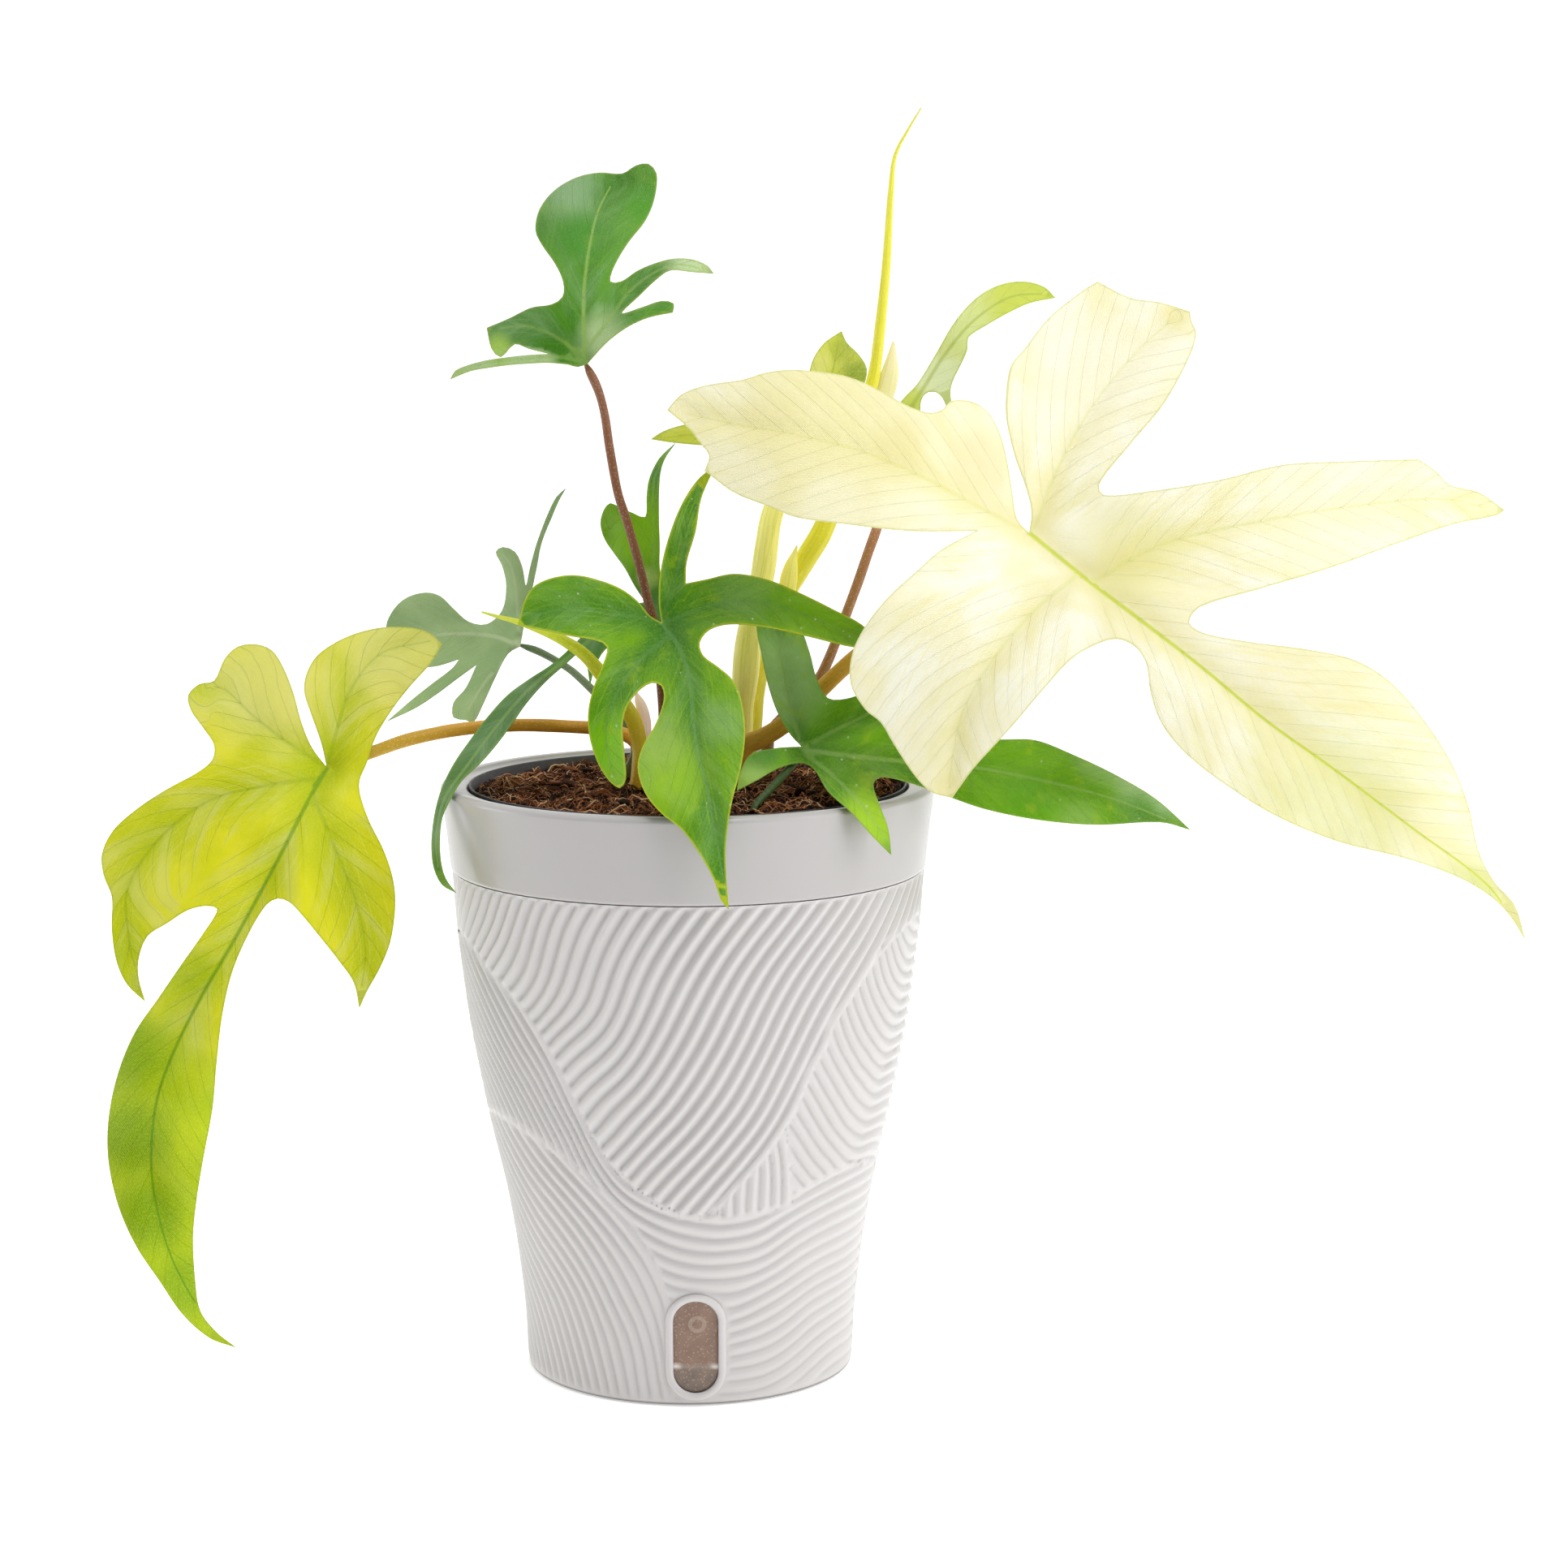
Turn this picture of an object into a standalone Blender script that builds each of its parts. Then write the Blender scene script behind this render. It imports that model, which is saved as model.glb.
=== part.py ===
"""Philodendron with deeply cut leaves, one of them pale cream, in a round self-watering pot.

The pot stands on z = 0 with its axis on the Z axis, and its front, with the water window, faces -Y.
Every leaf is drawn on a sheet that stands square to the line of sight of someone who looks at the
pot from the front and a little above. Its points are in quarter millimetres, x to the right and y
down. Each leaf is then bent out of the sheet, towards the viewer or away, by the depth that its
posts give in millimetres.
"""

import math

import bpy
import numpy as np
from mathutils import Vector
from mathutils.bvhtree import BVHTree
from mathutils.geometry import delaunay_2d_cdt

MM = 0.001
GAP = 0.3

# Pot, in millimetres
POT_HEIGHT = 183.6
SEAM_HEIGHT = 157.0
RIM_RADIUS = 76.0
WALL = 2.5
POT_PROFILE = [
    (50.0, 0.0), (51.0, 1.2), (51.7, 18.0), (54.0, 38.0), (57.1, 57.0),
    (63.1, 83.0), (68.0, 109.0), (71.2, 135.0), (72.7, SEAM_HEIGHT),
]
POT_SIDES = 48
FLOOR = 3.0

# Water window in the front of the pot
WINDOW_X = 3.0
WINDOW_WIDTH = 14.4
WINDOW_BOTTOM = 4.0
WINDOW_TOP = 34.0

# Grow pot that hangs in the collar, and its soil
LEDGE_HEIGHT = 178.0
GROW_RADIUS_TOP = 66.3
GROW_RADIUS_BOTTOM = 46.0
GROW_BOTTOM = 46.0
GROW_WALL = 1.5
WICK_RADIUS = 17.0
WICK_BOTTOM = 6.0
SOIL_TOP = 174.5
ROOT_BOTTOM = 128.0

# Drawing sheet
SHEET_AXIS = 848
SHEET_LEVEL = 966
SHEET_UNITS_PER_MM = 4.0
SHEET_CENTRE = np.array([0.0, 0.0, 182.1])
SHEET_TILT = math.radians(8.54)
SHEET_RIGHT = np.array([1.0, 0.0, 0.0])
SHEET_UP = np.array([0.0, math.sin(SHEET_TILT), math.cos(SHEET_TILT)])
VIEWPOINT = np.array([29.5, -1071.8, 343.1])
SIGHT = 1083.8

# Leaves
BLADE = 0.8
EDGE_STEP = 5.5
FACE_STEP = 8.0
STALK_STEP = 10.0
STALK_SIDES = 8
TIP = 1


def sheet_mm(point):
    """A point of the sheet as millimetres right of the pot's axis and above the sheet's centre."""
    across = (point[0] - SHEET_AXIS) / SHEET_UNITS_PER_MM
    up = (SHEET_LEVEL - point[1]) / SHEET_UNITS_PER_MM
    return np.array([across, up])


def in_space(across, up, depth):
    """The place of a point of the sheet that is moved along its line of sight."""
    on_sheet = SHEET_CENTRE + across * SHEET_RIGHT + up * SHEET_UP
    return VIEWPOINT + (on_sheet - VIEWPOINT) * (1 - depth / SIGHT)


def spline(points, step, closed_by=None):
    """Points about a step apart on a smooth curve through the given ones, without the last."""
    before = points[-1] if closed_by == "loop" else 2 * points[0] - points[1]
    after = points[0] if closed_by == "loop" else 2 * points[-1] - points[-2]
    knots = [before, *points, after]
    if closed_by == "loop":
        knots.append(points[1])
    out = []
    for i in range(1, len(knots) - 2):
        p0, p1, p2, p3 = knots[i - 1 : i + 3]
        length = np.linalg.norm(p2 - p1)
        slope1 = (p2 - p0) * length / max(np.linalg.norm(p2 - p1) + np.linalg.norm(p1 - p0), 1e-6)
        slope2 = (p3 - p1) * length / max(np.linalg.norm(p3 - p2) + np.linalg.norm(p2 - p1), 1e-6)
        parts = max(1, math.ceil(length / step - 0.25))
        for k in range(parts):
            t = k / parts
            out.append(
                (2 * t**3 - 3 * t**2 + 1) * p1
                + (t**3 - 2 * t**2 + t) * slope1
                + (3 * t**2 - 2 * t**3) * p2
                + (t**3 - t**2) * slope2
            )
    return out


def outline_loop(drawn, step):
    """A leaf's edge as a closed loop, with a corner at each tip."""
    corners = [i for i, point in enumerate(drawn) if len(point) == 3]
    flat = [sheet_mm(point) for point in drawn]
    if not corners:
        return spline(flat, step, "loop")
    loop = []
    for start, end in zip(corners, corners[1:] + [corners[0] + len(flat)]):
        run = [flat[i % len(flat)] for i in range(start, end + 1)]
        loop += spline(run, step)
    return loop


def inside(point, loop):
    """Whether a point lies within a closed loop."""
    x, y = point
    a = loop
    b = np.roll(loop, -1, axis=0)
    spans = (a[:, 1] > y) != (b[:, 1] > y)
    rise = np.where(spans, b[:, 1] - a[:, 1], 1.0)
    cross = a[:, 0] + (y - a[:, 1]) / rise * (b[:, 0] - a[:, 0])
    return bool(np.count_nonzero(spans & (x < cross)) % 2)


def distance_to_path(points, path):
    """How far each point lies from an open path."""
    best = np.full(len(points), 1e9)
    for a, b in zip(path[:-1], path[1:]):
        along = b - a
        t = np.clip((points - a) @ along / max(along @ along, 1e-9), 0, 1)
        best = np.minimum(best, np.linalg.norm(points - a - t[:, None] * along, axis=1))
    return best


class Relief:
    """A leaf's depth over the sheet: a smooth bent plate through its posts, creased along its veins."""

    def __init__(self, posts, veins, crease):
        self.posts = np.array([sheet_mm(post) for post in posts])
        depths = np.array([post[2] for post in posts], float)
        count = len(posts)
        system = np.zeros((count + 3, count + 3))
        system[:count, :count] = self.bend(self.posts) + 2.0 * np.eye(count)
        system[:count, count] = 1
        system[:count, count + 1 :] = self.posts
        system[count:, :count] = system[:count, count:].T
        self.weights = np.linalg.solve(system, np.append(depths, [0, 0, 0]))
        self.veins = [np.array([sheet_mm(point) for point in vein]) for vein in veins]
        self.crease = crease

    def bend(self, points):
        square = ((points[:, None, :] - self.posts[None, :, :]) ** 2).sum(-1)
        return square * np.log(np.maximum(square, 1e-9)) / 2

    def plate(self, points):
        count = len(self.posts)
        tilt = self.weights[count] + points @ self.weights[count + 1 :]
        return self.bend(points) @ self.weights[:count] + tilt

    def depth(self, points):
        depth = self.plate(points)
        for i, vein in enumerate(self.veins):
            reach = 6.0 if i == 0 else 4.0
            away = distance_to_path(points, vein)
            depth = depth - self.crease * (1.0 if i == 0 else 0.6) * np.exp(-((away / reach) ** 2))
        return depth


def leaf_triangles(loop, veins):
    """Points and triangles that fill a leaf's outline, finer along its edge, with its veins as lines."""
    edge = np.array(loop)
    closing = np.vstack([edge, edge[:1]])
    points = list(edge)
    lines = [(i, (i + 1) % len(edge)) for i in range(len(edge))]
    for vein in veins:
        run = spline([sheet_mm(point) for point in vein], FACE_STEP)
        last = None
        for point in run[1:]:
            clear = distance_to_path(point[None, :], closing)[0] > 2.2 and inside(point, edge)
            others = np.array(points[len(edge) :] or [[1e6, 1e6]])
            clear = clear and np.linalg.norm(others - point, axis=1).min() > 2.5
            if not clear:
                last = None
                continue
            points.append(point)
            if last is not None:
                lines.append((last, len(points) - 1))
            last = len(points) - 1
    low, high = edge.min(0), edge.max(0)
    row = 0
    v = low[1]
    while v < high[1]:
        u = low[0] + (row % 2) * FACE_STEP / 2
        while u < high[0]:
            point = np.array([u, v])
            near = np.linalg.norm(np.array(points) - point, axis=1).min() > 0.6 * FACE_STEP
            if near and inside(point, edge) and distance_to_path(point[None, :], closing)[0] > 3.0:
                points.append(point)
            u += FACE_STEP
        v += FACE_STEP * 0.87
        row += 1
    flat = [Vector(point) for point in points]
    whole = [list(range(len(edge)))]
    found = delaunay_2d_cdt(flat, lines, whole, 1, 1e-5)
    places = np.array([tuple(point) for point in found[0]])
    faces = []
    for face in found[2]:
        a, b, c = (places[i] for i in face)
        area = (b[0] - a[0]) * (c[1] - a[1]) - (b[1] - a[1]) * (c[0] - a[0])
        if abs(area) > 1e-3:
            faces.append(tuple(face) if area > 0 else tuple(reversed(face)))
    return places, faces


def point_normals(places, faces):
    """Each point's normal, from the faces round it."""
    corners = places[np.array(faces)]
    across = np.cross(corners[:, 1] - corners[:, 0], corners[:, 2] - corners[:, 0])
    normals = np.zeros_like(places)
    for k in range(3):
        np.add.at(normals, np.array(faces)[:, k], across)
    return normals / np.linalg.norm(normals, axis=1)[:, None]


def border_edges(faces):
    """The edges that belong to one face only, in that face's direction."""
    seen = {}
    for face in faces:
        for i in range(3):
            edge = (face[i], face[(i + 1) % 3])
            seen[edge] = True
    return [edge for edge in seen if (edge[1], edge[0]) not in seen]


def material(name, colour, roughness):
    """A plain coloured finish."""
    made = bpy.data.materials.get(name) or bpy.data.materials.new(name)
    made.use_nodes = True
    shader = made.node_tree.nodes["Principled BSDF"]
    shader.inputs["Base Color"].default_value = (*colour, 1)
    shader.inputs["Roughness"].default_value = roughness
    shader.inputs["Metallic"].default_value = 0.0
    made.diffuse_color = (*colour, 1)
    return made


def add_object(name, places, faces, finish):
    """An object from points in millimetres."""
    mesh = bpy.data.meshes.new(name)
    mesh.from_pydata([tuple(place) for place in np.asarray(places) * MM], [], faces)
    mesh.validate()
    mesh.update()
    made = bpy.data.objects.new(name, mesh)
    bpy.context.scene.collection.objects.link(made)
    mesh.materials.append(finish)
    return made


def add_blade(name, drawn, veins, relief, finish):
    """A leaf blade: its two faces are split alike and a thickness apart."""
    flat, faces = leaf_triangles(outline_loop(drawn, EDGE_STEP), veins)
    depths = relief.depth(flat)
    middle = np.array([in_space(p[0], p[1], d) for p, d in zip(flat, depths)])
    normals = point_normals(middle, faces)
    count = len(middle)
    places = np.vstack([middle + normals * BLADE / 2, middle - normals * BLADE / 2])
    walls = []
    for a, b in border_edges(faces):
        walls += [(b, a, a + count), (b, a + count, b + count)]
    backs = [(c + count, b + count, a + count) for a, b, c in faces]
    return add_object(name, places, faces + backs + walls, finish)


def tube(rings_at, radii, sides):
    """Points and faces of a closed tube round a run of centres."""
    centres = np.array(rings_at)
    along = np.gradient(centres, axis=0)
    along /= np.linalg.norm(along, axis=1)[:, None]
    side = np.cross(along[0], [0.0, 1.0, 0.2])
    side /= np.linalg.norm(side)
    places = []
    for centre, direction, radius in zip(centres, along, radii):
        side = side - direction * (side @ direction)
        side /= np.linalg.norm(side)
        other = np.cross(direction, side)
        for k in range(sides):
            turn = 2 * math.pi * k / sides
            places.append(centre + radius * (math.cos(turn) * side + math.sin(turn) * other))
    faces = []
    for ring in range(len(centres) - 1):
        for k in range(sides):
            a = ring * sides + k
            b = ring * sides + (k + 1) % sides
            faces += [(a, b, b + sides), (a, b + sides, a + sides)]
    first, last = len(places), len(places) + 1
    places += [centres[0], centres[-1]]
    top = (len(centres) - 1) * sides
    for k in range(sides):
        after = (k + 1) % sides
        faces += [(first, after, k), (last, top + k, top + after)]
    return np.array(places), faces


def stalk_run(root, drawn):
    """Centres and radii of a stalk along its drawn line, from its root in the soil to its end."""
    knots = [np.array([*in_space(*sheet_mm(point), point[2]), point[3]]) for point in drawn]
    ground = np.array([root[0], root[1], SOIL_TOP + 5.0, root[2]])
    run = spline([ground, *knots], STALK_STEP) + [knots[-1]]
    run.insert(0, np.array([root[0], root[1], ROOT_BOTTOM, root[2]]))
    return run


def behind_blade(run, relief, drawn, clearance):
    """The stalk's centres, moved back where its own blade hides them, with its end at the blade."""
    edge = np.array(outline_loop(drawn, EDGE_STEP))
    closing = np.vstack([edge, edge[:1]])
    cleared = []
    for i, knot in enumerate(run):
        place, radius = knot[:3], knot[3]
        away = VIEWPOINT - place
        # The point of the sheet that this centre shows at, and its depth
        sheet_normal = np.cross(SHEET_RIGHT, SHEET_UP)
        share = ((SHEET_CENTRE - place) @ sheet_normal) / (away @ sheet_normal)
        on_sheet = place + away * share
        flat = np.array([[on_sheet[0], (on_sheet - SHEET_CENTRE) @ SHEET_UP]])
        depth = SIGHT * (1 - np.linalg.norm(away) / np.linalg.norm(VIEWPOINT - on_sheet))
        over = inside(flat[0], edge) or distance_to_path(flat, closing)[0] < radius + 0.8
        if over:
            step = 0.5
            around = flat + np.array([[0, 0], [step, 0], [0, step]])
            level = relief.depth(around)
            slope = np.hypot(level[1] - level[0], level[2] - level[0]) / step
            back = level[0] - (radius + BLADE / 2 + clearance) * math.hypot(1, slope)
            depth = back if i == len(run) - 1 else min(depth, back)
            place = in_space(flat[0, 0], flat[0, 1], depth)
        cleared.append(np.array([*place, radius]))
    return cleared


def surface_gap(places, faces, other_places, other_tree):
    """The least distance between two surfaces, from the points of both and one's edge middles."""
    tree = BVHTree.FromPolygons([tuple(place) for place in places], faces)
    middles = [(places[face[i - 1]] + places[face[i]]) / 2 for face in faces for i in range(3)]
    ahead = min(other_tree.find_nearest(tuple(place))[3] for place in [*places, *middles])
    return min(ahead, min(tree.find_nearest(tuple(place))[3] for place in other_places))


def add_stalk(name, root, drawn, finish):
    """A round stalk that tapers along its run."""
    run = stalk_run(root, drawn)
    places, faces = tube([knot[:3] for knot in run], [knot[3] for knot in run], STALK_SIDES)
    return add_object(name, places, faces, finish)


def add_seated_stalk(name, root, drawn, finish, relief, outline, blade):
    """A stalk whose end lies just behind its blade."""
    blade_places = np.array([vertex.co for vertex in blade.data.vertices]) / MM
    blade_faces = [tuple(face.vertices) for face in blade.data.polygons]
    blade_tree = BVHTree.FromPolygons([tuple(place) for place in blade_places], blade_faces)
    near, far = -3.0, 4.0
    for _ in range(12):
        clearance = (near + far) / 2
        run = behind_blade(stalk_run(root, drawn), relief, outline, clearance)
        places, faces = tube([knot[:3] for knot in run], [knot[3] for knot in run], STALK_SIDES)
        if surface_gap(places, faces, blade_places, blade_tree) < GAP:
            near = clearance
        else:
            far = clearance
    return add_object(name, places, faces, finish)


def add_turned(name, profile, finish, sides=POT_SIDES):
    """A ring or vessel turned from a closed profile of radius and height, outer side downwards."""
    places = []
    rows = []
    for radius, height in profile:
        row = []
        if radius < 1e-6:
            row = [len(places)] * sides
            places.append((0.0, 0.0, height))
        else:
            for k in range(sides):
                turn = 2 * math.pi * k / sides
                row.append(len(places))
                places.append((radius * math.cos(turn), radius * math.sin(turn), height))
        rows.append(row)
    faces = []
    for i in range(len(rows)):
        upper, lower = rows[i], rows[(i + 1) % len(rows)]
        for k in range(sides):
            after = (k + 1) % sides
            ring = [upper[k], lower[k], lower[after], upper[after]]
            face = list(dict.fromkeys(ring))
            if len(face) > 2:
                faces.append(tuple(face))
    return add_object(name, places, faces, finish)


def wall_radius(height):
    """The pot's outer radius at a height."""
    radii = [radius for radius, _ in POT_PROFILE]
    heights = [height for _, height in POT_PROFILE]
    return float(np.interp(height, heights, radii))


def stadium_prism(name, width, bottom, top, front, back, finish):
    """An upright slot shape that runs through the pot's front wall."""
    radius = width / 2
    steps = 8
    outline = []
    for k in range(steps + 1):
        turn = math.pi * k / steps
        outline.append((WINDOW_X + radius * math.cos(turn), top - radius + radius * math.sin(turn)))
    for k in range(steps + 1):
        turn = math.pi + math.pi * k / steps
        outline.append((WINDOW_X + radius * math.cos(turn), bottom + radius + radius * math.sin(turn)))
    count = len(outline)
    places = [(x, front, z) for x, z in outline] + [(x, back, z) for x, z in outline]
    faces = [tuple(range(count)), tuple(range(2 * count - 1, count - 1, -1))]
    for k in range(count):
        after = (k + 1) % count
        faces.append((after, k, k + count, after + count))
    return add_object(name, places, faces, finish)


def as_cutter(helper):
    helper.hide_render = True
    helper.display_type = "WIRE"
    return helper


def cut(made, helper, operation):
    """Leaves a Boolean with a helper on an object."""
    step = made.modifiers.new(operation.title(), "BOOLEAN")
    step.operation = operation
    step.object = as_cutter(helper)
    step.solver = "EXACT"


def smooth(made, angle=35):
    made.data.shade_smooth()
    made.data.set_sharp_from_angle(angle=math.radians(angle))


# The pale cream leaf at the upper right
GHOST = [
    (1268, 657, TIP), (1253, 640), (1246, 600), (1239, 560), (1230, 530), (1218, 509), (1202, 497),
    (1184, 493), (1170, 495), (1162, 504), (1148, 509), (1125, 503), (1092, 486), (1065, 472),
    (1035, 462), (980, 456), (945, 459), (915, 468), (870, 475), (840, 486), (822, 505, TIP),
    (848, 527), (862, 545), (874, 562), (868, 580, TIP), (905, 607), (950, 625), (980, 637),
    (1045, 646), (1120, 654), (1203, 654, TIP), (1160, 677), (1130, 703), (1095, 735), (1067, 770),
    (1050, 805), (1048, 842), (1066, 874), (1085, 890), (1100, 915), (1128, 957), (1148, 976),
    (1173, 983, TIP), (1200, 946), (1245, 897), (1285, 850), (1320, 812), (1348, 795), (1375, 787),
    (1398, 796), (1412, 817), (1418, 855), (1432, 893), (1465, 932), (1525, 977), (1580, 1009),
    (1650, 1037), (1730, 1057), (1795, 1080), (1836, 1104), (1860, 1128), (1879, 1158, TIP),
    (1866, 1115), (1840, 1085), (1821, 1047), (1808, 990), (1785, 935), (1750, 882), (1712, 840),
    (1670, 814), (1615, 801), (1540, 791), (1483, 780), (1465, 767), (1478, 748), (1550, 726),
    (1640, 699), (1720, 670), (1790, 646), (1846, 634), (1853, 628, TIP), (1822, 607), (1785, 597),
    (1768, 580), (1747, 566, TIP), (1650, 569), (1580, 573), (1500, 592), (1420, 605), (1360, 610),
    (1354, 597), (1392, 548), (1432, 500), (1462, 447), (1474, 412), (1468, 396), (1466, 384, TIP),
    (1430, 373), (1392, 367), (1352, 347, TIP), (1330, 361), (1292, 392), (1262, 430), (1246, 450),
    (1240, 480), (1240, 515), (1250, 560), (1264, 600), (1271, 630),
]
GHOST_VEINS = [
    [(1268, 657), (1340, 715), (1410, 768), (1480, 822), (1560, 888), (1640, 945), (1740, 1020),
     (1830, 1088), (1870, 1142)],
    [(1268, 657), (1200, 622), (1130, 585), (1060, 556), (980, 536), (900, 522), (840, 508)],
    [(1330, 707), (1275, 752), (1222, 815), (1185, 880), (1168, 970)],
    [(1275, 650), (1300, 585), (1340, 510), (1395, 440), (1448, 390)],
    [(1345, 718), (1430, 672), (1540, 645), (1660, 625), (1770, 615), (1840, 627)],
]
GHOST_POSTS = [
    (1268, 657, 20), (1352, 347, -24), (1466, 390, -16), (1242, 480, 0), (1330, 480, -6),
    (1100, 560, 36), (960, 540, 46), (826, 505, 38), (868, 580, 48), (1080, 472, 22),
    (1180, 495, 12), (1160, 650, 40), (1170, 760, 50), (1060, 830, 56), (1173, 983, 62),
    (1270, 850, 58), (1450, 800, 50), (1600, 900, 56), (1750, 1000, 46), (1879, 1158, 18),
    (1400, 610, 20), (1560, 640, 26), (1747, 567, 2), (1853, 628, -10), (1700, 680, 18),
    (1480, 750, 42), (1650, 1037, 46), (1700, 840, 46),
]
GHOST_STALK = [
    (917, 918, 2, 3.2), (935, 911, 2, 3.0), (965, 893, 2, 2.8), (1015, 846, 3, 2.6),
    (1048, 815, 6, 2.5), (1110, 765, 12, 2.4), (1180, 705, 12, 2.3), (1268, 659, 14, 2.0),
]

# The big lime leaf that hangs at the left
LIME = [
    (403, 946, TIP), (396, 915), (383, 878), (375, 852), (378, 830), (392, 807), (425, 786),
    (465, 774), (505, 773), (530, 780), (545, 794, TIP), (530, 818), (505, 846), (482, 876),
    (463, 908), (452, 940), (443, 962), (444, 980), (455, 1012), (472, 1046), (484, 1082),
    (487, 1115), (481, 1160), (468, 1193), (452, 1222), (443, 1242, TIP), (436, 1210), (418, 1184),
    (396, 1156), (372, 1127), (356, 1111), (342, 1107), (328, 1115), (305, 1153), (286, 1198),
    (274, 1250), (267, 1310), (262, 1365), (250, 1430), (242, 1480), (238, 1525), (241, 1580),
    (247, 1615), (266, 1640), (291, 1660, TIP), (258, 1648), (225, 1619), (198, 1580), (168, 1535),
    (146, 1485), (134, 1430), (134, 1380), (145, 1325), (166, 1273), (196, 1229), (224, 1188),
    (252, 1148), (268, 1120), (255, 1116), (232, 1121), (205, 1138), (182, 1153), (171, 1180),
    (171, 1205), (179, 1234, TIP), (157, 1213), (144, 1185), (138, 1145), (138, 1105), (128, 1078),
    (126, 1052), (140, 1023), (170, 996), (205, 973), (245, 951), (262, 936), (264, 918),
    (250, 896), (236, 876), (232, 857), (246, 843), (264, 839), (277, 812), (293, 797),
    (316, 794), (336, 802), (350, 824), (362, 855), (371, 888), (384, 920),
]
LIME_VEINS = [
    [(403, 946), (378, 990), (350, 1045), (318, 1105), (285, 1165), (250, 1225), (215, 1295),
     (195, 1350), (187, 1410), (190, 1470), (208, 1540), (238, 1600), (275, 1645)],
    [(395, 958), (330, 968), (262, 985), (200, 1030), (158, 1095), (160, 1160), (172, 1210)],
    [(385, 978), (410, 1040), (438, 1110), (450, 1170), (445, 1220)],
    [(403, 946), (355, 915), (310, 880), (278, 850), (258, 845)],
    [(403, 946), (415, 900), (432, 850), (470, 805), (530, 790)],
]
LIME_POSTS = [
    (403, 946, 14), (371, 852, 6), (545, 794, -14), (465, 774, -10), (316, 794, -14),
    (232, 857, -6), (262, 936, 14), (300, 1040, 30), (350, 1045, 34), (126, 1052, 16),
    (184, 1238, 34), (138, 1145, 26), (250, 1116, 32), (443, 1242, 30), (470, 1046, 16),
    (487, 1115, 16), (342, 1107, 32), (265, 1200, 44), (190, 1350, 52), (134, 1400, 38),
    (250, 1430, 40), (190, 1500, 48), (291, 1660, 16), (455, 1180, 24), (240, 1580, 34),
]
LIME_STALK = [
    (790, 932, -3, 2.4), (784, 915, -4, 2.2), (770, 905, -5, 2.1), (740, 898, -6, 2.0),
    (700, 895, -6, 2.0), (650, 893, -5, 2.0), (600, 895, -3, 2.0), (545, 902, 0, 2.0),
    (500, 912, 3, 2.0), (460, 926, 6, 1.9), (403, 946, 9, 1.6),
]

# The green leaf in the middle, whose long lobe hangs over the front of the rim
CENTRE = [
    (815, 767, TIP), (801, 759), (786, 741), (766, 726), (742, 716), (712, 709), (685, 711),
    (660, 721), (648, 737), (638, 770, TIP), (668, 776), (705, 784), (735, 789), (748, 797),
    (743, 818), (732, 845), (725, 875), (726, 905), (735, 936), (749, 960), (764, 971),
    (771, 960), (769, 925), (767, 895), (772, 872), (786, 852), (803, 841), (815, 845),
    (818, 862), (808, 892), (793, 918), (786, 945), (795, 977), (815, 1002), (840, 1022),
    (864, 1055), (880, 1085), (889, 1110), (898, 1120, TIP), (895, 1080), (894, 1045), (901, 992),
    (913, 945), (918, 905), (914, 865), (903, 838), (884, 821), (867, 808), (862, 792),
    (874, 776), (900, 769), (945, 773), (1000, 785), (1045, 796), (1084, 801, TIP), (1066, 773),
    (1025, 750), (980, 728), (945, 714), (905, 707), (870, 714), (845, 719, TIP), (846, 693),
    (857, 655), (864, 615), (882, 572, TIP), (858, 593), (838, 625), (822, 668), (813, 710),
    (812, 745),
]
CENTRE_VEINS = [
    [(815, 767), (838, 800), (851, 845), (855, 890), (861, 930), (872, 975), (880, 1020),
     (889, 1070), (896, 1108)],
    [(815, 767), (770, 758), (720, 751), (675, 754), (643, 768)],
    [(826, 784), (795, 808), (768, 840), (750, 880), (748, 920), (760, 962)],
    [(818, 768), (858, 752), (900, 741), (950, 745), (1000, 762), (1078, 798)],
    [(815, 767), (825, 735), (838, 690), (852, 640), (878, 577)],
]
CENTRE_POSTS = [
    (815, 767, 26), (882, 572, 2), (830, 660, 14), (742, 716, 26), (650, 740, 26),
    (700, 780, 36), (760, 965, 56), (728, 880, 44), (790, 850, 44), (850, 860, 52),
    (850, 950, 70), (795, 975, 74), (905, 980, 76), (850, 1020, 82), (898, 1120, 86),
    (905, 707, 24), (950, 770, 38), (1084, 801, 34), (915, 865, 54),
]
CENTRE_STALK = [
    (856, 928, 8, 2.3), (850, 885, 10, 2.1), (842, 840, 12, 2.0), (832, 800, 15, 1.9),
    (816, 768, 20, 1.5),
]

# The green leaf at the lower right
LOWER = [
    (988, 920, TIP), (972, 902), (957, 875), (946, 842), (938, 805), (932, 768), (940, 735, TIP),
    (965, 742), (985, 770), (998, 805), (1006, 835), (1020, 860), (1042, 861), (1075, 850),
    (1112, 838, TIP), (1108, 862), (1103, 890), (1118, 905), (1165, 906), (1230, 911), (1275, 912),
    (1320, 929), (1375, 955), (1425, 985), (1466, 1022, TIP), (1430, 1013), (1350, 1016),
    (1280, 1010), (1215, 997), (1165, 980), (1120, 964), (1085, 957), (1076, 966), (1083, 990),
    (1094, 1020), (1098, 1053, TIP), (1076, 1031), (1048, 1000), (1020, 975), (1003, 948),
    (988, 940), (960, 946), (935, 960), (908, 974, TIP), (912, 952), (925, 930), (955, 922),
]
LOWER_VEINS = [
    [(988, 924), (1050, 932), (1120, 939), (1200, 946), (1280, 961), (1370, 984), (1450, 1015)],
    [(988, 922), (976, 880), (966, 830), (955, 780), (945, 745)],
    [(995, 918), (1035, 897), (1075, 876), (1106, 848)],
    [(992, 930), (1022, 952), (1055, 985), (1078, 1015), (1095, 1045)],
]
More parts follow.
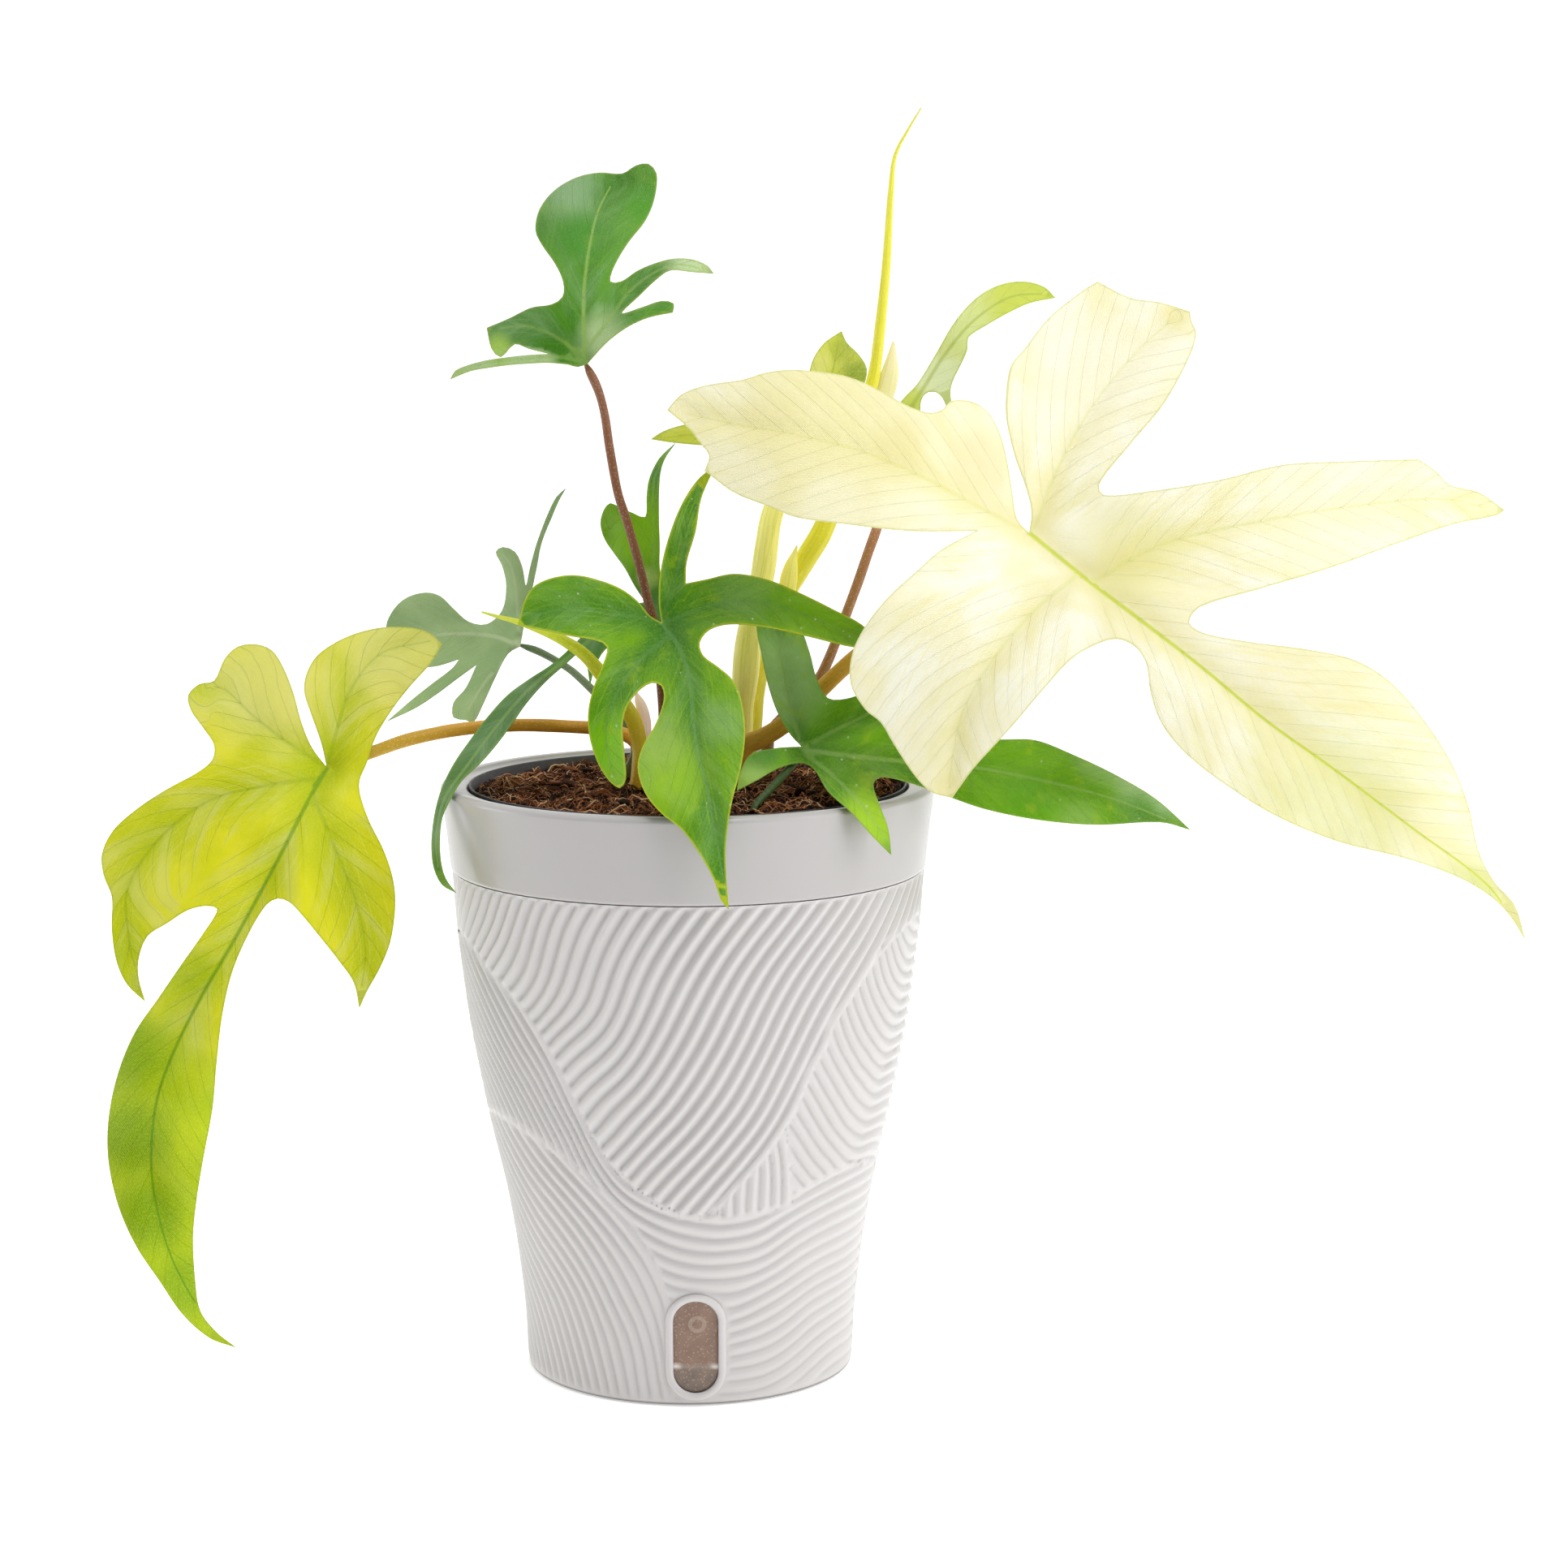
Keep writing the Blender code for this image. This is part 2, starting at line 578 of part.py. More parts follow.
LOWER_POSTS = [
    (988, 924, 30), (945, 740, 2), (960, 840, 14), (1015, 860, 18), (1112, 838, 14),
    (908, 974, 46), (945, 925, 34), (1020, 970, 54), (1050, 1003, 63), (1098, 1053, 60),
    (1085, 970, 48), (1120, 935, 32), (1200, 950, 36), (1270, 915, 22), (1300, 1012, 38),
    (1380, 985, 26), (1466, 1022, 8),
]
LOWER_STALK = [
    (928, 965, -8, 1.6), (938, 952, -2, 1.5), (955, 940, 8, 1.4), (975, 931, 18, 1.35),
    (990, 923, 25, 1.2),
]

# The green leaf at the top left
TOP = [
    (724, 448, TIP), (712, 452), (700, 449), (675, 447), (650, 448), (625, 450), (602, 453),
    (580, 457), (555, 467, TIP), (561, 457), (577, 450), (600, 444), (627, 440), (655, 437),
    (676, 436, TIP), (652, 430), (634, 424), (617, 440), (606, 430), (600, 404, TIP), (628, 392), (655, 379), (680, 375), (693, 366), (694, 348), (684, 325),
    (668, 302), (660, 284), (665, 258), (683, 235), (710, 219), (738, 213), (767, 214),
    (784, 204), (799, 202), (809, 214), (806, 246), (795, 272), (774, 299), (757, 328),
    (752, 347), (765, 347), (785, 334), (806, 325), (830, 319), (854, 320), (872, 328),
    (879, 337, TIP), (852, 335), (826, 333), (808, 345), (788, 364), (766, 386), (790, 379),
    (815, 371), (830, 374), (829, 385, TIP), (800, 391), (775, 402), (750, 420), (731, 440),
]
TOP_VEINS = [
    [(721, 446), (719, 400), (720, 350), (727, 300), (737, 260), (755, 225)],
    [(719, 441), (685, 415), (650, 402), (610, 405)],
    [(722, 432), (750, 395), (780, 355), (828, 327), (868, 332)],
    [(718, 446), (690, 440), (650, 442), (600, 448), (565, 459)],
]
TOP_POSTS = [
    (721, 446, 4), (600, 404, -22), (617, 441, -12), (655, 379, -6), (660, 284, -18),
    (720, 320, -6), (767, 214, -46), (800, 204, -44), (806, 260, -36), (752, 347, -8),
    (830, 322, -14), (879, 337, -20), (829, 380, -6), (766, 392, 2), (690, 400, 4),
    (555, 466, -16), (640, 444, -2),
]
TOP_STALK = [
    (818, 915, 0, 2.5), (817, 870, 0, 2.4), (812, 815, 2, 2.3), (805, 765, 5, 2.2),
    (797, 735, 6, 2.2), (790, 705, 7, 2.1), (782, 675, 7, 2.1), (772, 640, 7, 2.1),
    (762, 610, 7, 2.1), (755, 575, 6, 2.1), (750, 545, 5, 2.1), (745, 510, 3, 2.0),
    (737, 480, 1, 2.0), (722, 449, -2, 1.7),
]

# The grey-green leaf at the back left, seen from below
BACK = [
    (641, 796, TIP), (645, 765), (650, 740), (652, 720), (660, 697), (669, 660), (682, 630),
    (697, 602, TIP), (686, 620), (674, 640), (663, 667), (655, 700), (648, 722), (644, 700),
    (635, 680), (620, 674), (611, 680), (619, 697), (624, 722), (619, 752), (600, 769),
    (578, 766), (557, 748), (542, 734), (525, 730), (502, 736), (486, 750), (476, 772),
    (482, 800), (505, 820), (535, 821), (566, 812, TIP), (558, 823), (532, 843), (508, 862),
    (478, 888, TIP), (512, 872), (538, 855), (562, 837), (588, 818, TIP), (574, 848), (559, 866),
    (559, 884), (574, 887), (583, 890), (594, 870), (610, 835), (626, 805),
]
BACK_VEINS = [
    [(641, 796), (610, 785), (565, 782), (520, 785), (482, 790)],
    [(641, 796), (640, 760), (637, 725), (630, 695), (616, 680)],
    [(638, 798), (612, 825), (590, 855), (575, 882)],
]
BACK_POSTS = [
    (641, 796, -30), (697, 602, -46), (616, 678, -40), (630, 740, -36), (542, 734, -52),
    (480, 770, -60), (505, 820, -50), (478, 888, -40), (574, 887, -20), (588, 820, -34),
    (590, 770, -44),
]
BACK_STALK = [
    (784, 925, -9, 1.7), (770, 893, -12, 1.5), (735, 855, -19, 1.3), (700, 823, -28, 1.2),
    (665, 803, -34, 1.1), (642, 795, -36, 1.0),
]

# The dark green leaf behind the middle one, whose long lobe hangs over the left of the rim
HIND = [
    (795, 742, TIP), (782, 722), (770, 700), (757, 682), (745, 664), (740, 645), (744, 628),
    (752, 620), (765, 626), (780, 632), (795, 637), (797, 610), (800, 590), (812, 565),
    (833, 545, TIP), (818, 568), (813, 590), (812, 640), (813, 670), (813, 700), (818, 718),
    (842, 728), (862, 745, TIP), (846, 765), (822, 780), (798, 782), (770, 785), (746, 800),
    (734, 820), (727, 845, TIP), (723, 815), (722, 800), (715, 802), (698, 817), (672, 840), (648, 867),
    (632, 890), (612, 917), (592, 940), (568, 963), (554, 987), (545, 1007), (542, 1030),
    (543, 1060), (549, 1082), (562, 1100, TIP), (545, 1090), (535, 1070), (532, 1047), (533, 1023),
    (537, 997), (545, 970), (560, 940), (580, 911), (598, 887), (625, 857), (652, 837),
    (678, 820), (698, 803), (713, 788), (735, 765), (762, 748),
]
HIND_VEINS = [
    [(795, 742), (760, 762), (725, 790), (690, 818), (650, 852), (610, 898), (575, 945),
     (548, 985), (538, 1030), (541, 1075)],
    [(790, 735), (770, 712), (755, 685), (752, 650), (757, 630)],
    [(800, 735), (805, 690), (805, 640), (806, 590), (824, 556)],
]
HIND_POSTS = [
    (795, 742, -8), (833, 545, -24), (805, 640, -12), (745, 640, -16), (752, 620, -10),
    (790, 700, -9), (862, 745, -4), (770, 780, 0), (727, 845, 8), (713, 790, 2),
    (678, 822, 4), (650, 864, 16), (625, 857, 2), (612, 917, 24), (580, 911, 14),
    (545, 970, 24), (568, 963, 34), (532, 1030, 32), (543, 1030, 40), (562, 1100, 48),
    (535, 1070, 38),
]
HIND_STALK = [
    (832, 920, -9, 1.8), (830, 860, -11, 1.7), (818, 800, -13, 1.6), (796, 745, -14, 1.3),
]

# The yellow-green leaf behind the pale one, towards the right
FAR_RIGHT = [
    (1116, 512, TIP), (1108, 500), (1113, 491), (1130, 473), (1153, 436), (1176, 397), (1203, 367),
    (1232, 351), (1262, 347), (1287, 354), (1300, 367, TIP), (1270, 373), (1245, 384), (1215, 401),
    (1193, 416), (1188, 440), (1176, 462), (1171, 488), (1176, 502), (1200, 520), (1212, 550),
    (1205, 590, TIP), (1180, 578), (1155, 552), (1138, 532), (1128, 560), (1105, 585), (1075, 600, TIP),
    (1078, 572), (1092, 545), (1104, 525),
]
FAR_RIGHT_VEINS = [
    [(1116, 512), (1138, 478), (1165, 436), (1200, 395), (1245, 366), (1290, 362)],
    [(1118, 514), (1150, 525), (1180, 550), (1200, 582)],
    [(1114, 514), (1105, 540), (1090, 575), (1078, 596)],
]
FAR_RIGHT_POSTS = [
    (1116, 512, -26), (1300, 367, -48), (1200, 395, -34), (1153, 436, -32), (1205, 590, -34),
    (1190, 430, -30), (1075, 600, -28), (1160, 520, -26),
]
FAR_RIGHT_STALK = [
    (948, 905, -22, 1.9), (985, 865, -20, 1.8), (1010, 835, -19, 1.7), (1030, 790, -20, 1.6),
    (1045, 750, -21, 1.6), (1058, 715, -23, 1.6), (1070, 680, -25, 1.6), (1080, 652, -27, 1.6),
    (1096, 590, -38, 1.5), (1115, 514, -32, 1.2),
]

# The yellow-green leaf behind the pale one, towards the left
FAR_LEFT = [
    (972, 590, TIP), (960, 578), (930, 562), (898, 551), (860, 548), (828, 545), (802, 541, TIP),
    (818, 531), (840, 524), (880, 516), (920, 512), (950, 516), (972, 520), (985, 500), (995, 475),
    (998, 455), (1003, 440), (1014, 424), (1024, 416), (1037, 408, TIP), (1043, 422), (1058, 437),
    (1068, 455), (1062, 480), (1045, 505), (1025, 522), (1040, 528), (1075, 535), (1098, 552, TIP),
    (1078, 562), (1050, 566), (1015, 566), (1005, 575), (1020, 598), (1035, 628, TIP), (1008, 618),
    (985, 605), (965, 612), (935, 612), (905, 600, TIP), (925, 596), (950, 594),
]
FAR_LEFT_VEINS = [
    [(972, 590), (990, 550), (1010, 505), (1025, 460), (1034, 416)],
    [(970, 586), (930, 548), (880, 535), (812, 540)],
    [(975, 586), (1010, 552), (1050, 548), (1090, 552)],
]
FAR_LEFT_POSTS = [
    (972, 590, 0), (802, 541, 8), (900, 535, 10), (1037, 408, -12), (1020, 480, -2),
    (1098, 552, -4), (1035, 628, 0), (905, 600, 12), (985, 530, 4),
]
FAR_LEFT_STALK = [
    (914, 905, -12, 3.2), (916, 868, -10, 3.2), (919, 830, -8, 4.2), (924, 775, -7, 3.8),
    (940, 705, -7, 3.7), (950, 640, -8, 3.4), (962, 605, -8, 2.6), (970, 592, -7, 2.0),
]

# Rolled young leaves and the sheaths at their feet
SPIKE = [
    (928, 915, -18, 2.2), (934, 860, -17, 2.2), (948, 790, -16, 2.4), (975, 718, -15, 3.4),
    (1012, 655, -16, 3.6), (1030, 610, -17, 3.0), (1050, 550, -18, 2.4), (1075, 468, -18, 2.3),
    (1080, 440, -18, 2.0), (1086, 390, -18, 1.7), (1092, 330, -17, 1.45), (1098, 235, -16, 1.0),
    (1103, 192, -14, 0.65), (1120, 158, -11, 0.4), (1135, 133, -9, 0.2),
]
SHOOT = [
    (790, 920, 5, 2.3), (780, 885, 7, 2.2), (762, 857, 10, 2.0), (740, 830, 13, 1.9),
    (725, 812, 15, 1.7), (710, 799, 15, 1.6), (690, 787, 14, 1.4), (665, 776, 10, 1.1),
    (637, 766, 4, 0.8), (615, 760, -2, 0.5), (594, 754, -8, 0.25),
]
# The short sheath that stands against the spike, from inside the spike to its free tip
SPIKE_SHEATH = [
    (1046, 560, -18, 1.2), (1066, 532, -19, 1.8), (1088, 490, -20, 2.2), (1096, 462, -20, 2.1),
    (1099, 440, -20, 1.2), (1101, 421, -20, 0.3),
]

# Where each stalk enters the soil: right of the axis, behind it, and the stalk's radius there
ROOTS = {
    "lime": (-14.5, 3.0, 2.6),
    "top": (-7.5, 0.0, 2.7),
    "back": (-21.0, 9.0, 2.0),
    "hind": (-4.0, 9.0, 2.1),
    "centre": (3.0, -8.0, 2.5),
    "lower": (21.0, 12.0, 1.9),
    "ghost": (14.0, 2.0, 3.5),
    "far_left": (11.0, 12.0, 3.4),
    "far_right": (25.0, 24.0, 2.2),
    "spike": (13.0, 22.0, 2.4),
    "shoot": (-15.0, -6.0, 2.5),
    "stem_left": (-12.0, 13.0, 4.5),
    "stem_right": (3.0, 19.5, 5.0),
}


def make_pot(plastic, grey_plastic, clear_plastic):
    """The outer pot with its window, the smooth collar on top, and the grow pot inside."""
    outer = list(reversed(POT_PROFILE))
    inner = [(radius - WALL, max(height, FLOOR)) for radius, height in POT_PROFILE[1:]]
    body = add_turned("pot_body", outer + [(0.0, 0.0), (0.0, FLOOR)] + inner, plastic)
    front = -wall_radius(WINDOW_TOP) - 5.0
    back = -wall_radius(WINDOW_BOTTOM) + WALL + 4.0
    opening = stadium_prism(
        "window_opening", WINDOW_WIDTH, WINDOW_BOTTOM, WINDOW_TOP, front, back, plastic
    )
    cut(body, opening, "DIFFERENCE")
    smooth(body)

    lens_outer = [(wall_radius(h) - 0.6, h) for h in (40.0, 20.0, 2.0)]
    lens_inner = [(wall_radius(h) - WALL + 0.2, h) for h in (2.0, 20.0, 40.0)]
    lens = add_turned("water_window", lens_outer + lens_inner, clear_plastic, 144)
    slot = stadium_prism(
        "lens_outline", WINDOW_WIDTH - 2 * GAP, WINDOW_BOTTOM + GAP, WINDOW_TOP - GAP,
        front, back, clear_plastic,
    )
    cut(lens, slot, "INTERSECT")
    smooth(lens)

    inner_wall = wall_radius(SEAM_HEIGHT) - WALL
    foot = SEAM_HEIGHT + GAP
    collar = [
        (RIM_RADIUS - 1.2, POT_HEIGHT), (RIM_RADIUS - 0.3, POT_HEIGHT - 0.6),
        (RIM_RADIUS, POT_HEIGHT - 2.0), (RIM_RADIUS - 1.6, POT_HEIGHT - 14.0),
        (RIM_RADIUS - 2.8, foot + 0.8), (RIM_RADIUS - 3.3, foot),
        (inner_wall - GAP, foot), (inner_wall - GAP - 1.2, foot - 9.0),
        (GROW_RADIUS_TOP + 0.6, foot - 9.0), (GROW_RADIUS_TOP + 0.6, LEDGE_HEIGHT),
        (GROW_RADIUS_TOP + 3.2, LEDGE_HEIGHT), (GROW_RADIUS_TOP + 3.6, POT_HEIGHT - 1.8),
        (GROW_RADIUS_TOP + 5.0, POT_HEIGHT - 1.5), (GROW_RADIUS_TOP + 5.4, POT_HEIGHT - 0.2),
    ]
    smooth(add_turned("pot_rim", collar, plastic))

    taper_top = GROW_RADIUS_TOP
    lip_bottom = LEDGE_HEIGHT + GAP
    slope = (GROW_RADIUS_TOP - GROW_RADIUS_BOTTOM) / (LEDGE_HEIGHT - GROW_BOTTOM)
    shoulder = taper_top - slope * 30.0
    cup = [
        (taper_top + 2.6, LEDGE_HEIGHT + 2.4), (taper_top + 2.8, lip_bottom),
        (taper_top - 0.1, lip_bottom), (shoulder, LEDGE_HEIGHT - 30.0),
        (GROW_RADIUS_BOTTOM, GROW_BOTTOM), (WICK_RADIUS, GROW_BOTTOM),
        (WICK_RADIUS - 2.0, WICK_BOTTOM), (0.0, WICK_BOTTOM), (0.0, WICK_BOTTOM + GROW_WALL),
        (WICK_RADIUS - 2.0 - GROW_WALL, WICK_BOTTOM + GROW_WALL),
        (WICK_RADIUS - GROW_WALL, GROW_BOTTOM + GROW_WALL),
        (GROW_RADIUS_BOTTOM - GROW_WALL, GROW_BOTTOM + GROW_WALL),
        (shoulder - GROW_WALL, LEDGE_HEIGHT - 30.0), (taper_top - GROW_WALL, LEDGE_HEIGHT + 2.4),
    ]
    smooth(add_turned("grow_pot", cup, grey_plastic))


def make_soil(coir):
    """The soil that fills the grow pot, with a plain hole for each stalk and stem."""
    slope = (GROW_RADIUS_TOP - GROW_RADIUS_BOTTOM) / (LEDGE_HEIGHT - GROW_BOTTOM)

    def reach(height):
        return GROW_RADIUS_TOP - slope * (LEDGE_HEIGHT - height) - GROW_WALL - 2 * GAP

    floor = GROW_BOTTOM + GROW_WALL + GAP
    profile = [(0.0, SOIL_TOP + 1.0)]
    for share in (0.3, 0.6, 0.85):
        lift = 1.0 * math.cos(share * math.pi / 2)
        profile.append((reach(SOIL_TOP) * share, SOIL_TOP + lift))
    profile += [
        (reach(SOIL_TOP - 1.5), SOIL_TOP - 1.5), (reach(LEDGE_HEIGHT - 30.0), LEDGE_HEIGHT - 30.0),
        (reach(floor), floor), (WICK_RADIUS - GROW_WALL - GAP, floor),
        (WICK_RADIUS - 2.0 - GROW_WALL - GAP, WICK_BOTTOM + GROW_WALL + GAP),
        (0.0, WICK_BOTTOM + GROW_WALL + GAP),
    ]
    soil = add_turned("soil", profile, coir)
    holes = bpy.data.collections.new("stalk_holes")
    sides = 12
    for name, (x, y, radius) in ROOTS.items():
        wide = (radius + 0.35) / math.cos(math.pi / sides)
        ends = [np.array([x, y, ROOT_BOTTOM - GAP]), np.array([x, y, SOIL_TOP + 6.0])]
        places, faces = tube(ends, [wide, wide], sides)
        hole = as_cutter(add_object("hole_" + name, places, faces, coir))
        holes.objects.link(hole)
    step = soil.modifiers.new("Stalk holes", "BOOLEAN")
    step.operation = "DIFFERENCE"
    step.operand_type = "COLLECTION"
    step.collection = holes
    step.solver = "EXACT"
    smooth(soil)


def make_stems(bark):
    """The two short stems that the stalks rise round."""
    for name, height in (("stem_left", 16.0), ("stem_right", 18.0)):
        x, y, radius = ROOTS[name]
        levels = [
            (ROOT_BOTTOM, radius), (SOIL_TOP + 3.0, radius), (SOIL_TOP + 8.0, radius * 0.92),
            (SOIL_TOP + height - 2.5, radius * 0.8), (SOIL_TOP + height, radius * 0.5),
        ]
        centres = [np.array([x, y, level]) for level, _ in levels]
        places, faces = tube(centres, [size for _, size in levels], 14)
        smooth(add_object(name, places, faces, bark))


def make_leaf(name, outline, veins, posts, stalk, crease, blade_finish, stalk_finish):
    """A blade and the stalk that carries it."""
    relief = Relief(posts, veins, crease)
    blade = add_blade("leaf_" + name, outline, veins, relief, blade_finish)
    smooth(blade, 60)
    smooth(
        add_seated_stalk(
            "stalk_" + name, ROOTS[name], stalk, stalk_finish, relief, outline, blade
        )
    )


def make_spike(finish):
    """The rolled new leaf, with the short sheath beside it grown from the same stalk."""
    spike = add_stalk("new_leaf_spike", ROOTS["spike"], SPIKE, finish)
    knots = [np.array([*in_space(*sheet_mm(point), point[2]), point[3]]) for point in SPIKE_SHEATH]
    places, faces = tube([knot[:3] for knot in knots], [knot[3] for knot in knots], 8)
    cut(spike, add_object("spike_sheath", places, faces, finish), "UNION")
    smooth(spike)


def make_plant():
    cream = material("cream_leaf", (0.93, 0.89, 0.6), 0.4)
    lime = material("lime_leaf", (0.45, 0.55, 0.03), 0.4)
    green = material("green_leaf", (0.06, 0.22, 0.03), 0.35)
    dull = material("leaf_underside", (0.2, 0.3, 0.14), 0.5)
    yellow_green = material("yellow_green_leaf", (0.4, 0.5, 0.08), 0.4)
    brown = material("brown_stalk", (0.28, 0.13, 0.05), 0.45)
    olive = material("olive_stalk", (0.25, 0.2, 0.04), 0.45)
    yellow = material("yellow_shoot", (0.65, 0.6, 0.08), 0.4)
    bark = material("stem_bark", (0.2, 0.16, 0.07), 0.7)

    make_leaf("ghost", GHOST, GHOST_VEINS, GHOST_POSTS, GHOST_STALK, 1.6, cream, olive)
    make_leaf("lime", LIME, LIME_VEINS, LIME_POSTS, LIME_STALK, 1.6, lime, brown)
    make_leaf("centre", CENTRE, CENTRE_VEINS, CENTRE_POSTS, CENTRE_STALK, 1.2, green, olive)
    make_leaf("lower", LOWER, LOWER_VEINS, LOWER_POSTS, LOWER_STALK, 1.2, green, olive)
    make_leaf("top", TOP, TOP_VEINS, TOP_POSTS, TOP_STALK, 1.2, green, brown)
    make_leaf("back", BACK, BACK_VEINS, BACK_POSTS, BACK_STALK, -0.8, dull, olive)
    make_leaf("hind", HIND, HIND_VEINS, HIND_POSTS, HIND_STALK, 0.8, green, olive)
    make_leaf(
        "far_right", FAR_RIGHT, FAR_RIGHT_VEINS, FAR_RIGHT_POSTS, FAR_RIGHT_STALK, 1.0,
        yellow_green, brown,
    )
    make_leaf(
        "far_left", FAR_LEFT, FAR_LEFT_VEINS, FAR_LEFT_POSTS, FAR_LEFT_STALK, 1.0,
        yellow_green, yellow,
    )
    make_spike(yellow)
    smooth(add_stalk("rolled_shoot", ROOTS["shoot"], SHOOT, yellow))
    make_stems(bark)


def main():
    for old in list(bpy.data.objects):
        bpy.data.objects.remove(old, do_unlink=True)
    plastic = material("white_plastic", (0.76, 0.75, 0.74), 0.35)
    grey_plastic = material("dark_grey_plastic", (0.06, 0.06, 0.065), 0.5)
    clear_plastic = material("clear_plastic", (0.6, 0.5, 0.42), 0.15)
    coir = material("coir_soil", (0.06, 0.03, 0.018), 0.95)
    make_pot(plastic, grey_plastic, clear_plastic)
    make_soil(coir)
    make_plant()


main()
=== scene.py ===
"""Looks of a philodendron with one pale cream leaf, in its white self-watering pot.

Leaves and stalks are drawn on the same sheet as the solids, and the pot's wave relief is drawn on it
too. The sheet stands square to the line of sight, and its points are in quarter millimetres, x to the
right and y down. In an outline, TIP marks a corner. Posts and stalks give the depth towards the
viewer next, in millimetres, and a stalk then gives its radius. Lengths below are in millimetres
unless a comment says otherwise, and meshes are made in metres.
"""

import math
from functools import partial

import bpy
import numpy as np
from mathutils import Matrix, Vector, noise
from mathutils.geometry import delaunay_2d_cdt


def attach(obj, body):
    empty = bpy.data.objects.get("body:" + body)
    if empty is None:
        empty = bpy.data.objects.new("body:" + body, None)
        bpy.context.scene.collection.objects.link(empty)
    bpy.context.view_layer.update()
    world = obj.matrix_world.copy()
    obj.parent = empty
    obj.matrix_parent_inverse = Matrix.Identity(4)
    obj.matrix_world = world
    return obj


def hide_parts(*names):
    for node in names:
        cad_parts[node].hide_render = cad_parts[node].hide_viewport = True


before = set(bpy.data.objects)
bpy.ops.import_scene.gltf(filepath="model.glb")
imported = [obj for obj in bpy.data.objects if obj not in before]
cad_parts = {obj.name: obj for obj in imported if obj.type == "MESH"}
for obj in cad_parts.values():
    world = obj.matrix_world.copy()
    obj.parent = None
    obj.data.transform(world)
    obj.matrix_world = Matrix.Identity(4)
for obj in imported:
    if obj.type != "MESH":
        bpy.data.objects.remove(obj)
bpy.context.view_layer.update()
bpy.ops.object.select_all(action="DESELECT")

MM = 0.001
BODY = "root"
SMOOTH = {"interpolation_type": "SMOOTHSTEP"}

# Camera, from the photograph's own perspective
LENS_MM = 80.8
SENSOR_MM = 36.0
VIEWPOINT = np.array([29.5, -1071.8, 343.1])
SIGHT = 1083.8
SHEET_TILT = math.radians(8.54)

# Drawing sheet
SHEET_AXIS = 848
SHEET_LEVEL = 966
SHEET_UNITS_PER_MM = 4.0
SHEET_CENTRE = np.array([0.0, 0.0, 182.1])
SHEET_RIGHT = np.array([1.0, 0.0, 0.0])
SHEET_UP = np.array([0.0, math.sin(SHEET_TILT), math.cos(SHEET_TILT)])
SHEET_NORMAL = np.cross(SHEET_RIGHT, SHEET_UP)

# Pot: its wall's profile as radius and height, and the undercut ring under its foot
POT_HEIGHT = 183.6
FOOT_EDGE = 1.2
SEAM_HEIGHT = 157.0
RIM_RADIUS = 76.0
WALL = 2.5
FLOOR = 3.0
GAP = 0.3
POT_PROFILE = [
    (50.0, 0.0), (51.0, FOOT_EDGE), (51.7, 18.0), (54.0, 38.0), (57.1, 57.0),
    (63.1, 83.0), (68.0, 109.0), (71.2, 135.0), (72.7, SEAM_HEIGHT),
]
FOOT_RING = [(50.5, 0.6), (47.5, 0.6), (47.0, 0.0), (30.0, 0.0), (0.4, 0.0)]
LEDGE_HEIGHT = 178.0
SHOULDER_HEIGHT = 148.0
GROW_RADIUS_TOP = 66.3
GROW_RADIUS_BOTTOM = 46.0
GROW_BOTTOM = 46.0
GROW_WALL = 1.5
GROW_SLOPE = (GROW_RADIUS_TOP - GROW_RADIUS_BOTTOM) / (LEDGE_HEIGHT - GROW_BOTTOM)
WICK_RADIUS = 17.0
WICK_TAPER = 2.0
WICK_BOTTOM = 6.0

# Water window, and the band round it: how far the band's middle lies outside the window and off the
# wall, and half its width and thickness. The drop behind the window and the waterline are in metres
WINDOW_X = 3.0
WINDOW_WIDTH = 14.4
WINDOW_BOTTOM = 4.0
WINDOW_TOP = 34.0
BAND_MARGIN = 0.75
BAND_LIFT = 0.1
BAND_HALF_WIDTH = 1.2
BAND_HALF_THICKNESS = 0.85
BUBBLE = (0.0034, -0.0505, 0.0262)
BUBBLE_RADIUS = 0.0026
WATERLINE = 0.0135

# Wave relief: the radius at which the wall is unrolled, how far the wall is set in under it, the
# share of the ridges that is in the mesh and the middle of their height, the swing of the line where
# front and back meet, the ridges' depths, the painted shade in their grooves, and how their crests
# are sharpened
RELIEF_RADIUS = 62.0
RELIEF_SINK = 0.3
MESH_SHARE = 0.8
CREST_MEAN = 0.66
SIDE_SWING = 9.0
SIDE_WAVE = 21.0
SHIELD_DEPTH = 1.5
WAVE_DEPTH = 1.2
GROOVE_SHADE = 0.27
WAVE_BUMP = 0.26

# Soil: how far its surface stands over the solid's, how it sinks to its edge and leans to the right
# and the front, its humps as length and height, and what is strewn on it
SOIL_TOP = 174.5
SOIL_RADIUS = 65.6
SOIL_RAISE = 7.0
SOIL_SINK = 0.9
SOIL_LEAN = (0.9, -0.6)
SOIL_HUMPS = ((13.0, 1.6), (4.5, 1.9), (1.8, 1.2))
SOIL_SEED = 7
STREWN_REACH = 63.2
CRUMBS = 420
FIBRES = 2200
FIBRE_POINTS = 9
FIBRE_REACH = 64.8

# Blades: thickness, how high they swell between side veins and ripple near their edge, how wide each
# lobe folds along its midrib, how far a side vein runs on towards the tip for each millimetre that it
# leaves the midrib, the midribs' groove above and ridge below, and a crease's reach and share of its
# depth along the main midrib and along the others
BLADE = 0.55
QUILT = 0.45
EDGE_RIPPLE = 0.35
FOLD_REACH = 9.0
VEIN_SWEEP = 1.7
RIB_GROOVE = 0.12
RIB_RIDGE = 0.8
CREASES = ((6.0, 1.0), (4.0, 0.6))

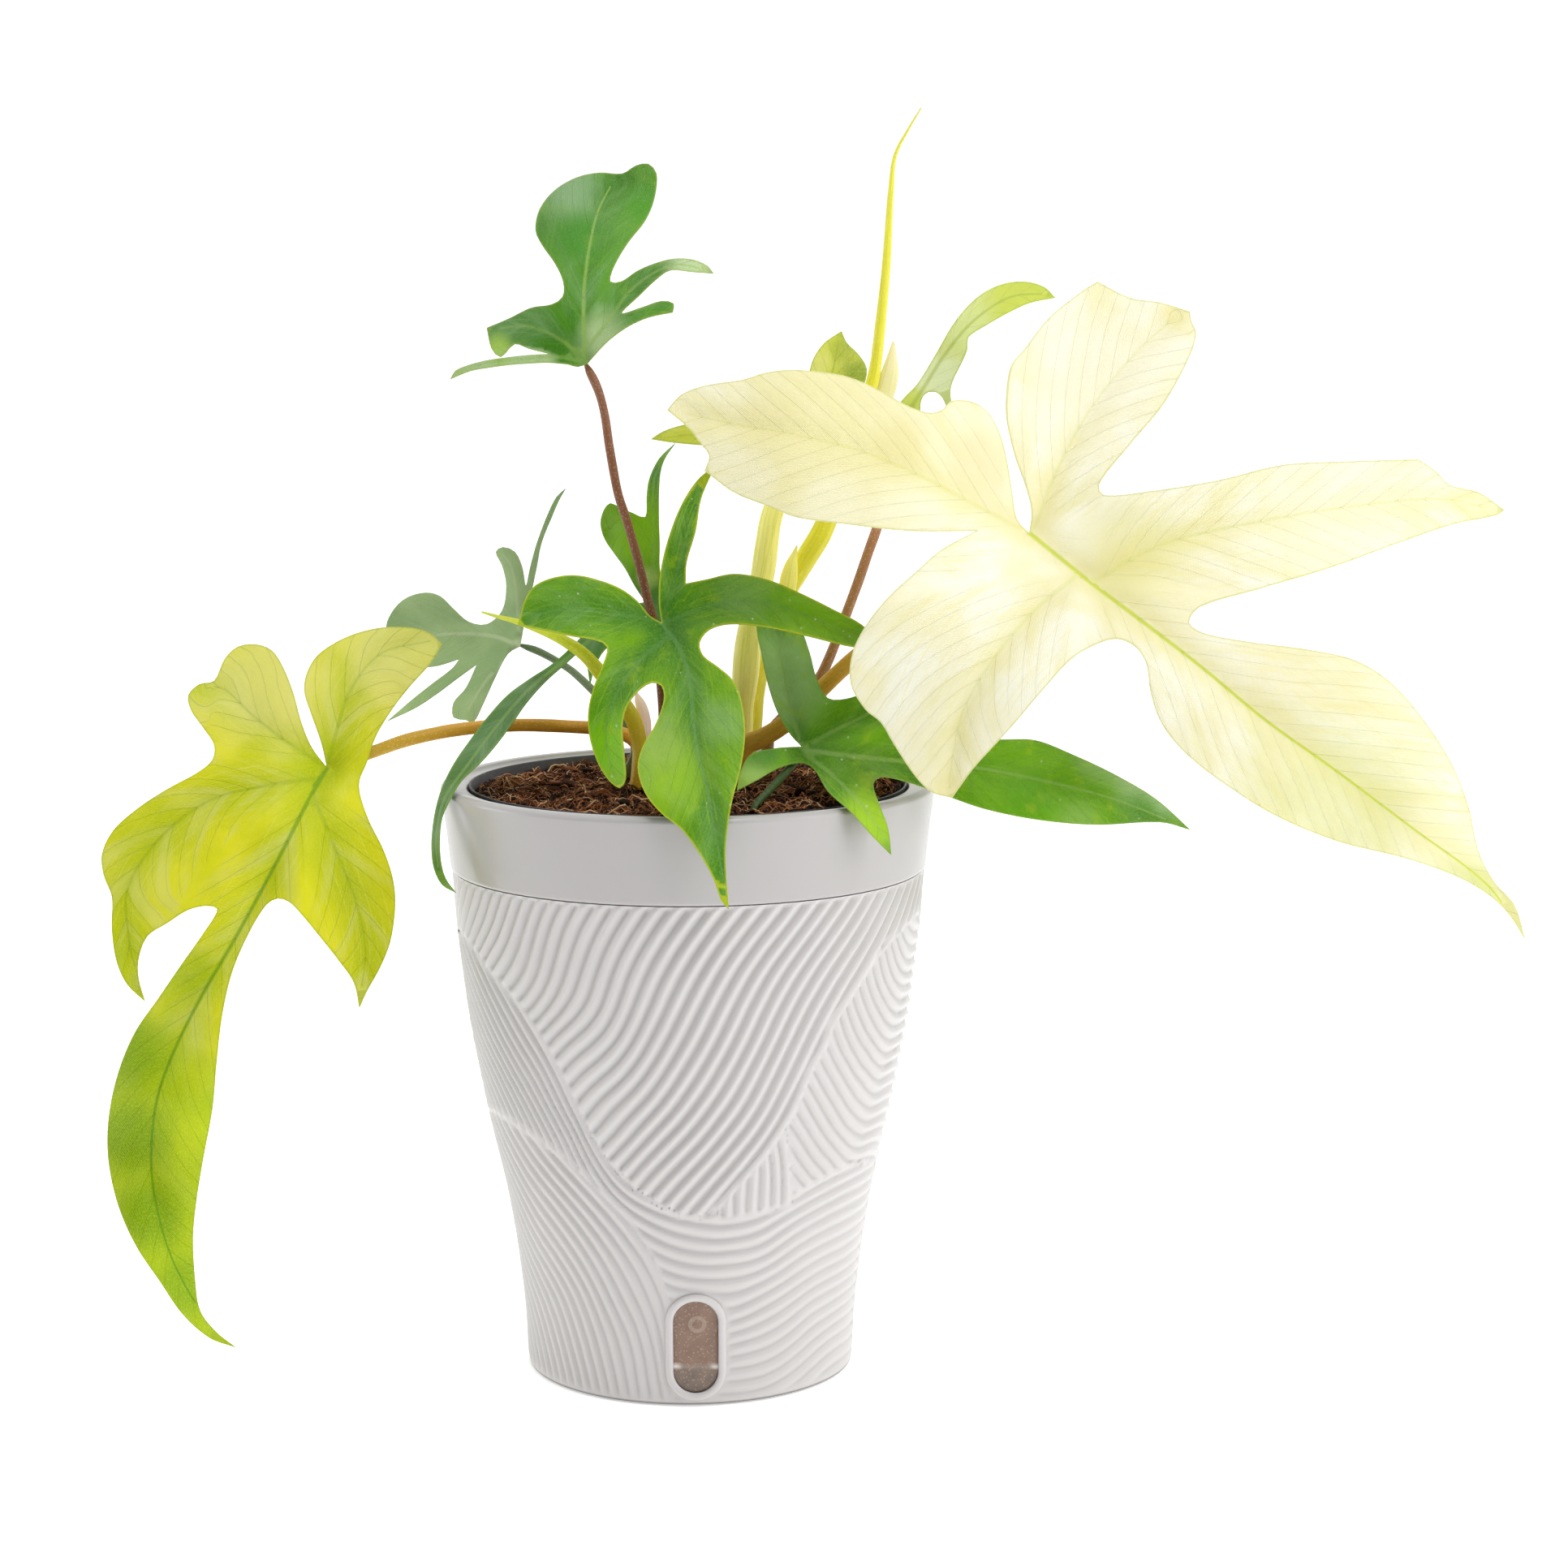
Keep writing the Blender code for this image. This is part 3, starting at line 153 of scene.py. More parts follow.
# Stalks: how deep they run into the soil, how they swell at the foot and under the blade, what a
# rolled leaf's edge laps over as a share of its radius, a sheath's thickness as a share of its
# width, and the space between the rings on a stem
ROOT_DEPTH = 12.0
STALK_FOOT = 1.15
STALK_KNEE = 0.15
ROLL_LAP = 0.17
SHEATH_FLATNESS = 0.5
STEM_RINGS = 5.2

# Fineness of the meshes
TURN_SIDES = 192
BODY_COLUMNS = 520
BODY_ROWS = 170
EDGE_STEP = 1.8
FACE_STEP = 2.0
COARSE_EDGE_STEP = 5.5
COARSE_STALK_STEP = 10.0
STALK_STEP = 2.5
STALK_SIDES = 20
ROLL_STEP = 2.0
ROLL_SIDES = 28
SHEATH_STEP = 1.5
SHEATH_SIDES = 18
STEM_SIDES = 28
STEM_LEVELS = 40
SOIL_RINGS = 62
SOIL_SIDES = 190

# Softboxes: place and width in metres, and power in watts
SOFTBOXES = {
    "key_softbox": ((1.05, -0.54, 0.75), 1.0, 5.5),
    "top_softbox": ((0.1, -0.3, 1.4), 0.45, 5.0),
    "left_softbox": ((-1.2, 0.1, 0.45), 0.6, 2.6),
}
SOFTBOX_AIM = (0.0, 0.0, 0.22)
PAPER_GLOW = 0.42

# The white room: which way its back wall lies, and how bright its front and back are
ROOM_BACK = (0.28, 0.96, 0.0)
ROOM_LIGHT = (0.12, 1.04)

TIP = 1

# The pale leaf at the upper right
GHOST = [
    (1268, 657, TIP), (1253, 640), (1246, 600), (1239, 560), (1230, 530), (1218, 509), (1202, 497),
    (1184, 493), (1170, 495), (1162, 504), (1148, 509), (1125, 503), (1092, 486), (1065, 472),
    (1035, 462), (980, 456), (945, 459), (915, 468), (870, 475), (840, 486), (822, 505, TIP),
    (848, 527), (862, 545), (874, 562), (868, 580, TIP), (905, 607), (950, 625), (980, 637),
    (1045, 646), (1120, 654), (1203, 654, TIP), (1160, 677), (1130, 703), (1095, 735), (1067, 770),
    (1050, 805), (1048, 842), (1066, 874), (1085, 890), (1100, 915), (1128, 957), (1148, 976),
    (1173, 983, TIP), (1200, 946), (1245, 897), (1285, 850), (1320, 812), (1348, 795), (1375, 787),
    (1398, 796), (1412, 817), (1418, 855), (1432, 893), (1465, 932), (1525, 977), (1580, 1009),
    (1650, 1037), (1730, 1057), (1795, 1080), (1836, 1104), (1860, 1128), (1879, 1158, TIP),
    (1866, 1115), (1840, 1085), (1821, 1047), (1808, 990), (1785, 935), (1750, 882), (1712, 840),
    (1670, 814), (1615, 801), (1540, 791), (1483, 780), (1465, 767), (1478, 748), (1550, 726),
    (1640, 699), (1720, 670), (1790, 646), (1846, 634), (1853, 628, TIP), (1822, 607), (1785, 597),
    (1768, 580), (1747, 566, TIP), (1650, 569), (1580, 573), (1500, 592), (1420, 605), (1360, 610),
    (1354, 597), (1392, 548), (1432, 500), (1462, 447), (1474, 412), (1468, 396), (1466, 384, TIP),
    (1430, 373), (1392, 367), (1352, 347, TIP), (1330, 361), (1292, 392), (1262, 430), (1246, 450),
    (1240, 480), (1240, 515), (1250, 560), (1264, 600), (1271, 630),
]
GHOST_VEINS = [
    [(1268, 657), (1340, 715), (1410, 768), (1480, 822), (1560, 888), (1640, 945), (1740, 1020),
     (1830, 1088), (1870, 1142)],
    [(1268, 657), (1200, 622), (1130, 585), (1060, 556), (980, 536), (900, 522), (840, 508)],
    [(1330, 707), (1275, 752), (1222, 815), (1185, 880), (1168, 970)],
    [(1275, 650), (1300, 585), (1340, 510), (1395, 440), (1448, 390)],
    [(1345, 718), (1430, 672), (1540, 645), (1660, 625), (1770, 615), (1840, 627)],
]
GHOST_POSTS = [
    (1268, 657, 20), (1352, 347, -24), (1466, 390, -16), (1242, 480, 0), (1330, 480, -6),
    (1100, 560, 36), (960, 540, 46), (826, 505, 38), (868, 580, 48), (1080, 472, 22),
    (1180, 495, 12), (1160, 650, 40), (1170, 760, 50), (1060, 830, 56), (1173, 983, 62),
    (1270, 850, 58), (1450, 800, 50), (1600, 900, 56), (1750, 1000, 46), (1879, 1158, 18),
    (1400, 610, 20), (1560, 640, 26), (1747, 567, 2), (1853, 628, -10), (1700, 680, 18),
    (1480, 750, 42), (1650, 1037, 46), (1700, 840, 46),
]
GHOST_STALK = [
    (917, 918, 2, 3.2), (935, 911, 2, 3.0), (965, 893, 2, 2.8), (1015, 846, 3, 2.6),
    (1048, 815, 6, 2.5), (1110, 765, 12, 2.4), (1180, 705, 12, 2.3), (1268, 659, 14, 2.0),
]

# The big lime leaf that hangs at the left
LIME = [
    (403, 946, TIP), (396, 915), (383, 878), (375, 852), (378, 830), (392, 807), (425, 786),
    (465, 774), (505, 773), (530, 780), (545, 794, TIP), (530, 818), (505, 846), (482, 876),
    (463, 908), (452, 940), (443, 962), (444, 980), (455, 1012), (472, 1046), (484, 1082),
    (487, 1115), (481, 1160), (468, 1193), (452, 1222), (443, 1242, TIP), (436, 1210), (418, 1184),
    (396, 1156), (372, 1127), (356, 1111), (342, 1107), (328, 1115), (305, 1153), (286, 1198),
    (274, 1250), (267, 1310), (262, 1365), (250, 1430), (242, 1480), (238, 1525), (241, 1580),
    (247, 1615), (266, 1640), (291, 1660, TIP), (258, 1648), (225, 1619), (198, 1580), (168, 1535),
    (146, 1485), (134, 1430), (134, 1380), (145, 1325), (166, 1273), (196, 1229), (224, 1188),
    (252, 1148), (268, 1120), (255, 1116), (232, 1121), (205, 1138), (182, 1153), (171, 1180),
    (171, 1205), (179, 1234, TIP), (157, 1213), (144, 1185), (138, 1145), (138, 1105), (128, 1078),
    (126, 1052), (140, 1023), (170, 996), (205, 973), (245, 951), (262, 936), (264, 918),
    (250, 896), (236, 876), (232, 857), (246, 843), (264, 839), (277, 812), (293, 797),
    (316, 794), (336, 802), (350, 824), (362, 855), (371, 888), (384, 920),
]
LIME_VEINS = [
    [(403, 946), (378, 990), (350, 1045), (318, 1105), (285, 1165), (250, 1225), (215, 1295),
     (195, 1350), (187, 1410), (190, 1470), (208, 1540), (238, 1600), (275, 1645)],
    [(395, 958), (330, 968), (262, 985), (200, 1030), (158, 1095), (160, 1160), (172, 1210)],
    [(385, 978), (410, 1040), (438, 1110), (450, 1170), (445, 1220)],
    [(403, 946), (355, 915), (310, 880), (278, 850), (258, 845)],
    [(403, 946), (415, 900), (432, 850), (470, 805), (530, 790)],
]
LIME_POSTS = [
    (403, 946, 14), (371, 852, 6), (545, 794, -14), (465, 774, -10), (316, 794, -14),
    (232, 857, -6), (262, 936, 14), (300, 1040, 30), (350, 1045, 34), (126, 1052, 16),
    (184, 1238, 34), (138, 1145, 26), (250, 1116, 32), (443, 1242, 30), (470, 1046, 16),
    (487, 1115, 16), (342, 1107, 32), (265, 1200, 44), (190, 1350, 52), (134, 1400, 38),
    (250, 1430, 40), (190, 1500, 48), (291, 1660, 16), (455, 1180, 24), (240, 1580, 34),
]
LIME_STALK = [
    (790, 932, -3, 2.4), (784, 915, -4, 2.2), (770, 905, -5, 2.1), (740, 898, -6, 2.0),
    (700, 895, -6, 2.0), (650, 893, -5, 2.0), (600, 895, -3, 2.0), (545, 902, 0, 2.0),
    (500, 912, 3, 2.0), (460, 926, 6, 1.9), (403, 946, 9, 1.6),
]

# The green leaf in the middle, whose long lobe hangs over the front of the rim
CENTRE = [
    (815, 767, TIP), (801, 759), (786, 741), (766, 726), (742, 716), (712, 709), (685, 711),
    (660, 721), (648, 737), (638, 770, TIP), (668, 776), (705, 784), (735, 789), (748, 797),
    (743, 818), (732, 845), (725, 875), (726, 905), (735, 936), (749, 960), (764, 971),
    (771, 960), (769, 925), (767, 895), (772, 872), (786, 852), (803, 841), (815, 845),
    (818, 862), (808, 892), (793, 918), (786, 945), (795, 977), (815, 1002), (840, 1022),
    (864, 1055), (880, 1085), (889, 1110), (898, 1120, TIP), (895, 1080), (894, 1045), (901, 992),
    (913, 945), (918, 905), (914, 865), (903, 838), (884, 821), (867, 808), (862, 792),
    (874, 776), (900, 769), (945, 773), (1000, 785), (1045, 796), (1084, 801, TIP), (1066, 773),
    (1025, 750), (980, 728), (945, 714), (905, 707), (870, 714), (845, 719, TIP), (846, 693),
    (857, 655), (864, 615), (882, 572, TIP), (858, 593), (838, 625), (822, 668), (813, 710),
    (812, 745),
]
CENTRE_VEINS = [
    [(815, 767), (838, 800), (851, 845), (855, 890), (861, 930), (872, 975), (880, 1020),
     (889, 1070), (896, 1108)],
    [(815, 767), (770, 758), (720, 751), (675, 754), (643, 768)],
    [(826, 784), (795, 808), (768, 840), (750, 880), (748, 920), (760, 962)],
    [(818, 768), (858, 752), (900, 741), (950, 745), (1000, 762), (1078, 798)],
    [(815, 767), (825, 735), (838, 690), (852, 640), (878, 577)],
]
CENTRE_POSTS = [
    (815, 767, 26), (882, 572, 2), (830, 660, 14), (742, 716, 26), (650, 740, 26),
    (700, 780, 36), (760, 965, 56), (728, 880, 44), (790, 850, 44), (850, 860, 52),
    (850, 950, 70), (795, 975, 74), (905, 980, 76), (850, 1020, 82), (898, 1120, 86),
    (905, 707, 24), (950, 770, 38), (1084, 801, 34), (915, 865, 54),
]
CENTRE_STALK = [
    (856, 928, 8, 2.3), (850, 885, 10, 2.1), (842, 840, 12, 2.0), (832, 800, 15, 1.9),
    (816, 768, 20, 1.5),
]

# The green leaf at the lower right
LOWER = [
    (988, 920, TIP), (972, 902), (957, 875), (946, 842), (938, 805), (932, 768), (940, 735, TIP),
    (965, 742), (985, 770), (998, 805), (1006, 835), (1020, 860), (1042, 861), (1075, 850),
    (1112, 838, TIP), (1108, 862), (1103, 890), (1118, 905), (1165, 906), (1230, 911), (1275, 912),
    (1320, 929), (1375, 955), (1425, 985), (1466, 1022, TIP), (1430, 1013), (1350, 1016),
    (1280, 1010), (1215, 997), (1165, 980), (1120, 964), (1085, 957), (1076, 966), (1083, 990),
    (1094, 1020), (1098, 1053, TIP), (1076, 1031), (1048, 1000), (1020, 975), (1003, 948),
    (988, 940), (960, 946), (935, 960), (908, 974, TIP), (912, 952), (925, 930), (955, 922),
]
LOWER_VEINS = [
    [(988, 924), (1050, 932), (1120, 939), (1200, 946), (1280, 961), (1370, 984), (1450, 1015)],
    [(988, 922), (976, 880), (966, 830), (955, 780), (945, 745)],
    [(995, 918), (1035, 897), (1075, 876), (1106, 848)],
    [(992, 930), (1022, 952), (1055, 985), (1078, 1015), (1095, 1045)],
]
LOWER_POSTS = [
    (988, 924, 30), (945, 740, 2), (960, 840, 14), (1015, 860, 18), (1112, 838, 14),
    (908, 974, 46), (945, 925, 34), (1020, 970, 54), (1050, 1003, 63), (1098, 1053, 60),
    (1085, 970, 48), (1120, 935, 32), (1200, 950, 36), (1270, 915, 22), (1300, 1012, 38),
    (1380, 985, 26), (1466, 1022, 8),
]
LOWER_STALK = [
    (931, 992, 44.6, 1.05), (943, 979, 42, 1.15), (960, 961, 38, 1.2), (975, 944, 33, 1.2),
    (990, 923, 25, 1.2),
]

# The green leaf at the top left
TOP = [
    (724, 448, TIP), (712, 452), (700, 449), (675, 447), (650, 448), (625, 450), (602, 453),
    (580, 457), (555, 467, TIP), (561, 457), (577, 450), (600, 444), (627, 440), (655, 437),
    (676, 436, TIP), (652, 430), (634, 424), (617, 440), (606, 430), (600, 404, TIP),
    (628, 392), (655, 379), (680, 375), (693, 366), (694, 348), (684, 325),
    (668, 302), (660, 284), (665, 258), (683, 235), (710, 219), (738, 213), (767, 214),
    (784, 204), (799, 202), (809, 214), (806, 246), (795, 272), (774, 299), (757, 328),
    (752, 347), (765, 347), (785, 334), (806, 325), (830, 319), (854, 320), (872, 328),
    (879, 337, TIP), (852, 335), (826, 333), (808, 345), (788, 364), (766, 386), (790, 379),
    (815, 371), (830, 374), (829, 385, TIP), (800, 391), (775, 402), (750, 420), (731, 440),
]
TOP_VEINS = [
    [(721, 446), (719, 400), (720, 350), (727, 300), (737, 260), (755, 225)],
    [(719, 441), (685, 415), (650, 402), (610, 405)],
    [(722, 432), (750, 395), (780, 355), (828, 327), (868, 332)],
    [(718, 446), (690, 440), (650, 442), (600, 448), (565, 459)],
]
TOP_POSTS = [
    (721, 446, 4), (600, 404, -22), (617, 441, -12), (655, 379, -6), (660, 284, -18),
    (720, 320, -6), (767, 214, -46), (800, 204, -44), (806, 260, -36), (752, 347, -8),
    (830, 322, -14), (879, 337, -20), (829, 380, -6), (766, 392, 2), (690, 400, 4),
    (555, 466, -16), (640, 444, -2),
]
TOP_STALK = [
    (818, 915, 0, 2.5), (817, 870, 0, 2.4), (812, 815, 2, 2.3), (805, 765, 5, 2.2),
    (797, 735, 6, 2.2), (790, 705, 7, 2.1), (782, 675, 7, 2.1), (772, 640, 7, 2.1),
    (762, 610, 7, 2.1), (755, 575, 6, 2.1), (750, 545, 5, 2.1), (745, 510, 3, 2.0),
    (737, 480, 1, 2.0), (722, 449, -2, 1.7),
]

# The grey-green leaf at the back left, seen from below
BACK = [
    (641, 796, TIP), (646, 768), (652, 742), (657, 720), (662, 696), (666, 674), (672, 656),
    (680, 637), (688, 618), (697, 602, TIP), (686, 612), (677, 629), (668, 651), (660, 674),
    (653, 700), (648, 722), (644, 700),
    (635, 680), (620, 674), (611, 680), (619, 697), (624, 722), (619, 752), (600, 769),
    (578, 766), (557, 748), (542, 734), (525, 730), (502, 736), (486, 750), (476, 772),
    (482, 800), (505, 820), (535, 821), (566, 812, TIP), (558, 823), (532, 843), (508, 862),
    (478, 888, TIP), (512, 872), (538, 855), (562, 837), (588, 818, TIP), (574, 848), (559, 866),
    (559, 884), (574, 887), (583, 890), (594, 870), (610, 835), (626, 805),
]
BACK_VEINS = [
    [(641, 796), (610, 785), (565, 782), (520, 785), (482, 790)],
    [(641, 796), (640, 760), (637, 725), (630, 695), (616, 680)],
    [(638, 798), (612, 825), (590, 855), (575, 882)],
]
BACK_POSTS = [
    (641, 796, -30), (697, 602, -46), (616, 678, -40), (630, 740, -36), (542, 734, -52),
    (480, 770, -60), (505, 820, -50), (478, 888, -40), (574, 887, -20), (588, 820, -34),
    (590, 770, -44),
]
BACK_STALK = [
    (784, 925, -9, 1.7), (770, 893, -12, 1.5), (735, 855, -19, 1.3), (700, 823, -28, 1.2),
    (665, 803, -34, 1.1), (642, 795, -36, 1.0),
]

# The dark green leaf behind the middle one, whose long lobe hangs over the left of the rim
HIND = [
    (795, 742, TIP), (782, 722), (770, 700), (757, 682), (745, 664), (740, 645), (744, 628),
    (752, 620), (765, 626), (780, 632), (795, 637), (797, 610), (800, 590), (812, 565),
    (833, 545, TIP), (818, 568), (813, 590), (812, 640), (813, 670), (813, 700), (818, 718),
    (842, 728), (862, 745, TIP), (846, 765), (822, 780), (798, 782), (770, 785), (746, 800),
    (734, 820), (727, 845, TIP), (723, 815), (722, 800), (715, 802), (698, 817), (672, 840),
    (648, 867), (632, 890), (612, 917), (592, 940), (568, 963), (554, 987), (545, 1007), (542, 1030),
    (543, 1060), (549, 1082), (562, 1100, TIP), (545, 1090), (535, 1070), (532, 1047), (533, 1023),
    (537, 997), (545, 970), (560, 940), (580, 911), (598, 887), (625, 857), (652, 837),
    (678, 820), (698, 803), (713, 788), (735, 765), (762, 748),
]
HIND_VEINS = [
    [(795, 742), (760, 762), (725, 790), (690, 818), (650, 852), (610, 898), (575, 945),
     (548, 985), (538, 1030), (541, 1075)],
    [(790, 735), (770, 712), (755, 685), (752, 650), (757, 630)],
    [(800, 735), (805, 690), (805, 640), (806, 590), (824, 556)],
]
HIND_POSTS = [
    (795, 742, -8), (833, 545, -24), (805, 640, -12), (745, 640, -16), (752, 620, -10),
    (790, 700, -9), (862, 745, -4), (770, 780, 0), (727, 845, 8), (713, 790, 2),
    (678, 822, 4), (650, 864, 16), (625, 857, 2), (612, 917, 24), (580, 911, 14),
    (545, 970, 24), (568, 963, 34), (532, 1030, 32), (543, 1030, 40), (562, 1100, 48),
    (535, 1070, 38),
]
HIND_STALK = [
    (832, 920, -9, 1.8), (830, 860, -11, 1.7), (818, 800, -13, 1.6), (796, 745, -14, 1.3),
]

# The yellow-green leaf behind the pale one, towards the right
FAR_RIGHT = [
    (1116, 512, TIP), (1108, 500), (1113, 491), (1130, 473), (1153, 436), (1176, 397), (1203, 367),
    (1232, 351), (1262, 347), (1287, 354), (1300, 367, TIP), (1270, 373), (1245, 384), (1215, 401),
    (1193, 416), (1192, 430), (1184, 449), (1175, 467), (1171, 481), (1172, 495), (1171, 513, TIP),
    (1166, 501), (1161, 490), (1153, 483), (1144, 483), (1137, 489), (1134, 499), (1136, 511),
    (1150, 517), (1180, 524), (1203, 534), (1212, 552),
    (1205, 590, TIP), (1180, 578), (1155, 552), (1138, 532), (1128, 560), (1105, 585),
    (1075, 600, TIP), (1078, 572), (1092, 545), (1104, 525),
]
FAR_RIGHT_VEINS = [
    [(1116, 512), (1138, 478), (1165, 436), (1200, 395), (1245, 366), (1290, 362)],
    [(1118, 514), (1150, 525), (1180, 550), (1200, 582)],
    [(1114, 514), (1105, 540), (1090, 575), (1078, 596)],
]
FAR_RIGHT_POSTS = [
    (1116, 512, -26), (1300, 367, -48), (1200, 395, -34), (1153, 436, -32), (1205, 590, -34),
    (1190, 430, -30), (1075, 600, -28), (1160, 520, -26),
]
FAR_RIGHT_STALK = [
    (948, 905, -22, 1.9), (985, 865, -20, 1.8), (1010, 835, -19, 1.7), (1030, 790, -20, 1.6),
    (1045, 750, -21, 1.6), (1058, 715, -23, 1.6), (1070, 680, -25, 1.6), (1080, 652, -27, 1.6),
    (1096, 590, -38, 1.5), (1115, 514, -32, 1.2),
]

# The yellow-green leaf behind the pale one, towards the left
FAR_LEFT = [
    (972, 590, TIP), (960, 578), (930, 562), (898, 551), (860, 548), (828, 545), (802, 541, TIP),
    (818, 531), (840, 524), (880, 516), (920, 512), (950, 516), (972, 520), (985, 500), (995, 475),
    (998, 455), (1003, 440), (1014, 424), (1024, 416), (1037, 408, TIP), (1043, 422), (1058, 437),
    (1068, 455), (1062, 480), (1045, 505), (1025, 522), (1040, 528), (1075, 535), (1098, 552, TIP),
    (1078, 562), (1050, 566), (1015, 566), (1005, 575), (1020, 598), (1035, 628, TIP), (1008, 618),
    (985, 605), (965, 612), (935, 612), (905, 600, TIP), (925, 596), (950, 594),
]
FAR_LEFT_VEINS = [
    [(972, 590), (990, 550), (1010, 505), (1025, 460), (1034, 416)],
    [(970, 586), (930, 548), (880, 535), (812, 540)],
    [(975, 586), (1010, 552), (1050, 548), (1090, 552)],
]
FAR_LEFT_POSTS = [
    (972, 590, 0), (802, 541, 8), (900, 535, 10), (1037, 408, -12), (1020, 480, -2),
    (1098, 552, -4), (1035, 628, 0), (905, 600, 12), (985, 530, 4),
]
FAR_LEFT_STALK = [
    (914, 905, -12, 3.2), (916, 868, -10, 3.2), (919, 830, -8, 4.2), (924, 775, -7, 3.8),
    (940, 705, -7, 3.7), (950, 640, -8, 3.4), (962, 605, -8, 2.6), (970, 592, -7, 2.0),
]

# Rolled young leaves and the sheaths at their feet
SPIKE = [
    (928, 915, -18, 2.2), (934, 860, -17, 2.2), (948, 790, -16, 2.4), (975, 718, -15, 3.4),
    (1012, 655, -16, 3.6), (1030, 610, -17, 3.0), (1050, 550, -18, 2.4), (1075, 468, -18, 2.3),
    (1080, 440, -18, 2.0), (1086, 390, -18, 1.7), (1092, 330, -17, 1.45), (1098, 235, -16, 1.0),
    (1103, 192, -14, 0.65), (1120, 158, -11, 0.4), (1135, 133, -9, 0.2),
]
SHOOT = [
    (790, 920, 5, 2.3), (780, 885, 7, 2.2), (762, 857, 10, 2.0), (740, 830, 13, 1.9),
    (725, 812, 15, 1.7), (710, 799, 15, 1.6), (690, 787, 14, 1.4), (665, 776, 10, 1.1),
    (637, 766, 4, 0.8), (615, 760, -2, 0.5), (594, 754, -8, 0.25),
]

# The short sheath that stands against the spike, from inside the spike to its free tip
SPIKE_SHEATH = [
    (1046, 560, -18, 1.2), (1066, 532, -19, 1.8), (1088, 490, -20, 2.2), (1096, 462, -20, 2.1),
    (1099, 440, -20, 1.2), (1101, 421, -20, 0.3),
]

# The pale sheath that laps over the foot of the spike, from its foot to its free tip
SPIKE_WRAP = [
    (965, 745, -10, 2.0), (969, 730, -10, 2.6), (972, 712, -10, 2.7), (975, 696, -10, 2.0),
    (979, 682, -11, 0.9), (982, 672, -12, 0.2),
]

# The papery sheath beside the rolled shoot, from its foot to its tip
PAPERY_SHEATH = [
    (798, 926, 5, 1.2), (797, 905, 6, 1.4), (796, 888, 6, 1.5), (791, 872, 6, 1.7),
    (787, 862, 6, 1.3), (784, 853, 6, 0.3),
]

# Where each stalk enters the soil: right of the axis, behind it, and the stalk's radius there
ROOTS = {
    "lime": (-14.5, 3.0, 2.6),
    "top": (-7.5, 0.0, 2.7),
    "back": (-21.0, 9.0, 2.0),
    "hind": (-4.0, 9.0, 2.1),
    "centre": (3.0, -8.0, 2.5),
    "lower": (20.2, -46.8, 1.1),
    "ghost": (14.0, 2.0, 3.5),
    "far_left": (11.0, 12.0, 3.4),
    "far_right": (25.0, 24.0, 2.2),
    "spike": (13.0, 22.0, 2.4),
    "shoot": (-15.0, -6.0, 2.5),
    "stem_left": (-12.0, 13.0, 4.5),
    "stem_right": (3.0, 19.5, 5.0),
}

# Wave relief of the pot: the lines where its fields of ridges end, and for each field the count of
# its ridges at places on their crests. The first three lie outside the wall
TOP_LEFT = (440, 1020)
TOP_RIGHT = (1260, 1000)
FOOT_LEFT = (480, 1800)
SHIELD_LEFT = [
    (567, 1150), (600, 1195), (640, 1240), (667, 1280), (690, 1322), (712, 1368), (742, 1425),
    (785, 1469), (836, 1498), (869, 1502),
]
SHIELD_RIGHT = [
    (1135, 1118), (1085, 1172), (1026, 1262), (1018, 1287), (999, 1320), (978, 1371), (942, 1425),
    (887, 1484), (869, 1502),
]
RIGHT_FOOT = [(1240, 1420), (1069, 1433), (1040, 1440), (1010, 1455), (978, 1476)]
WEDGE_SIDE = [(966, 1395), (971, 1407), (978, 1476)]
WEDGE_FOOT = [(978, 1484), (930, 1497), (887, 1503)]
LEFT_SIDE = [
    (480, 1290), (625, 1378), (680, 1415), (720, 1447), (771, 1498), (807, 1556), (822, 1607),
    (827, 1716), (827, 1800),
]
SHIELD_RIDGES = [
    (596, 1140, 0), (636, 1140, 3), (685, 1140, 6), (749, 1140, 9), (820, 1140, 12),
    (893, 1140, 15), (962, 1140, 18), (1021, 1140, 21), (1071, 1140, 24), (602, 1180, 2),
    (649, 1200, 5), (703, 1200, 8), (763, 1200, 11), (829, 1200, 14), (896, 1200, 17),
    (958, 1200, 20), (1015, 1200, 23), (663, 1240, 7), (728, 1240, 10), (691, 1280, 10),
    (747, 1280, 12), (811, 1280, 15), (875, 1280, 18), (935, 1280, 21), (988, 1280, 24),
    (704, 1320, 12), (762, 1320, 14), (830, 1320, 17), (894, 1320, 20), (951, 1320, 23),
    (747, 1360, 15), (801, 1360, 17), (868, 1360, 20), (930, 1360, 23), (765, 1400, 17),
    (811, 1400, 19), (858, 1400, 21), (901, 1400, 23), (941, 1400, 25), (796, 1440, 20),
    (843, 1440, 22), (888, 1440, 24),
]
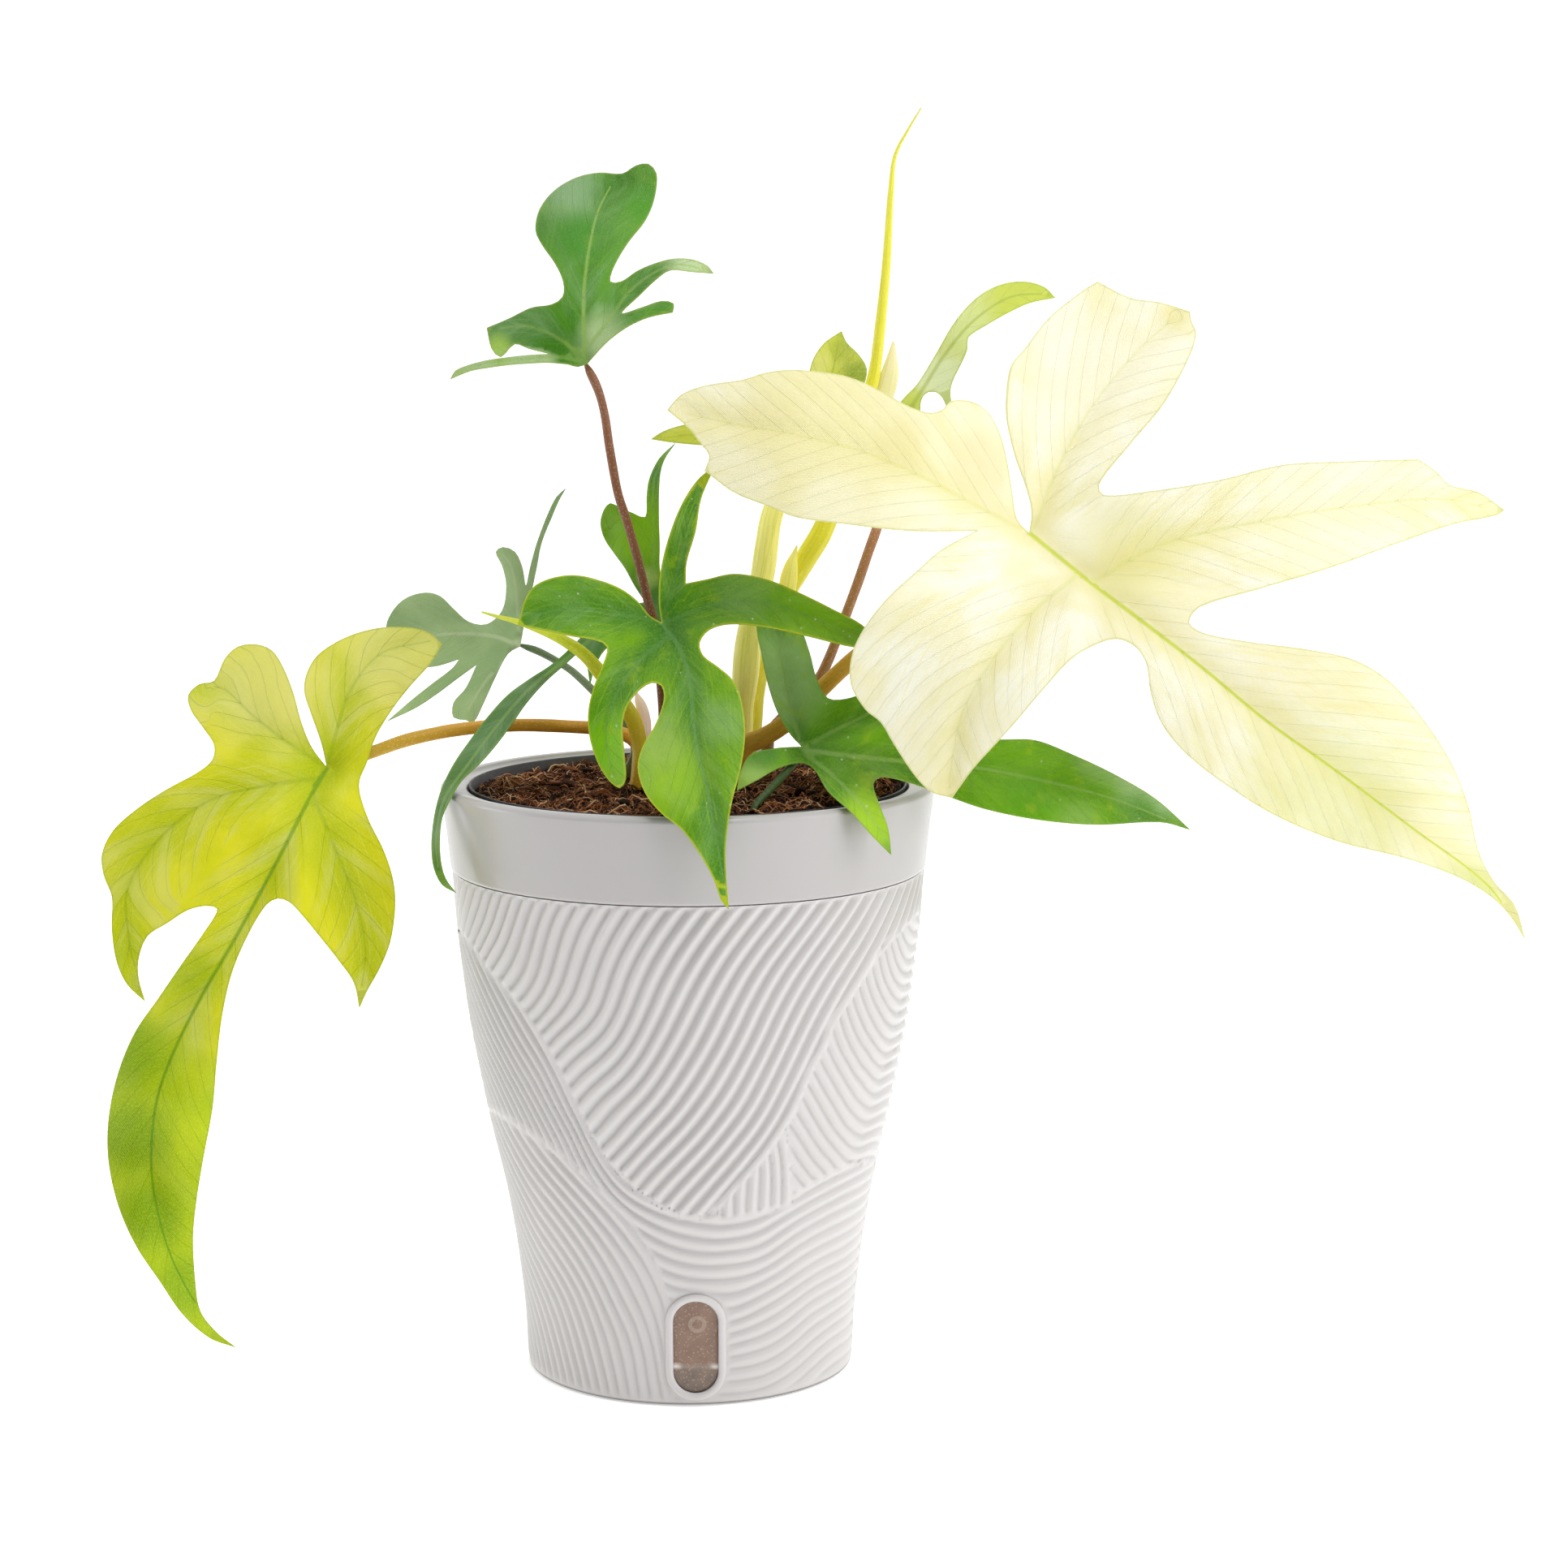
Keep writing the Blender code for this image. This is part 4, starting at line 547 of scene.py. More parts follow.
RIGHT_RIDGES = [
    (1084, 1280, 0), (1063, 1240, 0), (1050, 1240, 1), (1068, 1280, 1), (1040, 1240, 2),
    (1080, 1319, 2), (1039, 1280, 3), (1080, 1339, 3), (1025, 1280, 4), (1045, 1320, 4),
    (1076, 1356, 4), (1018, 1300, 5), (1040, 1340, 5), (1012, 1320, 6), (1036, 1360, 6),
    (1007, 1340, 7), (1031, 1380, 7), (986, 1360, 9), (1010, 1400, 9), (1042, 1438, 9),
    (979, 1380, 10), (1006, 1420, 10), (975, 1400, 11), (1003, 1440, 11), (1076, 1240, -1),
    (1090, 1240, -2), (1085, 1200, -3), (1086, 1160, -4), (1096, 1200, -4), (1101, 1180, -5),
    (1111, 1180, -6), (1116, 1140, -8), (1122, 1163, -7.5), (1120, 1182, -6.5),
    (1115, 1197, -5.5), (1115, 1214, -4.5), (1111, 1232, -3.5), (1107, 1248, -2.5),
    (1104, 1264, -1.5), (1099, 1281, -0.5), (1094, 1298, 0.5), (1089, 1314, 1.5),
    (1085, 1331, 2.5), (1080, 1348, 3.5), (1075, 1365, 4.5), (1070, 1382, 5.5),
    (1064, 1399, 6.5), (1060, 1415, 7.5), (1130, 1178, -6.5), (1125, 1210, -4.5),
    (1117, 1243, -2.5), (1108, 1277, -0.5), (1098, 1310, 1.5), (1092, 1342, 3.5),
    (1088, 1359, 4.5), (1082, 1377, 5.5), (1077, 1394, 6.5), (1072, 1410, 7.5),
    (1071, 1295, 1.5), (1063, 1311, 2.5), (1062, 1331, 3.5), (1055, 1350, 4.5),
    (1052, 1370, 5.5), (1045, 1387, 6.5), (1040, 1403, 7.5), (1032, 1416, 8.5),
    (1052, 1431, 8.5), (1025, 1430, 9.5),
]
WEDGE_RIDGES = [
    (890, 1490, 0.5), (920, 1485, 2.5), (951, 1480, 4.5), (959, 1405, 5.5), (948, 1418, 4.5),
    (964, 1480, 5.5), (940, 1432, 3.7),
]
LEFT_RIDGES = [
    (688, 1440, 0), (724, 1480, 0), (758, 1520, 0), (786, 1560, 0), (805, 1600, 0),
    (818, 1640, 0), (827, 1680, 0), (681, 1480, -3), (712, 1520, -3), (738, 1560, -3),
    (758, 1600, -3), (777, 1640, -3), (787, 1680, -3), (793, 1720, -3), (659, 1500, -6),
    (686, 1540, -6), (721, 1600, -6), (736, 1640, -6), (747, 1680, -6), (657, 1540, -9),
    (689, 1600, -9), (703, 1640, -9), (714, 1680, -9), (664, 1600, -12), (677, 1640, -12),
    (687, 1680, -12), (653, 1460, -4),
]
SWEEP_RIDGES = [
    (664, 1280, 0), (685, 1320, 0), (704, 1360, 0), (723, 1400, 0), (747, 1440, 0),
    (764, 1460, 0), (641, 1280, 2), (665, 1320, 2), (685, 1360, 2), (706, 1400, 2),
    (739, 1460, 2), (622, 1280, 4), (645, 1320, 4), (667, 1360, 4), (688, 1400, 4),
    (607, 1280, 6), (628, 1320, 6), (650, 1360, 6), (615, 1320, 8), (635, 1360, 8),
    (820, 1490, 0), (860, 1498, 0), (900, 1501, 0), (940, 1491, 0), (980, 1471, 0),
    (800, 1498, 1), (880, 1519, 1), (960, 1496, 1), (1000, 1474, 1), (1040, 1453, 1),
    (820, 1541, 3), (860, 1551, 3), (900, 1550, 3), (940, 1541, 3), (980, 1515, 3),
    (1040, 1482, 3), (820, 1574, 5), (880, 1585, 5), (940, 1572, 5), (980, 1547, 5),
    (1040, 1514, 5), (900, 1621, 7), (940, 1604, 7), (980, 1580, 7), (1040, 1545, 7),
    (920, 1660, 10), (960, 1644, 10), (1000, 1613, 10), (900, 1695, 12), (940, 1688, 12),
    (980, 1664, 12), (1020, 1631, 12), (1020, 1662, 14),
]

# What a leaf's finish takes where its own looks don't say otherwise: the shares of its colours,
# where streaks is that of streak and so on, of its side veins, finer veins, midribs and rim. A wash
# is a place on the sheet, a width, a share and a colour, and curled is a midrib's number with both
LEAF_BASE = {
    "streaks": 0.5, "valleys": 0.5, "valley_reach": 9.0, "sheens": 0.4, "blotches": 0.5, "side": 0.15,
    "fine": 0.2, "midrib": 0.6, "minor": 0.35, "rim_share": 0.5, "roughness": 0.4, "glow": 0.2,
    "gloss": 0.25, "curled": (), "washes": (),
}
LEAF_LOOKS = {
    "ghost": {
        "light": "#FFFFF6", "deep": "#FCF8DA", "streak": "#F5EEAC", "streaks": 0.45,
        "valley": "#F1EAAA", "valleys": 0.6, "vein": "#D0DC30", "side": 0.07, "fine": 0.15,
        "sheen": "#EDE690", "midrib": 0.85, "minor": 0.2, "rim": "#DADB90", "rim_share": 0.7,
        "under": "#F3EFC2", "under_deep": "#E9E4AC", "under_vein": "#F7F4D4", "roughness": 0.42,
        "glow": 0.25,
        "washes": [
            ((1640, 1000), 34, 0.45, "#DDE284"), ((1020, 540), 42, 0.8, "#EFE8AE"),
            ((1800, 1110), 16, 0.5, "#C6D85A"), ((1400, 690), 20, 0.5, "#EDE88C"),
            ((1350, 460), 30, 0.65, "#FFFEF4"), ((1650, 640), 34, 0.5, "#FFFEF0"),
            ((925, 592), 10, 0.5, "#FCF9E2"), ((1020, 622), 13, 0.55, "#FCF9E2"),
            ((1120, 640), 14, 0.45, "#FCF9E0"), ((1110, 550), 11, 0.6, "#E9E09A"),
            ((1205, 570), 15, 0.7, "#EEE5B2"), ((950, 520), 12, 0.5, "#EAE2A2"),
        ],
    },
    "lime": {
        "light": "#F0EC1E", "deep": "#DDE00A", "tip": "#A4C800", "tip_from": (0.54, 0.74),
        "streak": "#F0EE6C", "streaks": 0.4, "sheen": "#E8E89C", "sheens": 0.45,
        "valley": "#A4C000", "valleys": 0.6, "valley_reach": 12.0, "vein": "#5E9A14", "side": 0.18,
        "fine": 0.3, "midrib": 0.65, "minor": 0.2, "rim": "#A9B52C", "rim_share": 0.4,
        "under": "#C9D06A", "under_deep": "#B7C250", "under_vein": "#DDE08C", "roughness": 0.36,
        "glow": 0.3, "gloss": 0.14,
        "washes": [
            ((330, 840), 24, 0.65, "#F6F0A2"), ((500, 810), 24, 0.65, "#F6F0A2"),
            ((165, 1300), 14, 0.85, "#70A600"), ((160, 1400), 14, 0.85, "#66A000"),
            ((185, 1500), 13, 0.85, "#66A000"), ((225, 1580), 11, 0.75, "#74AA00"),
            ((246, 1320), 8, 0.5, "#C8DA18"), ((242, 1400), 8, 0.5, "#C4D814"),
            ((170, 1010), 14, 0.5, "#B8CC14"), ((238, 1200), 10, 0.6, "#90B800"),
        ],
    },
    "centre": {
        "light": "#76AE0E", "deep": "#4C8C0A", "streak": "#A0CC28", "streaks": 0.6,
        "valley": "#317A26", "valleys": 0.85, "valley_reach": 7.5, "sheen": "#8AB86C",
        "blotch": "#A6CC1E", "vein": "#74A85A", "side": 0.16, "fine": 0.3, "minor": 0.3,
        "specks": 0.7, "rim": "#C3D02C", "rim_share": 0.8, "under": "#9CBB5A",
        "under_deep": "#86A94C", "under_vein": "#C3D48A", "roughness": 0.3, "gloss": 0.18,
        "washes": [
            ((1010, 750), 22, 0.65, "#8CC814"), ((752, 930), 16, 0.85, "#8CD40C"),
            ((815, 960), 16, 0.7, "#A4D02E"), ((700, 735), 12, 0.4, "#5C9C3C"),
            # Those at (806, 915) and (888, 890) are painted sheen
            ((915, 725), 11, 0.6, "#86B45C"), ((806, 915), 11, 0.6, "#A8C864"),
            ((888, 890), 8, 0.5, "#98C07C"),
        ],
    },
    "lower": {
        "light": "#74B604", "deep": "#4E9002", "streak": "#98CC1C", "streaks": 0.55,
        "valley": "#38781A", "valleys": 0.7, "valley_reach": 7.0, "sheen": "#94C25A",
        "blotch": "#B0D224", "vein": "#9CC46A", "side": 0.16, "fine": 0.3, "minor": 0.45,
        "specks": 0.7, "rim": "#8FB84A", "rim_share": 0.45, "under": "#A9BF4C",
        "under_deep": "#98B33C", "under_vein": "#CBD77C", "roughness": 0.26, "gloss": 0.18,
        "washes": [
            ((1078, 1015), 13, 0.85, "#B8E02C"), ((1290, 975), 40, 0.45, "#84C818"),
            ((1400, 950), 11, 0.8, "#B6CEA6"), ((1350, 938), 9, 0.7, "#A6CA8C"),
            ((1440, 982), 8, 0.8, "#AECB9E"), ((1330, 1012), 8, 0.5, "#A0C674"),
            ((1270, 985), 10, 0.6, "#5CAE0C"), ((1400, 1000), 7, 0.6, "#4E8C3A"),
            ((925, 962), 9, 0.7, "#BCDC80"), ((905, 930), 6, 0.7, "#4A8A3A"),
            # That at (962, 830) is painted sheen
            ((940, 928), 6, 0.7, "#4A8A3A"), ((962, 830), 18, 0.8, "#B2D89C"),
        ],
    },
    "top": {
        "light": "#5E9C28", "deep": "#428018", "streak": "#74AA38", "streaks": 0.45,
        "valley": "#366E22", "sheen": "#8AB478", "blotch": "#90B83C", "blotches": 0.25,
        "vein": "#90B456", "midrib": 0.85, "minor": 0.45, "rim": "#9DB24E", "rim_share": 0.4,
        "under": "#B5C96B", "under_deep": "#9FBA5A", "under_vein": "#D2DE9A", "roughness": 0.3,
        "gloss": 0.2, "curled": [(3, 0.95, "#C6DEA6")],
        "washes": [
            ((852, 328), 10, 0.95, "#D0E0B0"), ((614, 430), 6, 0.9, "#A9CC4E"),
            # That at (700, 236) is painted sheen
            ((745, 421), 10, 0.9, "#BCD29C"), ((700, 236), 11, 0.7, "#9CBA92"),
            ((712, 292), 9, 0.8, "#3A8A12"), ((795, 250), 7, 0.6, "#489C12"),
        ],
    },
    "back": {
        "light": "#6E9A4A", "deep": "#5C8A40", "streak": "#7EA858", "vein": "#9AB56C",
        "rim": "#A9BC80", "under": "#AEC88E", "under_deep": "#84A66C", "under_vein": "#C6D6AA",
        "side": 0.2, "fine": 0.1, "midrib": 0.7, "minor": 0.5, "roughness": 0.42,
    },
    "hind": {
        "light": "#5A8E40", "deep": "#457A34", "streak": "#74A040", "streaks": 0.4,
        "valley": "#3A6E34", "sheen": "#8DAE7C", "sheens": 0.5, "vein": "#8CB25C", "rim": "#8FB83A",
        "rim_share": 0.4, "under": "#8FB05E", "under_deep": "#7FA252", "under_vein": "#BACB8A",
        "roughness": 0.34, "gloss": 0.2,
        "washes": [((775, 655), 20, 0.9, "#8CC404"), ((797, 712), 4, 0.8, "#C4DC7C")],
    },
    "far_right": {
        "light": "#EDF0CC", "deep": "#DDE49E", "streak": "#C9D464", "vein": "#B4C25C",
        "rim": "#B4C24A", "under": "#F4F8D4", "under_deep": "#E0EA98", "under_vein": "#F4F7DC",
        "glow": 0.4,
        "washes": [
            ((1262, 366), 17, 0.9, "#CEDA3A"), ((1190, 410), 9, 0.5, "#DDEB9C"),
            ((1164, 468), 9, 0.8, "#E4EED4"), ((1122, 494), 5, 0.7, "#CADA3C"),
        ],
    },
    "far_left": {
        "light": "#D6DC50", "deep": "#C6D03A", "streak": "#E2E67C", "vein": "#A8B83A",
        "rim": "#A8B84A", "under": "#D8DC50", "under_deep": "#C6CC30", "under_vein": "#E0E38A",
        "glow": 0.25,
        "washes": [
            ((1056, 462), 6, 0.8, "#7C9A0C"), ((1038, 430), 5, 0.6, "#98AC24"),
            ((1004, 452), 6, 0.6, "#E2E08A"),
        ],
    },
}

# The same for a stalk. Its colour turns from foot to middle over rising, and to top over ending
# Lit is painted light: how strongly a stalk glows in its middle colour
STALK_BASE = {
    "streaks": 0.35, "specks": 0.5, "warts": 0.0, "roughness": 0.42, "lit": 0.0,
    "rising": (0.0, 0.4), "ending": (0.5, 1.0),
}
STALK_LOOKS = {
    "ghost": {
        "foot": "#DDA848", "middle": "#C89A30", "top": "#C9B85C", "streak": "#AC801C",
        "speck": "#7A5814", "specks": 0.35, "lit": 0.08,
    },
    "lime": {
        "foot": "#BC6E1E", "middle": "#DCA02C", "top": "#C0A432", "streak": "#B87420",
        "speck": "#ECC878", "specks": 0.6, "rising": (0.0, 0.2),
    },
    "top": {
        "foot": "#66541E", "middle": "#7E5034", "top": "#84573C", "streak": "#5E3824",
        "speck": "#B99A80", "specks": 0.7, "warts": 0.8, "rising": (0.1, 0.35),
    },
    "back": {
        "foot": "#7C8A52", "middle": "#6A7B4E", "top": "#738864", "streak": "#566840",
        "speck": "#A4B08A", "specks": 0.4,
    },
    "green": {
        "foot": "#7E8A36", "middle": "#5F7F2A", "top": "#5C8A2C", "streak": "#46621E",
        "speck": "#A8B86A", "specks": 0.4,
    },
    "lower": {
        "foot": "#2F6A20", "middle": "#3A5420", "top": "#3A5A22", "streak": "#243C14",
        "speck": "#8FAA5A", "specks": 0.35,
    },
    "far_right": {
        "foot": "#8A6A3A", "middle": "#9A7048", "top": "#B87A66", "streak": "#7A4E3C",
        "speck": "#CDB088", "specks": 0.6,
    },
    "far_left": {
        "foot": "#EDE060", "middle": "#F1E87E", "top": "#F2EC90", "streak": "#C8CC34",
        "streaks": 0.7, "speck": "#F9F5C8", "specks": 0.25, "lit": 0.1,
    },
    "spike": {
        "foot": "#EDE26A", "middle": "#E4DC3C", "top": "#DFDC50", "streak": "#C6C41C",
        "streaks": 0.75, "speck": "#FAF7C8", "specks": 0.25, "roughness": 0.36, "lit": 0.07,
    },
    "shoot": {
        "foot": "#A85C24", "middle": "#C8AC18", "top": "#BACC1E", "streak": "#D6C23C",
        "streaks": 0.4, "speck": "#F0E8A8", "specks": 0.3, "roughness": 0.36, "lit": 0.12,
        "rising": (0.14, 0.3), "ending": (0.3, 0.55),
    },
    "bract": {
        "foot": "#CDCB5A", "middle": "#E6E0A2", "top": "#E9E2B4", "streak": "#CCC468",
        "streaks": 0.5, "speck": "#F3EED2", "specks": 0.3, "lit": 0.1,
    },
    "papery": {
        "foot": "#E9C3A4", "middle": "#F0D3C0", "top": "#F4DCCB", "streak": "#DDAF8E",
        "streaks": 0.5, "speck": "#F8E8DC", "specks": 0.3, "roughness": 0.6, "lit": 0.2,
    },
}

# Each leaf's drawing, how deep its crease and its fold along the midribs are, the millimetres
# between its side veins, its stalk's looks, and the record's slots of blade and stalk
LEAVES = {
    "ghost": {
        "outline": GHOST, "veins": GHOST_VEINS, "posts": GHOST_POSTS, "stalk": GHOST_STALK,
        "crease": 1.6, "fold": 1.0, "spacing": 8.5, "stalk_look": "ghost",
        "slots": ("cream_leaf", "olive_stalk"),
    },
    "lime": {
        "outline": LIME, "veins": LIME_VEINS, "posts": LIME_POSTS, "stalk": LIME_STALK,
        "crease": 1.6, "fold": 2.2, "spacing": 8.5, "stalk_look": "lime",
        "slots": ("lime_leaf", "brown_stalk"),
    },
    "centre": {
        "outline": CENTRE, "veins": CENTRE_VEINS, "posts": CENTRE_POSTS, "stalk": CENTRE_STALK,
        "crease": 1.2, "fold": 2.0, "spacing": 6.5, "stalk_look": "green",
        "slots": ("green_leaf", "olive_stalk"),
    },
    "lower": {
        "outline": LOWER, "veins": LOWER_VEINS, "posts": LOWER_POSTS, "stalk": LOWER_STALK,
        "crease": 1.2, "fold": 2.0, "spacing": 6.5, "stalk_look": "lower",
        "slots": ("green_leaf", "olive_stalk"),
    },
    "top": {
        "outline": TOP, "veins": TOP_VEINS, "posts": TOP_POSTS, "stalk": TOP_STALK,
        "crease": 1.2, "fold": 2.4, "spacing": 6.5, "stalk_look": "top",
        "slots": ("green_leaf", "brown_stalk"),
    },
    "back": {
        "outline": BACK, "veins": BACK_VEINS, "posts": BACK_POSTS, "stalk": BACK_STALK,
        "crease": -0.8, "fold": -1.6, "spacing": 6.5, "stalk_look": "back",
        "slots": ("leaf_underside", "olive_stalk"),
    },
    "hind": {
        "outline": HIND, "veins": HIND_VEINS, "posts": HIND_POSTS, "stalk": HIND_STALK,
        "crease": 0.8, "fold": 1.6, "spacing": 6.5, "stalk_look": "green",
        "slots": ("green_leaf", "olive_stalk"),
    },
    "far_right": {
        "outline": FAR_RIGHT, "veins": FAR_RIGHT_VEINS, "posts": FAR_RIGHT_POSTS,
        "stalk": FAR_RIGHT_STALK, "crease": 1.0, "fold": 1.4, "spacing": 6.5,
        "stalk_look": "far_right", "slots": ("yellow_green_leaf", "brown_stalk"),
    },
    "far_left": {
        "outline": FAR_LEFT, "veins": FAR_LEFT_VEINS, "posts": FAR_LEFT_POSTS,
        "stalk": FAR_LEFT_STALK, "crease": 1.0, "fold": 1.4, "spacing": 6.5,
        "stalk_look": "far_left", "slots": ("yellow_green_leaf", "yellow_shoot"),
    },
}

# Stalks that are drawn thinner than their CAD, as a share of its radius
SLIM_STALKS = {"top": 0.65}


def sheet_mm(point):
    """A point of the sheet as millimetres right of the pot's axis and above the sheet's centre."""
    across = (point[0] - SHEET_AXIS) / SHEET_UNITS_PER_MM
    up = (SHEET_LEVEL - point[1]) / SHEET_UNITS_PER_MM
    return np.array([across, up])


def sheet_line(points):
    return np.array([sheet_mm(point) for point in points])


def in_space(flat, depths):
    """The places of the sheet's points when each is moved along its line of sight."""
    flat = np.atleast_2d(flat)
    places = SHEET_CENTRE + flat[:, :1] * SHEET_RIGHT + flat[:, 1:2] * SHEET_UP
    share = 1 - np.atleast_1d(depths)[:, None] / SIGHT
    return VIEWPOINT + (places - VIEWPOINT) * share


def on_sheet(places):
    """Where places in space show on the sheet, and their depth towards the viewer."""
    away = VIEWPOINT - places
    share = ((SHEET_CENTRE - places) @ SHEET_NORMAL) / (away @ SHEET_NORMAL)
    hit = places + away * share[:, None]
    flat = np.stack([hit[:, 0], (hit - SHEET_CENTRE) @ SHEET_UP], axis=1)
    reach = np.linalg.norm(VIEWPOINT - hit, axis=1)
    return flat, SIGHT * (1 - np.linalg.norm(away, axis=1) / reach)


def spline(points, step):
    """Points about a step apart on a smooth curve through the given ones, without the last."""
    knots = [2 * points[0] - points[1], *points, 2 * points[-1] - points[-2]]
    out = []
    for p0, p1, p2, p3 in zip(knots, knots[1:], knots[2:], knots[3:]):
        length = np.linalg.norm(p2 - p1)
        slope1 = (p2 - p0) * length / max(length + np.linalg.norm(p1 - p0), 1e-6)
        slope2 = (p3 - p1) * length / max(np.linalg.norm(p3 - p2) + length, 1e-6)
        parts = max(1, math.ceil(length / step - 0.25))
        for k in range(parts):
            t = k / parts
            out.append(
                (2 * t**3 - 3 * t**2 + 1) * p1
                + (t**3 - 2 * t**2 + t) * slope1
                + (3 * t**2 - 2 * t**3) * p2
                + (t**3 - t**2) * slope2
            )
    return out


def whole_spline(points, step):
    return np.array([*spline(points, step), points[-1]])


def outline_loop(drawn, step):
    """A leaf's edge as a closed loop, with a corner at each tip."""
    corners = [i for i, point in enumerate(drawn) if len(point) == 3]
    flat = sheet_line(drawn)
    loop = []
    for start, end in zip(corners, corners[1:] + [corners[0] + len(flat)]):
        run = [flat[i % len(flat)] for i in range(start, end + 1)]
        loop += spline(run, step)
    return np.array(loop)


def inside(points, loop):
    """Which points lie within a closed loop."""
    x, y = np.asarray(points)[:, :1], np.asarray(points)[:, 1:2]
    a, b = loop, np.roll(loop, -1, axis=0)
    spans = (a[:, 1] > y) != (b[:, 1] > y)
    rise = np.where(a[:, 1] == b[:, 1], 1.0, b[:, 1] - a[:, 1])
    cross = a[:, 0] + (y - a[:, 1]) / rise * (b[:, 0] - a[:, 0])
    return np.count_nonzero(spans & (x < cross), axis=1) % 2 == 1


def along_path(points, path):
    """How far each point lies from an open path, and how far along it the nearest spot is."""
    best = np.full(len(points), 1e9)
    place = np.zeros(len(points))
    start = 0.0
    for a, b in zip(path[:-1], path[1:]):
        step = b - a
        length = np.linalg.norm(step)
        t = np.clip((points - a) @ step / max(length**2, 1e-9), 0, 1)
        away = np.linalg.norm(points - a - t[:, None] * step, axis=1)
        nearer = away < best
        best = np.where(nearer, away, best)
        place = np.where(nearer, start + t * length, place)
        start += length
    return best, place, start


def closed(loop):
    return np.vstack([loop, loop[:1]])


class Plate:
    """A smooth bent plate through posts: each has a place and a height."""

    def __init__(self, places, heights):
        self.posts = np.array(places, float)
        count = len(self.posts)
        system = np.zeros((count + 3, count + 3))
        system[:count, :count] = self.bend(self.posts) + 2.0 * np.eye(count)
        system[:count, count] = 1
        system[:count, count + 1 :] = self.posts
        system[count:, :count] = system[:count, count:].T
        self.weights = np.linalg.solve(system, np.append(np.array(heights, float), [0, 0, 0]))

    def bend(self, points):
        square = ((points[:, None, :] - self.posts[None, :, :]) ** 2).sum(-1)
        return square * np.log(np.maximum(square, 1e-9)) / 2

    def height(self, points):
        count = len(self.posts)
        tilt = self.weights[count] + points @ self.weights[count + 1 :]
        return self.bend(points) @ self.weights[:count] + tilt


def smoothstep(value, low, high):
    """0 below low and 1 above high, with a smooth rise between them."""
    t = np.clip((value - low) / (high - low), 0, 1)
    return t * t * (3 - 2 * t)


def finish_piece(piece, finish, smooth_angle):
    """Gives a piece its finish, and smooths it but for edges sharper than an angle in degrees."""
    piece.data.materials.append(finish)
    piece.data.shade_smooth()
    piece.data.set_sharp_from_angle(angle=math.radians(smooth_angle))


def new_piece(name, places, faces, finish, fields=None, smooth_angle=60):
    """A finished piece from points in millimetres, with its fields kept on its points."""
    mesh = bpy.data.meshes.new(name)
    mesh.from_pydata((np.asarray(places) * MM).tolist(), [], [list(face) for face in faces])
    mesh.validate()
    for key, values in (fields or {}).items():
        values = np.asarray(values, np.float32)
        kind = "FLOAT" if values.ndim == 1 else "FLOAT_VECTOR"
        field = mesh.attributes.new(key, kind, "POINT")
        field.data.foreach_set("value" if values.ndim == 1 else "vector", values.ravel())
    mesh.update()
    piece = bpy.data.objects.new(name, mesh)
    bpy.context.scene.collection.objects.link(piece)
    finish_piece(piece, finish, smooth_angle)
    return piece


def settle(piece, slot, *nodes):
    """Sets a piece on the plant's body, in place of the solids it stands for."""
    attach(piece, BODY)
    if nodes:
        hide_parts(*nodes)


def pick(piece):
    """Makes a piece the only one that an operator works on."""
    bpy.ops.object.select_all(action="DESELECT")
    piece.select_set(True)
    bpy.context.view_layer.objects.active = piece


def close_editing():
    """Turns all faces of the mesh that is being edited outwards, and leaves edit mode."""
    bpy.ops.mesh.select_all(action="SELECT")
    bpy.ops.mesh.normals_make_consistent(inside=False)
    bpy.ops.object.mode_set(mode="OBJECT")


def mesh_places(piece):
    """A mesh's own points, in metres."""
    places = np.empty(len(piece.data.vertices) * 3, np.float32)
    piece.data.vertices.foreach_get("co", places)
    return places.reshape(-1, 3)


def rounded(profile, radius, steps=4):
    """A closed profile whose corners are rounded, by less where an edge is short."""
    points = [np.array(point, float) for point in profile]
    out = []
    for i, corner in enumerate(points):
        back, ahead = points[i - 1] - corner, points[(i + 1) % len(points)] - corner
        reach = min(radius, 0.45 * np.linalg.norm(back), 0.45 * np.linalg.norm(ahead))
        start = corner + back / np.linalg.norm(back) * reach
        end = corner + ahead / np.linalg.norm(ahead) * reach
        for k in range(steps + 1):
            t = k / steps
            out.append((1 - t) ** 2 * start + 2 * t * (1 - t) * corner + t**2 * end)
    return out


def turned(name, profile, finish, sides=TURN_SIDES):
    """A ring turned on the Z axis from a closed profile of radius and height."""
    bpy.ops.mesh.primitive_circle_add(vertices=len(profile), radius=0.01, fill_type="NOTHING")
    piece = bpy.context.object
    piece.name = piece.data.name = name
    for vertex, (radius, height) in zip(piece.data.vertices, profile):
        vertex.co = (radius * MM, 0.0, height * MM)
    bpy.ops.object.mode_set(mode="EDIT")
    bpy.ops.mesh.select_all(action="SELECT")
    bpy.ops.mesh.spin(steps=sides, angle=2 * math.pi, center=(0, 0, 0), axis=(0, 0, 1))
    bpy.ops.mesh.select_all(action="SELECT")
    bpy.ops.mesh.remove_doubles(threshold=1e-6)
    bpy.ops.mesh.delete_loose()
    close_editing()
    finish_piece(piece, finish, 40)
    bpy.ops.object.select_all(action="DESELECT")
    return piece


def ring_faces(rings, sides, looped=False):
    """Faces between rings of points that follow each other, or also from the last to the first."""
    faces = []
    for ring in range(rings if looped else rings - 1):
        here, ahead = ring * sides, (ring + 1) % rings * sides
        for k in range(sides):
            after = (k + 1) % sides
            faces.append((here + k, here + after, ahead + after, ahead + k))
    return faces


